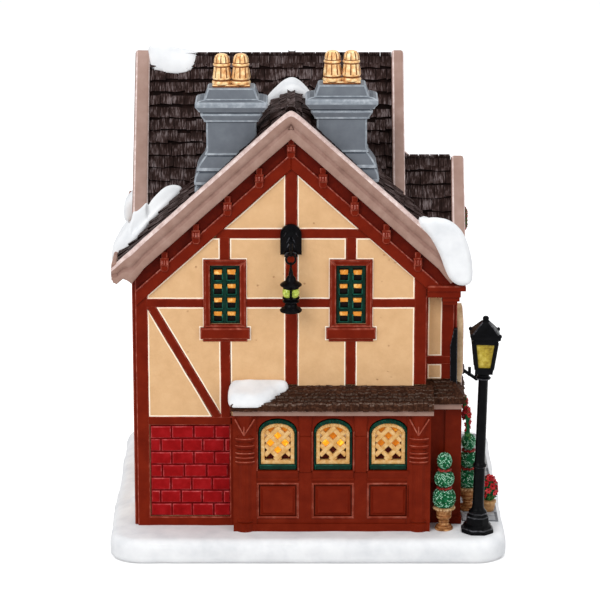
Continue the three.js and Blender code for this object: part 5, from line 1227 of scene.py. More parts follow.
def behind_barge(g):
    """Shingles next to a bargeboard lie flat, so that the board hides them from the front."""
    return clamp(min(g - 1.0, HOUSE_LENGTH - 1.0 - g) / 3, 0.06)


slope, steep = math.radians(42), math.radians(57)
wing_length, cross_length, bay_length = 69 / math.cos(slope), 42 / math.cos(steep), 22 / math.cos(steep)
shingles = Shape()
laid = 0
for side in (-1, 1):
    down_wing = (side * math.cos(slope), 0, -math.sin(slope))
    down_steep = (0, side * math.cos(steep), -math.sin(steep))
    laid += lay_shingles(shingles, (WING_RIDGE_X, -3.2, WING_RIDGE_Z), (0, 1, 0), down_wing,
                         wing_length, 122.4, on_wing, settle=behind_barge)
    laid += lay_shingles(shingles, (-64.8, CROSS_RIDGE_G, CROSS_RIDGE_Z), (1, 0, 0), down_steep,
                         cross_length, 99.1, above_wing)
    laid += lay_shingles(shingles, (39.3, BAY_RIDGE_G, BAY_RIDGE_Z), (1, 0, 0), down_steep,
                         bay_length, 18.6, above_wing)
print("shingles:", laid)

# %% Ridge caps and the finished shingle bed
def cap_ridge(shape, start, along, span, pitch):
    """Short saddle tiles along a ridge, each a little different."""
    start, along = Vector(start), Vector(along)
    side = Vector((along.y, along.x, 0))
    at = 0.0
    while at < span - 0.5:
        wide = min(random.uniform(3.6, 5.4), span - at)
        lift, reach = random.uniform(0.75, 0.95), random.uniform(2.2, 2.7)
        points = []
        for s in (at + 0.12, at + wide - 0.12):
            for off, fall in ((-reach, reach), (-0.9, 0.62), (0.9, 0.62), (reach, reach)):
                points.append(start + along * s + side * off + Vector((0, 0, lift - fall * pitch)))
            points.append(start + along * s + Vector((0, 0, -2.4)))
        faces = [[0, 1, 6, 5], [1, 2, 7, 6], [2, 3, 8, 7]]
        streaks = []
        for u in (at, at + 3, at + 6):
            streaks.append([(u, 0), (u, 2), (u + wide, 2), (u + wide, 0)])
        shape.put(points, faces, 0, streaks)
        shape.put(points, [[0, 1, 2, 3, 4], [9, 8, 7, 6, 5], [0, 5, 9, 4], [3, 4, 9, 8]], 1)
        at += wide


cap_ridge(shingles, (-64.7, CROSS_RIDGE_G, CROSS_RIDGE_Z), (1, 0, 0), 99.0, STEEP_SLOPE)
cap_ridge(shingles, (39.4, BAY_RIDGE_G, BAY_RIDGE_Z), (1, 0, 0), 18.4, STEEP_SLOPE)
cap_ridge(shingles, (WING_RIDGE_X, -3.2, WING_RIDGE_Z), (0, 1, 0), 54.0, WING_SLOPE)
cap_ridge(shingles, (WING_RIDGE_X, 65.2, WING_RIDGE_Z), (0, 1, 0), 54.0, WING_SLOPE)


def rounded_ridge(point):
    """The front ridge is not sharp but rolls over, between the chimneys and up to the tall roof."""
    x, g, z = point
    off = abs(x - WING_RIDGE_X)
    if g > 54 or off > 13.4 or abs(z - wing_line(x)) > 3.2:
        return point
    rise = WING_SLOPE * (off - math.hypot(off, 5.0) + 4.5)
    rise *= min(1.0, (13.4 - off) / 3) * clamp((g - 0.5) / 7)
    return Vector((x, g, z + rise))


shingles.points = [rounded_ridge(point) for point in shingles.points]
finished("shingles", shingles, [shingle, shingle_butt], smooth=20)

# %% [markdown]
# A moulded bargeboard follows each verge of the long roof. Its section has a rounded upper board,
# a shaded groove and a lower board, and it is swept down both slopes from the ridge.
# At the eave the lower board stops short and the upper one curls round to the side.
# The sweep is a grid: one row of points per station along the slope, one column per point of
# the section, so each strip of the moulding can take its own shade of the trim paint: a painted
# highlight along the top edge and painted shade in the groove and along the bottom edge.

# %% Sweep the bargeboards
BARGE_SECTION = [
    (0.0, 3.6, 2), (0.0, 6.7, 2), (0.45, 7.15, 2), (1.5, 7.3, 0), (4.3, 7.2, 0), (5.1, 6.95, 0),
    (5.7, 6.5, 1), (6.5, 6.2, 1), (7.3, 6.35, 1), (7.9, 6.75, 0), (8.7, 6.85, 0), (11.3, 6.7, 0),
    (11.8, 6.4, 1), (12.0, 6.0, 1), (12.0, 3.6, 1),
]
BARGE_DEPTH = [
    (0, 12.0), (58.5, 12.0), (61.0, 13.0), (63.4, 13.6), (65.0, 11.0), (66.8, 8.6), (69.4, 8.4), (70.8, 6.6),
    (71.5, 3.4),
]


def stepped(table, value):
    for (a, va), (b, vb) in zip(table, table[1:]):
        if value <= b:
            return va + (vb - va) * (value - a) / (b - a)
    return table[-1][1]


def strips(section):
    """The paint of each strip of a moulding. The strip that closes it at the back is in shade."""
    return lambda ring, side: section[side][2] if side < len(section) - 1 else 1


def bargeboard(shape, plane):
    near_ridge, near_eave = {0.6, 1.2, 2.0, 3.2, 5, 9}, {reach for reach, _ in BARGE_DEPTH if reach}
    stations = sorted(near_ridge | {12.0 + 4.5 * i for i in range(11)} | near_eave)
    rings = []
    for offset in [-station for station in reversed(stations)] + [0] + stations:
        x, depth = WING_RIDGE_X + offset, stepped(BARGE_DEPTH, abs(offset))
        wobble = wander(x / 14, depth, 4) * 0.18
        ring = []
        for index, (drop, out, _) in enumerate(BARGE_SECTION):
            z = wing_line(x) - drop * depth / 12
            if index < 4:
                z = min(z, WING_RIDGE_Z - WING_SLOPE * math.hypot(offset, 1.5) - drop + 0.25)
            ring.append(plane(x, z + wobble, out))
        rings.append(ring)
    loft(shape, rings, strips(BARGE_SECTION))
    dimple = [(WING_RIDGE_X + u, WING_RIDGE_Z + v) for u, v in ((-1.3, -8.2), (1.3, -8.2), (0, -5.9))]
    slab(shape, dimple, 5.5, 6.95, plane, 1, 0.3, 3)


def eave_return(shape, side, g0, g1):
    """The short level board that carries the moulding round under the eave."""
    low, high = sorted((WING_RIDGE_X + side * 69.2, WING_RIDGE_X + side * 71.4))
    top = wing_line(WING_RIDGE_X + 70.0)
    box(shape, low, high, g0, g1, top - 6.0, top + 0.9, 1, 0.6, 0)


# Painted shade: the small dark dimple below the apex of each bargeboard.
dimple_shade = paint("painted shade in the dimple of the bargeboard", (70, 48, 40), (92, 66, 57), (112, 84, 74), size=2)
trim_paints = [trim, trim_shade, trim_highlight, dimple_shade]
for end, plane, left_return, right_return in (
    ("front", front, (-6.6, 33.0), (-6.6, 9.8)), ("far", far, (106.4, 122.6), (106.4, 122.6)),
):
    barge = Shape()
    bargeboard(barge, plane)
    eave_return(barge, -1, *left_return)
    eave_return(barge, 1, *right_return)
    finished(f"{end} bargeboards", barge, trim_paints, f"{end}_bargeboard", smooth=40)

# %% [markdown]
# Three gables end in a coping of pink stone: two on the tall cross roof and one on the street bay.
# A coping is a beam that runs up one slope, over a worn rounded tip and down the other.
# It is swept like the bargeboards, with a section that has two soft shoulders, which carry a painted highlight,
# and sides painted in shade.

# %% Sweep the copings
def coping(shape, x0, x1, centre, half_span, line, rise, drop, foot, lean=0.0):
    shoulder = 0.95
    section = [
        (x0, -drop, 1), (x0 - 0.05, rise - 1.1, 1), (x0 + 0.3, rise - 0.35, 2), (x0 + shoulder, rise, 0),
        (x1 - shoulder, rise, 0), (x1 - 0.3, rise - 0.35, 2), (x1 + 0.05, rise - 1.1, 1), (x1, -drop, 1),
    ]
    stations = [-half_span + 2.8 * i for i in range(int(half_span / 2.8))] + [-4, -2.6, -1.6, -0.8, 0]
    middle, rings = (x0 + x1) / 2, []
    for offset in sorted(set(stations + [-station for station in stations])):
        g = centre + offset
        tip = line(centre) - (math.hypot(offset, 1.1) - 0.15) * STEEP_SLOPE
        spread = 1 + lean * abs(offset) / half_span
        ring = []
        for x, height, _ in section:
            z = tip + height if height > 0 else line(g) + height
            wear = wander(x, g / 4, z / 4) * 0.14 if height > 0 else 0
            ring.append((middle + (x - middle) * spread, g, max(z, foot) + wear))
        rings.append(ring)
    loft(shape, rings, strips(section))


coping_paints = [coping_stone, coping_side, trim_highlight]
for title, x0, x1, centre, span, line, rise, drop, node_name in (
    ("left coping", -70.7, -64.9, CROSS_RIDGE_G, 42, cross_line, 3.6, 6.2, "left_coping"),
    ("right coping", 34.4, 39.2, CROSS_RIDGE_G, 42, cross_line, 3.6, 6.2, "right_coping"),
    ("bay coping", 58.1, 63.2, BAY_RIDGE_G, 22, bay_line, 2.4, 6.2, "bay_coping"),
):
    shape = Shape()
    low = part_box(node_name)[0].z / MM + 0.1
    coping(shape, x0, x1, centre, span, line, rise, drop, low, lean=0.06)
    finished(title + " stone", shape, coping_paints, node_name, smooth=50)

# %% [markdown]
# The two chimneys are square stacks with stepped mouldings, cast in one piece and painted grey.
# A square pier with worn corners has eight corners in plan, so it is lofted from eight-point
# rings. The narrow corner faces take a painted highlight, and hollows of the moulding painted shade.

# %% Loft the chimneys
SHAFT = 9.9
CHIMNEY = [
    (3.4, -66.0, 0), (4.0, -50.0, 0), (4.6, -44.0, 1), (4.7, -39.2, 2),
    (4.1, -38.7, 2), (4.8, -38.1, 1), (4.9, -37.0, 0), (4.5, -35.0, 0),
    (3.9, -33.5, 2), (3.3, -33.1, 2), (3.9, -32.6, 1), (3.5, -31.4, 0),
    (2.5, -29.6, 0), (1.2, -27.9, 0), (0.8, -27.3, 2), (0.3, -27.0, 2),
    (0.7, -26.6, 1), (0.4, -25.8, 0), (0.0, -25.0, 0), (0.0, -13.6, 2),
    (0.9, -13.2, 1), (1.0, -12.5, 0), (1.7, -11.5, 0), (2.25, -10.6, 1),
    (2.3, -9.8, 2), (1.8, -9.4, 2), (3.0, -9.1, 0), (3.3, -8.4, 0),
    (4.0, -7.7, 0), (4.4, -7.1, 1), (4.4, -5.8, 1), (3.7, -5.1, 0),
    (2.6, -4.7, 2), (1.0, -4.5, 1), (0.7, -4.0, 0), (-0.5, -0.5, 1),
    (-1.0, 0.0, 0),
]


def chimney(shape, x, g, top, ratio=0.62, corner=0.7):
    rings = []
    for wider, height, _ in CHIMNEY:
        hx, hg = SHAFT + wider, (SHAFT + wider) * ratio
        sway = wander(x, height / 9, 2) * 0.15
        rings.append([
            (x + sway + u, g + v, top + height) for u, v in (
                (hx - corner, -hg), (hx, corner - hg), (hx, hg - corner), (hx - corner, hg),
                (corner - hx, hg), (-hx, hg - corner), (-hx, corner - hg), (corner - hx, -hg))
        ])
    loft(shape, rings, lambda level, side: CHIMNEY[level][2] if side % 2 else 1)


def chimney_pot(shape, x, g, z, radius=3.75, height=12.4, flutes=9):
    profile = [
        (0.94, 0.0, 1), (1.0, 0.03, 0), (1.03, 0.09, 0), (0.97, 0.14, 1), (0.90, 0.17, 1), (0.97, 0.20, 0),
        (0.98, 0.25, 2), (0.93, 0.36, 2), (0.86, 0.50, 2), (0.82, 0.58, 1), (0.80, 0.60, 1),
        (0.90, 0.63, 0), (0.92, 0.67, 0), (0.84, 0.70, 1), (0.82, 0.73, 2), (0.80, 0.82, 2),
        (0.72, 0.90, 2), (0.55, 0.97, 0), (0.3, 1.0, 0),
    ]
    rings = []
    for share, rise, kind in profile:
        flute = (1.045, 1.0, 0.955, 1.0) if kind == 2 else (1.0,) * 4
        rings.append([
            (x + u * flute[i % 4], g + v * flute[i % 4], z + rise * height)
            for i, (u, v) in enumerate(around(flutes * 4, radius * share))
        ])

    def groove(level, side):
        kind = profile[level][2]
        return int(kind == 1 or (kind == 2 and side % 4 == 2))

    loft(shape, rings, groove)


def trimmed_to_roof(piece, side, below):
    """Takes away what would stand inside the roof, along the slope of the long roof."""
    bm = bmesh.new()
    bm.from_mesh(piece.data)
    on_plane = place(WING_RIDGE_X, 7.0, WING_RIDGE_Z - below)
    upwards = Vector((side * WING_SLOPE, 0, 1)).normalized()
    everything = bm.verts[:] + bm.edges[:] + bm.faces[:]
    bmesh.ops.bisect_plane(bm, geom=everything, clear_inner=True, plane_co=on_plane, plane_no=upwards)
    rim = [edge for edge in bm.edges if edge.is_boundary]
    bmesh.ops.edgeloop_fill(bm, edges=rim)
    bm.to_mesh(piece.data)
    bm.free()


for title, side, x, top in (("left", -1, -30.3, 190.3), ("right", 1, 13.3, 191.6)):
    stack = Shape()
    chimney(stack, x, 7.0, top)
    greys = [slate_grey, chimney_highlight, chimney_shade]
    piece = finished(f"{title} chimney stack", stack, greys, f"{title}_chimney", smooth=30)
    trimmed_to_roof(piece, side, 5.0)
    pots = Shape()
    for offset in (-3.75, 3.75):
        chimney_pot(pots, x + offset, 7.0, top + 0.5)
    box(pots, x - 7.4, x + 7.4, 3.6, 10.4, top - 0.2, top + 1.0, 1, 0.4, 0)
    finished(f"{title} gilded pots", pots, [gilding, gilding_groove], f"{title}_chimney_pots",
             smooth=50)

# %% [markdown]
# Snow lies in soft pads on the roofs. Each pad is drawn as an outline in plan and then filled by
# a fine grid whose height above the roof grows quickly from the edge and flattens in the middle,
# the way wet snow rounds over. Grid points that fall outside are pulled back to the outline,
# so the edge stays smooth, and a short skirt closes the pad down to the shingles.

# %% Pads of snow
def roof_top(x, g):
    z = wing_line(x)
    if -71 < x <= 39.2:
        z = max(z, cross_line(g))
    if 39.2 < x < 63.3:
        z = max(z, bay_line(g))
    return z


def nearest_on(outline, x, g):
    best, found = 1e9, (x, g)
    for (u0, v0), (u1, v1) in sides_of(outline):
        du, dv = u1 - u0, v1 - v0
        t = clamp(((x - u0) * du + (g - v0) * dv) / max(1e-9, du * du + dv * dv))
        u, v = u0 + du * t, v0 + dv * t
        gap = math.hypot(x - u, g - v)
        if gap < best:
            best, found = gap, (u, v)
    return best, found


def is_inside(outline, x, g):
    inside = False
    for (u0, v0), (u1, v1) in sides_of(outline):
        if (v0 > g) != (v1 > g) and x < (u1 - u0) * (g - v0) / (v1 - v0) + u0:
            inside = not inside
    return inside


def smooth_outline(outline, rounds=2):
    for _ in range(rounds):
        cut = []
        for (u0, v0), (u1, v1) in sides_of(outline):
            cut += [(u0 * (1 - t) + u1 * t, v0 * (1 - t) + v1 * t) for t in (0.25, 0.75)]
        outline = cut
    return outline


def softened(piece, factor, rounds):
    soften = piece.modifiers.new("soften", "SMOOTH")
    soften.factor, soften.iterations = factor, rounds
    return piece


def snow_pad(title, outline, thickness, node_name, ground=roof_top, round_over=2.4, grid=0.6, sink=1.0):
    outline = smooth_outline(outline)
    xs, gs = [p[0] for p in outline], [p[1] for p in outline]
    columns = int((max(xs) - min(xs)) / grid) + 3
    rows = int((max(gs) - min(gs)) / grid) + 3
    spots = {}
    for i in range(columns):
        for j in range(rows):
            x, g = min(xs) - grid + i * grid, min(gs) - grid + j * grid
            gap, spot = nearest_on(outline, x, g)
            spots[i, j] = (x, g, gap) if is_inside(outline, x, g) else (spot[0], spot[1], -1.0)
    shape, index = Shape(), {}
    tops, cells = [], []
    for i in range(columns - 1):
        for j in range(rows - 1):
            corners = [(i, j), (i + 1, j), (i + 1, j + 1), (i, j + 1)]
            if not any(spots[c][2] > 0 for c in corners):
                continue
            for corner in corners:
                if corner not in index:
                    index[corner] = len(tops)
                    x, g, gap = spots[corner]
                    share = clamp(gap / round_over)
                    swell = math.sqrt(1 - (1 - share) ** 2)
                    deep = thickness(x, g) if callable(thickness) else thickness
                    deep *= 1 + 0.16 * wander(x / 5, g / 5, 6.6)
                    tops.append((x, g, ground(x, g) + 0.7 + max(0.12, swell) * deep))
            cells.append([index[c] for c in corners])
    floors = [(x, g, ground(x, g) - sink) for x, g, _ in tops]
    edges = dict.fromkeys(edge for cell in cells for edge in sides_of(cell))
    count = len(tops)
    walls = [[b, a, a + count, b + count] for a, b in edges if (b, a) not in edges]
    shape.put(tops + floors, cells + [[v + count for v in reversed(cell)] for cell in cells] + walls)
    return softened(finished(title, shape, [snow], node_name, smooth=180, weld=True), 0.5, 4)


snow_pad("snow on the ridge", [
    (-66.0, 55.2), (-61.5, 54.4), (-57.4, 53.6), (-53.2, 53.3), (-50.0, 53.8), (-47.1, 54.9), (-45.4, 57.0),
    (-45.4, 60.5), (-48.5, 64.5), (-54.0, 67.0), (-60.0, 66.0), (-66.0, 64.0),
], lambda x, g: 4.4 - 2.6 * clamp((x + 62) / 16), "ridge_snow", round_over=1.8)


def saddle(x, g):
    """The long ridge, rounded over as the cast one is where it runs into the tall roof."""
    return WING_RIDGE_Z - WING_SLOPE * (math.hypot(x - WING_RIDGE_X, 4.0) - 4.0)


snow_pad("snow in the saddle", [
    (-6.7, 51.0), (-9.6, 50.0), (-12.8, 47.6), (-15.4, 45.2), (-17.4, 41.0), (-17.2, 35.6), (-15.8, 31.8),
    (-13.6, 32.4), (-11.4, 29.6), (-9.2, 26.4), (-6.7, 24.0), (-4.0, 26.0), (-1.6, 28.8), (0.2, 31.8),
    (1.8, 33.4), (2.4, 37.4), (1.8, 42.4), (0.2, 46.4), (-2.0, 49.2), (-4.4, 50.8),
], 1.5, "saddle_snow", ground=saddle, sink=3.4)

DRIFT_DEPTH = [(-80, 3.4), (-77.4, 4.2), (-75.2, 5.6), (-70.9, 8.4)]


def under_drift(x, g):
    z = roof_top(x, g)
    return max(z, cross_line(g) + 3.6) if -70.9 < x < -64.7 else z


def drift(x, g):
    """Snow that fills the valley is deepest where it leans against the coping."""
    if x > -70.9:
        return 2.2
    share = clamp((g - 9.5) / 9)
    return 1.8 + (stepped(DRIFT_DEPTH, x) - 1.8) * share * (2 - share)


snow_pad("snow in the valley", [
    (-50.6, 26.0), (-54.0, 26.6), (-57.8, 26.2), (-61.1, 24.4), (-64.3, 22.4), (-65.2, 20.2), (-70.6, 17.4),
    (-71.4, 22.0), (-71.8, 28.0), (-73.5, 32.0), (-77.4, 32.0), (-79.3, 28.0), (-79.7, 20.0), (-79.2, 14.2),
    (-77.0, 11.4), (-73.3, 9.2), (-70.6, 8.6), (-66.2, 10.0), (-63.2, 15.6), (-60.4, 18.6), (-57.5, 20.6),
    (-54.3, 22.8), (-51.4, 24.6),
], drift, "valley_snow", ground=under_drift, round_over=2.2, grid=0.5)

# %% [markdown]
# At the right eave the snow has slid over the edge and hangs in front of the bargeboard.
# A height over the roof can't make that lobe. So two rough solids are put through each other,
# one that lies on the roof and one that hangs in front, and a voxel remesh melts them into one
# closed skin, which is then smoothed: the quick way to model anything doughy.

# %% Snow over the right eave
def melted(title, shape, node_name=()):
    piece = finished(title, shape, [snow], node_name, smooth=180, weld=True)
    skin = piece.modifiers.new("one skin", "REMESH")
    skin.mode, skin.voxel_size, skin.use_smooth_shade = "VOXEL", 0.7 * MM, True
    return softened(piece, 0.6, 8)


CUBE = [[3, 2, 1, 0], [4, 5, 6, 7], [0, 1, 5, 4], [1, 2, 6, 5], [2, 3, 7, 6], [3, 0, 4, 7]]


def roof_blanket(shape, outline, thickness, sink, columns=26, rows=22):
    """A closed layer over the roof, cut to an outline by leaving out the cells outside it."""
    xs, gs = [p[0] for p in outline], [p[1] for p in outline]
    for i in range(columns):
        for j in range(rows):
            x0, x1 = (min(xs) + (max(xs) - min(xs)) * k / columns for k in (i, i + 1.15))
            g0, g1 = (min(gs) + (max(gs) - min(gs)) * k / rows for k in (j, j + 1.15))
            spot = ((x0 + x1) / 2, (g0 + g1) / 2)
            if not is_inside(outline, *spot):
                continue
            deep = thickness * (0.45 + 0.55 * min(1.0, nearest_on(outline, *spot)[0] / 3.0))
            corners = rectangle(x0, x1, g0, g1)
            points = [(x, g, roof_top(x, g) + rise) for rise in (-sink, 0.6 + deep) for x, g in corners]
            shape.put(points, CUBE)


eave_lump = Shape()
roof_blanket(eave_lump, [
    (43.5, -7.0), (45.5, 2.0), (48.5, 9.0), (52.5, 13.0), (57.0, 14.0), (61.5, 13.0), (64.3, 9.0),
    (64.5, -7.0),
], 3.2, 1.6)
lobe = smooth_outline([
    (43.8, 137.4), (46.0, 139.8), (50.3, 140.2), (55.3, 139.4), (59.6, 136.4), (62.6, 131.9), (64.9, 124.2),
    (65.6, 116.2), (64.6, 112.6), (59.6, 112.2), (56.2, 114.8), (54.2, 119.0), (52.1, 125.3), (48.5, 132.0),
])
slab(eave_lump, lobe, 5.0, 9.2, front, 0, 1.6)
melted("snow over the right eave", eave_lump, "eave_snow")

far_lump = Shape()
roof_blanket(far_lump, [
    (-79.2, 101.0), (-70.5, 101.0), (-68.0, 106.0), (-71.0, 113.0), (-79.2, 116.0),
], 2.2, 1.6)
slab(far_lump, smooth_outline([
    (-79.2, 113.0), (-79.4, 120.0), (-77.4, 122.4), (-73.0, 126.0), (-69.6, 128.0), (-68.4, 125.0),
    (-71.4, 118.0), (-74.8, 113.4), (-77.6, 111.8),
]), -106.0, -99.0, front, 0, 1.6)
melted("snow at the far eave", far_lump)

# %% [markdown]
# Many cast details keep their CAD shape and only need their edges picked out. A bevel modifier does that:
# it cuts a narrow face along every sharp edge and gives it the second material, mostly a lighter paint
# that is a painted highlight. It takes one line per piece.

# %% Painted highlights on the edges of CAD pieces
def worn(node_name, material, edge_material, width=0.35):
    solid = dressed(node_name, material)
    solid.data.materials.append(edge_material)
    # The bevel faces take the second material, mostly a lighter paint: a painted highlight along each sharp edge.
    bevel = solid.modifiers.new("painted edges", "BEVEL")
    bevel.width, bevel.segments, bevel.material = width * MM, 1, 1
    bevel.limit_method, bevel.angle_limit = "ANGLE", math.radians(35)
    return solid


# %% [markdown]
# Each window is a green casting with eight small panes in two columns. The light behind it shows
# only in the upper part of a pane, as a painted glow; the lower part is painted black as the shade of the
# casting's own rim.
# So each pane is a glowing amber strip over a black one, set back, with a pale green lip round its foot that
# carries a painted highlight.

# %% Window sashes
PANE_HALF, PANE_PITCH, PANE_TOP = 1.65, 5.7, 21.9


def sash(shape, centre, plane, low=SILL):
    slab(shape, rectangle(centre - 5.9, centre + 5.9, low + 0.1, low + 24.3), -2.3, -1.9, plane, 2, 0.1)
    for u0, u1 in ((-5.9, -4.65), (-1.05, 0.8), (4.4, 5.9)):
        slab(shape, rectangle(centre + u0, centre + u1, low + 0.1, low + 24.3), -2.1, -0.5, plane, 0, 0.3, 0)
    feet = [PANE_TOP - PANE_PITCH * row - 4.3 for row in range(4)]
    for v0, v1 in [(22.9, 24.3)] + [(max(0.1, foot - 1.3), foot) for foot in feet]:
        rail = rectangle(centre - 5.5, centre + 5.5, low + v0, low + v1)
        slab(shape, rail, -2.1, -0.55, plane, 0, 0.3, 0)
    for column in (-2.85, 2.6):
        for row in range(4):
            x = centre + column + random.uniform(-0.12, 0.12)
            top = low + PANE_TOP - PANE_PITCH * row + random.uniform(-0.15, 0.15)
            wide = PANE_HALF + random.uniform(-0.12, 0.1)
            slab(shape, [(x - wide, top - 1.75), (x + wide, top - 1.75 + random.uniform(-0.2, 0.1)),
                         (x + wide, top + 0.1), (x - wide, top)], -1.9, -1.1, plane, 1, 0.08)
            unlit = rectangle(x - wide - 0.25, x + wide + 0.25, top - 4.3, top - 1.6)
            slab(shape, unlit, -1.9, -1.5, plane, 2, 0.08)
            for u0, u1 in ((-2.15, -1.548), (1.548, 2.15)):
                slab(shape, rectangle(x + u0, x + u1, top - 4.0, top - 1.0), -0.9, -0.3, plane, 3, 0.12)
            slab(shape, rectangle(x - 1.95, x + 1.95, top - 4.45, top - 3.95), -0.9, -0.25, plane, 3, 0.15)


for title, node_name, centre, plane in (
    ("left window", "left_window_sash", WINDOWS[0], front),
    ("right window", "right_window_sash", WINDOWS[1], front),
    ("far left window", "far_left_window_sash", WINDOWS[0], far),
    ("far right window", "far_right_window_sash", WINDOWS[1], far),
    ("yard window", "yard_window_sash", CROSS_RIDGE_G, yard),
    ("bay window", "bay_window_sash", BAY_RIDGE_G, street),
):
    shape = Shape()
    sash(shape, centre, plane)
    finished(title, shape, [green, amber, pane_shade, green_highlight], node_name)

# %% [markdown]
# The brick panel beside the shop is laid in running bond: seven courses, each shifted by half a
# brick. The bricks are a little uneven, with a painted highlight on their edges, and stand out of the dark
# joints.

# %% Brick panel
bricks = Shape()
PANEL_LEFT, PANEL_RIGHT, PANEL_LOW, PANEL_HIGH = -63.8, -31.3, 13.8, 52.3
slab(bricks, rectangle(PANEL_LEFT, PANEL_RIGHT, PANEL_LOW, PANEL_HIGH), 0.05, 0.5, front, 2, 0.1)
COURSES, BRICK_LENGTH, JOINT = 7, 8.6, 0.6
course_height = (PANEL_HIGH - PANEL_LOW) / COURSES
for course in range(COURSES):
    at = PANEL_LEFT - (BRICK_LENGTH / 2 if course % 2 else 0)
    while at < PANEL_RIGHT:
        wide = BRICK_LENGTH + random.uniform(-0.5, 0.5)
        u0, u1 = max(at, PANEL_LEFT) + JOINT / 2, min(at + wide, PANEL_RIGHT) - JOINT / 2
        at += wide
        if u1 - u0 < 1.0:
            continue
        v0 = PANEL_LOW + course * course_height + JOINT / 2 + random.uniform(-0.1, 0.1)
        v1 = v0 + course_height - JOINT
        face = 1.05 + random.uniform(-0.12, 0.15)
        slab(bricks, wavy(rectangle(u0, u1, v0, v1), 0.12, 3.0), 0.3, face, front, 0, 0.38, 1)
finished("brickwork", bricks, [brick, brick_highlight, mortar], "brick_panel")

# %% [markdown]
# The shopfront is one wide piece of joinery: half-round pilasters at both ends, three bays with
# arched openings, and raised panels below them. Its CAD solid has these forms already.
# Here its edges get a painted highlight, and it gets the small mouldings that a close look finds: raised fields
# inside the panels, rings round the pilasters and a strapwork V above them, the V painted in the highlight
# colour.

# %% Shopfront details
SHOP_LEFT, SHOP_RIGHT, SHOP_FACE = -30.1, 49.4, 8.0
INTO_SHOP = SHOP_FACE - 0.3
BAYS = (-12.2, 10.1, 32.4)


def upright(u, v, out):
    """A plane seen from above, so that slabs drawn in it stand on end."""
    return (u, v, out)


worn("shopfront", joinery, joinery_highlight, 0.32)
mouldings = Shape()
for x in BAYS:
    field = rectangle(x - 7.0, x + 7.0, 16.8, 28.7)
    slab(mouldings, field, SHOP_FACE - 0.5, SHOP_FACE + 0.75, front, 0, 1.05, 2)
    outer = rectangle(x - 8.5, x + 8.5, 15.2, 30.3)
    mitred(mouldings, outer, inset(outer, 0.8), INTO_SHOP, SHOP_FACE + 0.5, front, 0, 0.28, 1)
    for u in (x - 8.35, x + 8.35):
        bead = rectangle(u - 0.28, u + 0.28, 35.4, 52.0)
        slab(mouldings, bead, INTO_SHOP, SHOP_FACE + 0.45, front, 0, 0.22, 1)
    slab(mouldings, rectangle(x - 8.7, x + 8.7, 31.0, 32.4), INTO_SHOP, SHOP_FACE + 0.5, front, 0, 0.4, 0)
for left, right in zip(BAYS, BAYS[1:]):
    x = (left + right) / 2
    slab(mouldings, rectangle(x - 2.5, x + 2.5, 34.6, 50.2), INTO_SHOP, SHOP_FACE + 0.5, front, 0, 0.4, 0)
    bracket = [(x - 2.3, 50.0), (x + 2.3, 50.0), (x + 3.0, 59.2), (x - 3.0, 59.2)]
    slab(mouldings, bracket, INTO_SHOP, SHOP_FACE + 0.7, front, 0, 0.4, 0)
for x in (SHOP_LEFT + 4.7, SHOP_RIGHT - 4.7):
    angles = [math.radians(-180 + 15 * step) for step in range(13)]
    ring = [(x + 4.05 * math.cos(angle), -SHOP_FACE - 0.1 + 2.15 * math.sin(angle)) for angle in angles]
    for z, height in ((49.0, 1.0), (46.0, 1.1), (43.0, 0.9), (41.2, 0.8), (39.4, 0.7)):
        slab(mouldings, ring, z - height / 2, z + height / 2, upright, 0, 0.3, 1)
    for side in (-1, 1):
        bar(mouldings, (x - 0.3, -9.7, 50.8), (x + side * 3.9, -9.6, 57.6), 0.28, 1, 6)
    bar(mouldings, (x - 0.3, -9.7, 50.9), (x - 0.3, -9.75, 54.6), 0.3, 1, 6)
finished("shopfront mouldings", mouldings, [joinery, joinery_highlight, timber], smooth=30)

# %% [markdown]
# Behind each arch stands a bottle-green frame with a tan lattice in it. The lattice is a grid of
# slanting strips inside a rim, and the lamp in the house shows through its holes.
# To cut a slanting strip to the arch, its line is walked in small steps, and the longest
# run of points that lie inside the arch becomes the strip.

# %% Lattices of the shop windows
LATTICE_HALF, LATTICE_LOW, LATTICE_SPRING, LATTICE_RISE = 6.75, 37.9, 50.6, 4.5
GRID = 2.95
RIM_WIDTH, STRIP_WIDTH = 1.5, 1.75


def strip_inside(outline, u, v, du, dv):
    steps = [t * 0.2 for t in range(-80, 81)]
    inside = [t for t in steps if is_inside(outline, u + du * t, v + dv * t)]
    if len(inside) < 6:
        return None
    return (u + du * inside[0], v + dv * inside[0]), (u + du * inside[-1], v + dv * inside[-1])


def lattice(shape, x, lit):
    rim, hole = (
        arch(x, LATTICE_HALF - by, LATTICE_LOW + by, LATTICE_SPRING, LATTICE_RISE - by, 16)
        for by in (0, RIM_WIDTH))
    middle = 46.6
    mitred(shape, rim, hole, 4.5, 6.9, front, 0, 0.18, 0)
    for lean in (-1, 1):
        for shift in (-4, -2, 0, 2, 4):
            run = strip_inside(hole, x + shift * GRID, middle, 0.70, lean * 0.714)
            if run:
                slab(shape, beam(*run[0], *run[1], STRIP_WIDTH), 4.6, 6.5 + 0.12 * lean, front, 0, 0.22, 0)
    slab(shape, hole, 3.9, 4.4, front, 2, 0.05)
    for light, (u, v) in zip(lit, ((0, GRID), (-GRID, 0), (GRID, 0), (0, -GRID))):
        disc = [(x + u + a, middle + v + b) for a, b in around(12, 1.75)]
        slab(shape, disc, 4.2, 4.9, front, light, 0.3)
    high = middle + 2 * GRID
    for u in (x - GRID, x + GRID):
        slab(shape, rectangle(u - 1.6, u + 1.6, high - 1.6, high + 1.2), 4.1, 4.8, front, 4, 0.2)
    for u in (x - 2 * GRID + 0.6, x + 2 * GRID - 0.6):
        slab(shape, rectangle(u - 0.9, u + 0.9, middle + 1.2, middle + 4.4), 4.1, 4.7, front, 5, 0.2)


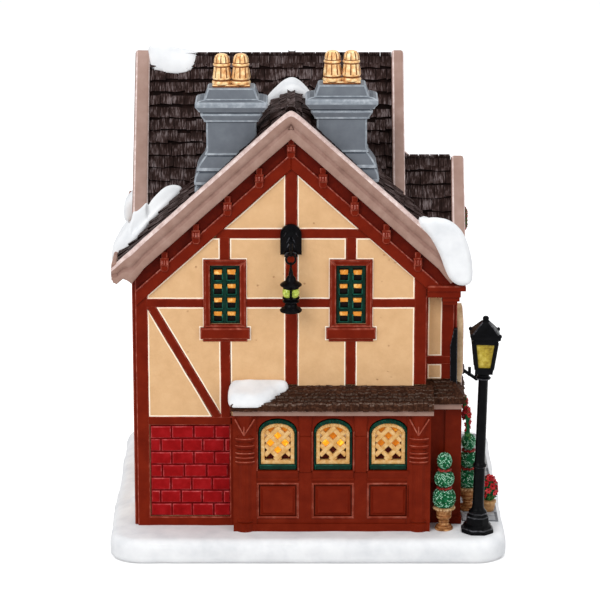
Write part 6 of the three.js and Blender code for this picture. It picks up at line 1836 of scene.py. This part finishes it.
orange_hole = glow("orange hole", (206, 120, 20), (240, 168, 40), 0.3)
white_hole = glow("pale hole", (236, 206, 160), (255, 240, 210), 0.3)
dark_hole = paint("unlit hole", (48, 10, 8), (72, 18, 12), (110, 46, 24), size=1.2, rough=0.5, specular=0.05)
lattice_paints = [tan_lattice, tan_lattice_shade, dark_hole, lit_hole, orange_hole, white_hole]
for index, (x, lit) in enumerate(zip(BAYS, ((3, 3, 3, 3), (4, 3, 3, 2), (4, 4, 4, 2))), 1):
    shape = Shape()
    lattice(shape, x, lit)
    finished(f"lattice {index}", shape, lattice_paints, f"shop_lattice_{index}")
    shape = Shape()
    outer, inner = arch(x, 7.7, 35.9, 51.6, 5.3, 18), arch(x, 6.95, 37.6, 50.8, 4.6, 18)
    mitred(shape, outer, inner, 4.0, 7.3, front, 0, 0.15, 0)
    band_out, band_in = arch(x, 7.6, 35.9, 51.6, 5.3, 18), arch(x, 6.9, 37.7, 51.3, 4.0, 18)
    for k in range(2, len(band_out) - 1):
        slab(shape, [band_out[k], band_out[k + 1], band_in[k + 1], band_in[k]], 5.0, 7.75, front, 0, 0.2, 1)
    slab(shape, rectangle(x - 7.3, x + 7.3, 35.9, 37.9), 4.2, 8.1, front, 0, 0.3, 1)
    finished(f"green arch {index}", shape, [green, green_highlight], f"shop_window_frame_{index}")

# %% [markdown]
# The lean-to roof over the shop is rough and almost black-brown, with much smaller shingles.
# Its thick front edge is broken into short ends that catch the light one by one, helped by a painted
# highlight on their edges and on the butts of the shingles.
# A stone-coloured moulding runs below it, and a pad of snow has slid to its left end.

# %% Lean-to roof
PENT_WALL, PENT_EAVE, PENT_UNDER, PENT_REACH = 69.3, 64.6, 61.9, 12.0
pent_pitch = math.atan((PENT_WALL - PENT_EAVE) / PENT_REACH)


def pent_top(x, g):
    return PENT_EAVE + (g + PENT_REACH) * math.tan(pent_pitch)


dressed("shopfront_roof", pent_shingle)
pent = Shape()


def everywhere(x, g, z):
    return True


down_front = (0, -math.cos(pent_pitch), -math.sin(pent_pitch))
laid = lay_shingles(pent, (-30.5, 0, PENT_WALL), (1, 0, 0), down_front,
                    PENT_REACH / math.cos(pent_pitch) + 0.3, 81.0, everywhere, course=2.2, width=(1.5, 3.0))
side_pitch = math.atan((PENT_WALL - PENT_EAVE) / 10.7)
down_side = (0, -math.cos(side_pitch), -math.sin(side_pitch))
laid += lay_shingles(pent, (50.8, 7.6, PENT_WALL), (1, 0, 0), down_side,
                     10.9 / math.cos(side_pitch), 8.0, everywhere, course=2.4, width=(1.5, 3.0))
street_pitch = math.atan((PENT_WALL - PENT_EAVE) / (63.2 - 58.9))
down_street = (math.cos(street_pitch), 0, -math.sin(street_pitch))
laid += lay_shingles(pent, (59.0, 7.0, PENT_WALL + 0.1), (0, 1, 0), down_street,
                     4.3 / math.cos(street_pitch), 47.8, everywhere, course=2.4, width=(1.8, 3.4))


def ragged_ends(low, high, block, drop=0.0):
    """Short shingle ends along an eave. block(a, b, out) gives the plan of one end as x0, x1, g0, g1."""
    at = low
    while at < high - 0.8:
        wide = min(random.uniform(1.2, 2.6), high - at)
        up, out = random.uniform(-0.35, 0.3), random.uniform(0.1, 0.6)
        foot = PENT_UNDER - drop + abs(up) * 0.6
        box(pent, *block(at, at + wide - 0.12, out), foot, PENT_EAVE + 0.5 + up, 0, 0.35, 1)
        at += wide


ragged_ends(-31.0, 50.5, lambda a, b, out: (a, b, -PENT_REACH - out, -PENT_REACH + 0.8), 0.3)
ragged_ends(50.6, 63.3, lambda a, b, out: (a, b, -3 - out, -2.2))
ragged_ends(-2.6, 54.9, lambda a, b, out: (62.6, 63.3 + out * 0.5, a, b))
# Painted highlight on the lean-to's shingle butts and on its ragged ends.
pent_highlight = paint("painted highlight on the lean-to shingles", (56, 36, 27), (90, 68, 56), (140, 120, 108),
                   size=1.0, rough=0.7, grain=0.4, bump=0.3)
finished("lean-to shingles", pent, [pent_shingle, pent_highlight], smooth=20)
print("lean-to shingles:", laid)
worn("shop_eave_moulding", trim, trim_highlight, 0.4)

snow_pad("snow on the lean-to roof", [
    (-30.6, -0.2), (-32.0, -4.0), (-32.3, -9.0), (-31.4, -12.6), (-27.0, -13.3), (-20.5, -13.0),
    (-16.2, -11.6), (-13.2, -8.6), (-12.0, -6.4), (-8.2, -4.4), (-7.6, -1.4), (-10.0, -0.2),
], 2.9, "shop_roof_snow", ground=pent_top, round_over=2.6, grid=0.55)

# %% [markdown]
# The wall lantern hangs from a bracket: an arched iron hood with an arm, a drop and an eye.
# A wire ring passes through the eye, and the lantern's loop hangs in the ring, so both swing.
# The ring and the lantern each move with a body of their own. The hood is cast with folds
# like engraved leaves, which catch thin streaks of light, painted on them as highlights.

# %% Wall lantern
LANTERN_X, LANTERN_G = -6.8, -9.0
RING_Z, RING_RADIUS, WIRE = 123.6, 1.9, 0.45
bracket = Shape()
hood = arch(LANTERN_X, 4.25, 124.1, 132.0, 4.4, 14)
slab(bracket, hood, 1.6, 4.2, front, 0, 0.9, 0)
slab(bracket, inset(hood, 1.0), 4.0, 5.6, front, 0, 1.3, 0)
for side in (-1, 1):
    bar(bracket, (LANTERN_X + side * 0.5, -5.75, 131.6), (LANTERN_X + side * 1.7, -5.5, 129.4), 0.3, 1, 6, 0.12)
    bar(bracket, (LANTERN_X + side * 0.7, -5.75, 129.2), (LANTERN_X + side * 2.2, -5.2, 126.3), 0.32, 1, 6, 0.1)
    bar(bracket, (LANTERN_X + side * 1.9, -5.3, 133.6), (LANTERN_X + side * 2.8, -4.8, 131.8), 0.22, 1, 6, 0.1)
rim = arch(LANTERN_X, 2.3, 121.9, 122.2, 2.4, 12)[2:]
for (u0, v0), (u1, v1) in zip(rim, rim[1:]):
    bar(bracket, (u0, -4.4, v0 + 1.3), (u1, -4.4, v1 + 1.3), 0.42, 1 if v0 > 123.0 else 0, 6)
bar(bracket, (LANTERN_X, -3.0, 130.6), (LANTERN_X, -9.4, 130.6), 0.8, 0, 8)
bar(bracket, (LANTERN_X, LANTERN_G, 131.0), (LANTERN_X, LANTERN_G, 127.4), 0.7, 0, 8)
EYE_Z = RING_Z + RING_RADIUS


def hoop(shape, centre, radius, wire, across, steps=22):
    """A closed wire ring in the plane of the two directions in across."""
    first, second = (Vector(v) for v in across)
    normal = first.cross(second).normalized()
    rings = []
    for u, v in around(steps):
        out = first * u + second * v
        rings.append([Vector(centre) + out * (radius + a) + normal * b for a, b in around(8, wire)])
    loft(shape, rings, ends="joined")


hoop(bracket, (LANTERN_X, LANTERN_G, EYE_Z + 0.75), 1.2, 0.42, ((0, 1, 0), (0, 0, 1)))
finished("lantern hood", bracket, [black_paint, black_highlight], "lantern_bracket", smooth=40)

wire_ring = Shape()
hoop(wire_ring, (LANTERN_X, LANTERN_G, RING_Z), RING_RADIUS, WIRE, ((1, 0, 0), (0, 0, 1)), 26)
finished("hanging wire ring", wire_ring, [black_paint], "lantern_ring", "hanging_ring", 180, weld=True)

lantern = Shape()
cap_profile = [
    (0.2, 119.0), (0.85, 118.7), (0.95, 117.2), (1.6, 116.6), (2.0, 115.9), (2.1, 115.2), (2.6, 114.7),
    (3.5, 114.2), (4.35, 113.5), (4.3, 113.0), (3.5, 112.9), (3.3, 112.5), (3.2, 111.9), (0.2, 111.9),
]
lathe(lantern, cap_profile[::-1], LANTERN_X, LANTERN_G, 0, 20)
foot_profile = [
    (0.2, 101.9), (3.4, 102.0), (4.3, 102.4), (4.45, 103.0), (3.9, 103.7), (2.9, 104.3), (2.5, 104.9),
    (2.3, 105.6), (2.7, 106.1), (3.3, 106.3), (3.4, 106.8), (2.9, 107.1), (3.1, 107.5), (3.5, 107.9),
    (3.3, 108.4), (0.2, 108.4),
]
lathe(lantern, foot_profile, LANTERN_X, LANTERN_G, 0, 20)
for angle in (0.25, 0.75, 1.25, 1.75):
    x, g = math.cos(angle * 2 * math.pi - math.pi) * 3.75, math.sin(angle * 2 * math.pi - math.pi) * 3.75
    bar(lantern, (LANTERN_X + x, LANTERN_G + g, 107.6), (LANTERN_X + x, LANTERN_G + g, 112.6), 0.42, 0, 8)
for g in (LANTERN_G - 3.6, LANTERN_G + 3.6):
    bar(lantern, (LANTERN_X, g, 107.6), (LANTERN_X, g, 112.6), 0.45)
hoop(lantern, (LANTERN_X, LANTERN_G, RING_Z - RING_RADIUS - 0.75), 1.2, 0.42, ((0, 1, 0), (0, 0, 1)))
bar(lantern, (LANTERN_X, LANTERN_G, 119.9), (LANTERN_X, LANTERN_G, 118.2), 0.7, 0, 8)
blacks = [black_paint, black_highlight]
finished("hanging lantern body", lantern, blacks, "lantern_body", "hanging_lantern", 45)

glass = Shape()
for quarter in range(4):
    angle = math.pi / 4 + quarter * math.pi / 2
    centre = (LANTERN_X + 1.55 * math.cos(angle), LANTERN_G + 1.55 * math.sin(angle), 110.3)
    pill(glass, centre, (2.35, 2.35, 2.35), 0, 14, 10)
finished("lantern glass lobes", glass, [green_pane], "lantern_glass", "hanging_lantern", 180)

# %% [markdown]
# The street lamp is cast iron in miniature, painted gloss black. It leans a little to the right,
# as it does in the photograph. It is modelled upright round its own axis, from an eight-sided foot
# to the finial, and every point is then tilted by one function.

# %% Street lamp
LAMP_X, LAMP_G, LAMP_FOOT, LAMP_LEAN = 68.6, -7.7, 9.8, math.radians(1.4)


def leaning(shape):
    """Tilts every point of the shape about the lamp's foot."""
    along, rise = math.cos(LAMP_LEAN), math.sin(LAMP_LEAN)
    moves = [(x - LAMP_X, g, z - LAMP_FOOT) for x, g, z in shape.points]
    shape.points = [(LAMP_X + u * along + h * rise, g, LAMP_FOOT + h * along - u * rise) for u, g, h in moves]


lamp = Shape()
foot_profile = [
    (6.9, 0.0, 0), (7.0, 0.9, 0), (6.7, 1.5, 1), (6.1, 1.9, 0), (6.0, 2.6, 0), (5.4, 3.2, 0), (4.9, 3.5, 0),
    (4.75, 4.2, 0), (4.7, 6.2, 1), (4.5, 6.7, 0), (4.0, 7.1, 0), (3.8, 7.6, 1), (3.9, 8.2, 0),
    (3.5, 8.8, 0), (2.9, 9.4, 0),
]
lathe(lamp, foot_profile, LAMP_X, LAMP_G, LAMP_FOOT, 8, turn=math.pi / 8)
post_profile = [
    (2.9, 9.2, 0), (2.5, 10.0, 0), (2.3, 11.5, 0), (2.25, 27.2, 1), (2.7, 27.6, 0), (2.75, 28.3, 0),
    (2.3, 28.9, 0), (2.05, 29.6, 0), (1.95, 63.6, 0), (2.2, 64.1, 0), (2.9, 64.4, 1), (3.0, 64.9, 0),
    (2.3, 65.4, 0), (2.2, 66.0, 0), (2.6, 66.6, 0), (3.0, 67.4, 0),
]
lathe(lamp, post_profile, LAMP_X, LAMP_G, LAMP_FOOT, 24)
HEAD_LOW, HEAD_HIGH = 66.9, 81.6
LOW_HALF, HIGH_HALF = 3.2, 5.0


def head_half(z):
    return LOW_HALF + (HIGH_HALF - LOW_HALF) * (z - HEAD_LOW) / (HEAD_HIGH - HEAD_LOW)


def square_ring(shape, low, high, grow):
    profile = [(head_half(low) + grow, low), (head_half(high) + grow, high)]
    lathe(shape, profile, LAMP_X, LAMP_G, LAMP_FOOT, square=True)


square_ring(lamp, HEAD_LOW, 69.6, 0.15)
square_ring(lamp, 79.6, HEAD_HIGH, 0.15)
CORNERS = ((-1, -1), (-1, 1), (1, -1), (1, 1))


def corner_spot(sx, sg, half, height):
    return (LAMP_X + sx * half, LAMP_G + sg * half, LAMP_FOOT + height)


for sx, sg in CORNERS:
    a, b = head_half(69.0) - 0.35, head_half(80.4) - 0.35
    bar(lamp, corner_spot(sx, sg, a, 69.0), corner_spot(sx, sg, b, 80.4), 0.85)
roof_profile = [
    (5.3, 81.4), (5.9, 81.7), (5.95, 83.0), (5.5, 83.6), (4.6, 84.6), (3.2, 86.2), (1.7, 87.7), (1.2, 88.0),
    (1.15, 88.9), (0.8, 89.1),
]
lathe(lamp, roof_profile, LAMP_X, LAMP_G, LAMP_FOOT, square=True)
for sx, sg in CORNERS:
    bar(lamp, corner_spot(sx, sg, 5.5, 83.3), corner_spot(sx, sg, 1.3, 87.9), 0.38, 1, 6)
    pill(lamp, corner_spot(sx, sg, 5.6, 83.4), (0.75, 0.75, 0.9), 0, 8, 6)
lathe(lamp, [(0.9, 88.6), (1.25, 89.0), (1.3, 89.6), (0.9, 90.2), (0.3, 90.4)], LAMP_X, LAMP_G, LAMP_FOOT, 12)
leaning(lamp)
finished("street lamp post", lamp, [black_paint, black_highlight], "street_lamp", smooth=35)
panes = Shape()
square_ring(panes, 68.8, 80.6, -0.6)
leaning(panes)
finished("street lamp panes", panes, [lamp_pane], "street_lamp_glass")

# %% [markdown]
# The topiaries are three clipped balls on a stem, in a gilded urn. The real ones are cast with a
# curly leaf texture, painted deep green and dry-brushed with pale mint. Each ball here is a dark
# core with some hundreds of tiny leaves on it, in two paints and at all angles.
# Between the balls the red ribbon shows as a narrow twisted band.

# %% Topiaries
leaf_mint = paint("mint highlight", (120, 196, 156), (164, 220, 188), (206, 240, 216),
                  size=1.0, rough=0.5, grain=0.3, bump=0.1)
leaf_green = paint("green leaf", (10, 84, 50), (20, 118, 72), (50, 150, 100),
                   size=1.0, rough=0.5, grain=0.3, bump=0.15)
leaf_paints = [leaf_dark, leaf_green, leaf_mint]
pot_lace = paint("cream lace of the urn", (150, 108, 66), (190, 150, 104), (226, 198, 160),
                 size=1, rough=0.5)
urn_gold = paint("brown gold of the urns", (112, 70, 36), (158, 106, 62), (208, 160, 108),
                 size=1.4, rough=0.4, bump=0.2)
GOLDEN_ANGLE = math.pi * (3 - math.sqrt(5))
FOLDED_LEAF = [[0, 1, 4], [1, 2, 4], [2, 3, 4], [3, 0, 4], [1, 0, 5], [2, 1, 5], [3, 2, 5], [0, 3, 5]]


def leaf(shape, centre, out, length, width, paint_slot):
    """One leaf: a small folded diamond that points outwards at a slant."""
    out = Vector(out).normalized()
    side = out.orthogonal().normalized()
    side.rotate(Matrix.Rotation(random.uniform(0, 2 * math.pi), 3, out))
    along = (side + out * random.uniform(0.15, 0.7)).normalized()
    across = along.cross(out).normalized()
    base, tip = centre - along * length * 0.45, centre + along * length * 0.55
    left, right = centre + across * width / 2, centre - across * width / 2
    ridge, under = centre + out * width * 0.35, centre - out * width * 0.5
    shape.put([base, left, tip, right, ridge, under], FOLDED_LEAF, paint_slot)


def leafy_ball(shape, x, g, low, high, radius, count, square_side):
    middle, half = (low + high) / 2, (high - low) / 2
    profile = []
    for ring in range(9):
        tilt = math.pi * ring / 8 - math.pi / 2
        wide = radius * 0.88 * math.cos(tilt) ** (1 - square_side)
        profile.append((max(0.1, wide), half * 0.9 * math.sin(tilt)))
    lathe(shape, profile, x, g, middle, 14)
    for index in range(count):
        height = 1 - 2 * (index + 0.5) / count
        flat = math.sqrt(1 - height * height) ** (1 - square_side)
        angle = GOLDEN_ANGLE * index
        out = Vector((math.cos(angle) * flat, math.sin(angle) * flat, height))
        spot = Vector((x + radius * 0.93 * out.x, g + radius * 0.93 * out.y, middle + half * 0.95 * height))
        pick = random.random()
        paint_slot = 2 if pick > 0.52 else int(pick > 0.16)
        leaf(shape, spot, out, random.uniform(0.7, 1.15), random.uniform(0.34, 0.56), paint_slot)


def twisted_band(shape, x, g, z, radius, paint_slot):
    for index in range(14):
        angle = 2 * math.pi * index / 14
        turn = Matrix.Rotation(angle, 3, "Z") @ Matrix.Rotation(math.radians(32), 3, "X")
        pill(shape, (x + radius * math.cos(angle), g + radius * math.sin(angle), z + 0.12 * (-1) ** index),
             (0.62, 0.75, 0.5), paint_slot, 6, 4, turn)


urn_profile = [
    (3.6, 0.0, 0), (3.75, 0.4, 0), (3.7, 1.0, 1), (3.1, 1.3, 0), (3.15, 1.9, 1), (2.2, 2.3, 0),
    (1.9, 2.9, 0), (1.95, 3.3, 1), (2.3, 3.6, 0), (2.0, 4.0, 1), (2.1, 4.4, 0), (2.9, 5.1, 0),
    (3.2, 6.0, 1), (3.0, 6.6, 0), (3.1, 7.2, 0), (3.4, 8.2, 0), (3.9, 9.0, 2), (4.0, 9.6, 2), (3.2, 9.8, 2),
]


def topiary(title, x, g, floor, tops=(17.6, 25.2, 32.6), radii=(4.9, 4.25, 3.1)):
    urn = Shape()
    lathe(urn, urn_profile, x, g, floor)
    for u, v in around(20, 4.15):
        pill(urn, (x + u, g + v, floor + 9.3), (0.55, 0.55, 0.5), 2, 6, 4)
    bushes = Shape()
    bar(bushes, (x, g, floor + 7), (x, g, floor + tops[-1] - 3), 0.9, 0, 8)
    low = floor + 9.2
    for index, (top, radius) in enumerate(zip(tops, radii)):
        leafy_ball(bushes, x, g, low, floor + top, radius, int(96 * radius), 0.45 if index == 0 else 0.2)
        if index < len(radii) - 1:
            twisted_band(urn, x, g, floor + top + 0.3, radius * 0.55, 3)
        low = floor + top + 0.5
    finished(title + " urn", urn, [urn_gold, gilding_groove, pot_lace, ribbon], smooth=50)
    finished(title + " leaves", bushes, leaf_paints, title.replace(" ", "_"), smooth=20)


topiary("near topiary", 55.2, -5.2, 9.6)
topiary("far topiary", 66.1, 17.5, 10.6)

# %% [markdown]
# Beside the lamp stands a tan pot with a bushy red poinsettia. Its bracts are pointed leaves in
# red, set in loose stars, with a few green leaves low down and dark hollows between them.

# %% Poinsettia
POT_X, POT_G, POT_FLOOR = 74.6, 15.0, 10.6
pot = Shape()
pot_profile = [(1.8, 0.0), (2.2, 0.2), (2.6, 1.8), (2.7, 3.4), (3.1, 3.7), (3.1, 4.6), (2.6, 4.8)]
lathe(pot, pot_profile, POT_X, POT_G, POT_FLOOR, 18)
finished("poinsettia pot", pot, [pot_clay], smooth=50)
bloom = Shape()
pill(bloom, (POT_X, POT_G, POT_FLOOR + 9.6), (3.2, 3.2, 5.2), 3, 12, 8)


def petal_star(shape, centre, out, size, paint_slot):
    out = Vector(out).normalized()
    side = out.orthogonal().normalized()
    for index in range(6):
        lay = side.copy()
        lay.rotate(Matrix.Rotation(index * math.pi / 3 + 0.3, 3, out))
        lay = (lay + out * 0.45).normalized()
        across = lay.cross(out).normalized() * size * 0.3
        base, middle, tip = Vector(centre), Vector(centre) + lay * size * 0.55, Vector(centre) + lay * size
        fold = out * size * 0.12
        points = [base, middle + across, tip, middle - across, middle + fold, middle - fold * 1.6]
        shape.put(points, FOLDED_LEAF, paint_slot)
    pill(shape, Vector(centre) + out * size * 0.15, (size * 0.14,) * 3, 4, 6, 4)


for index in range(30):
    height = 1 - 2 * (index + 0.5) / 30
    flat, angle = math.sqrt(1 - height * height), GOLDEN_ANGLE * index
    out = (flat * math.cos(angle), flat * math.sin(angle), height)
    spot = (POT_X + 3.1 * out[0], POT_G + 3.1 * out[1], POT_FLOOR + 9.9 + 4.9 * out[2])
    low_leaf = height < -0.45
    petal_star(bloom, spot, out, random.uniform(1.6, 2.2), 2 if low_leaf else (0 if index % 3 else 1))
petal_light = paint("light red petal", (168, 22, 30), (198, 44, 50), (228, 98, 96), size=1.0, rough=0.4)
berry = paint("dark flower heart", (60, 8, 10), (96, 14, 16), (140, 60, 20), size=0.8, rough=0.4)
bloom_paints = [petal, petal_light, holly_leaf, leaf_dark, berry]
finished("poinsettia bloom", bloom, bloom_paints, "potted_poinsettia", smooth=25)

# %% [markdown]
# The street side is seen edge-on: the edge of a pale sign board on the wall, a small iron
# bracket with two prongs, and a swag of red flowers under the lean-to. The door and the rest of
# that side are hidden in the photograph, so they follow what such a house would have: a panelled
# door under the bay, between two planters, and a blank board, because nothing can be read there.

# %% Street side
# The sign board's bevelled edges are painted black.
worn("street_sign_board", sign_wood, black_paint, 0.5)
low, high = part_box("street_sign_board")
g0, g1 = low.y / MM - GABLE_FACE, high.y / MM - GABLE_FACE
z0, z1, out = low.z / MM, high.z / MM, high.x / MM - RIGHT_WALL
moulding = Shape()
board_edge = [
    (g0 + 0.6, z0 + 0.6), (g1 - 0.6, z0 + 0.6), (g1 - 0.6, z1 - 5), ((g0 + g1) / 2, z1 - 0.9), (g0 + 0.6, z1 - 5),
]
mitred(moulding, board_edge, inset(board_edge, 1.3), out - 0.2, out + 0.45, street, 0, 0.3, 1)
finished("sign board moulding", moulding, [gilding, trim_highlight])
hanging = Shape()
slab(hanging, [
    (g0 + 0.2, z0 + 0.4), (g0 + 0.2, z0 - 7.6), (g0 + 3.0, z0 - 8.4),
    (g1 - 3.0, z0 - 8.4), (g1 - 0.2, z0 - 7.6), (g1 - 0.2, z0 + 0.4),
], out - 2.1, out - 0.05, street, 0, 0.3, 1)
finished("lower sign board", hanging, [sign_wood, trim_highlight])
# Painted shade: a black plate and a black backing fill the gap behind the sign, where the wall lies in shade.
holder = Shape()
slab(holder, rectangle(g0 - 0.2, g1 - 1.0, z0 - 7.0, z1 - 6.5), 0.0, out - 2.1, street, 0, 0.3, 1)
plate = [(57.6, z0 - 6.4), (60.4, z0 - 6.4), (60.4, z1 - 6.8), (58.9, z1 - 6.8), (57.4, z1 - 14)]
slab(holder, plate, -NOTCH - 0.4, -NOTCH + 1.9, front, 0, 0.3, 1)
finished("iron plate behind the sign", holder, [black_paint, black_highlight])

worn("iron_flower_bracket", black_paint, black_highlight, 0.25)
worn("entrance_door", green, green_highlight, 0.3)

swag = Shape()
route = [(64.7, 3.0, 45.0), (64.8, 3.0, 48.5), (64.9, 2.9, 52.0), (64.8, 3.0, 55.5), (64.6, 4.0, 57.4)]
hang = [(64.5, 4.0 + 19.0 * t / 12, 57.4 - 6.0 * math.sin(math.pi * t / 12)) for t in range(13)]
for (x0, g0, z0), (x1, g1, z1) in zip(route + hang, (route + hang)[1:]):
    bar(swag, (x0, g0, z0), (x1, g1, z1), 0.9, 3, 8)
    for step in range(5):
        t = (step + random.random()) / 5
        angle = random.uniform(0, 2 * math.pi)
        out = Vector((math.cos(angle), math.sin(angle) * 0.7, random.uniform(-0.3, 0.6)))
        spot = Vector((x0 + (x1 - x0) * t, g0 + (g1 - g0) * t, z0 + (z1 - z0) * t)) + out * 0.85
        petal_star(swag, spot, out, random.uniform(1.0, 1.5), 2 if z0 < 48 else random.choice((0, 0, 0, 1)))
wreath = Shape()
for step in range(18):
    angle = 2 * math.pi * step / 18
    spot = Vector((63.5, BAY_RIDGE_G + 3.4 * math.cos(angle), 130.2 + 3.4 * math.sin(angle)))
    after = Vector((63.5, BAY_RIDGE_G + 3.4 * math.cos(angle + 0.35), 130.2 + 3.4 * math.sin(angle + 0.35)))
    bar(wreath, tuple(spot), tuple(after), 1.5, 3, 8)
    out = Vector((0.9, 0.5 * math.cos(angle), 0.5 * math.sin(angle)))
    petal_star(wreath, spot + out * 0.9, out, random.uniform(1.2, 1.6), 0)
for z in (133.2, 126.2):
    box(wreath, 59.6, 63.6, BAY_RIDGE_G - 0.6, BAY_RIDGE_G + 0.6, z, z + 1.0, 3, 0.2)
finished("gable wreath", wreath, bloom_paints, smooth=25)
finished("flower swag", swag, bloom_paints, "flower_swag", smooth=25)

# %% [markdown]
# The house lights up. Under the base is a shallow battery box with a sliding cover and its screw,
# and a small switch. A stem carries the lamp up to the height of the windows.
# These pieces are plain moulded plastic, with soft edges and a fine, even grain; the edges of the
# dark plastic carry a painted highlight.

# %% Battery box, cover, switch and lamp
def moulded_plastic(name, shade, light, rough):
    return paint(name, shade, shade, light, size=6, rough=rough, grain=0.25, bump=0.08)


dark_plastic = moulded_plastic("dark plastic", (30, 31, 33), (38, 39, 41), 0.5)
# Painted highlight on the edges of the dark plastic.
plastic_highlight = moulded_plastic("painted highlight on plastic edges", (44, 45, 48), (54, 55, 58), 0.45)
white_plastic = moulded_plastic("white plastic", (214, 212, 206), (224, 222, 216), 0.45)
steel = paint("zinc-plated steel", (140, 142, 146), (172, 174, 178), (196, 198, 202),
              size=1.5, rough=0.3, grain=0.3, bump=0.05, metal=0.9)
warm_dome = glow("warm lamp", (250, 206, 130), (255, 232, 180), 0.4)
worn("battery_box", dark_plastic, plastic_highlight, 0.3)
worn("battery_cover", dark_plastic, plastic_highlight, 0.3)
worn("cover_screw", steel, steel, 0.15)
worn("lamp_stem", white_plastic, white_plastic, 0.3)
worn("power_switch_knob", dark_plastic, plastic_highlight, 0.25)
dressed("warm_led", warm_dome)
print("underside dressed")
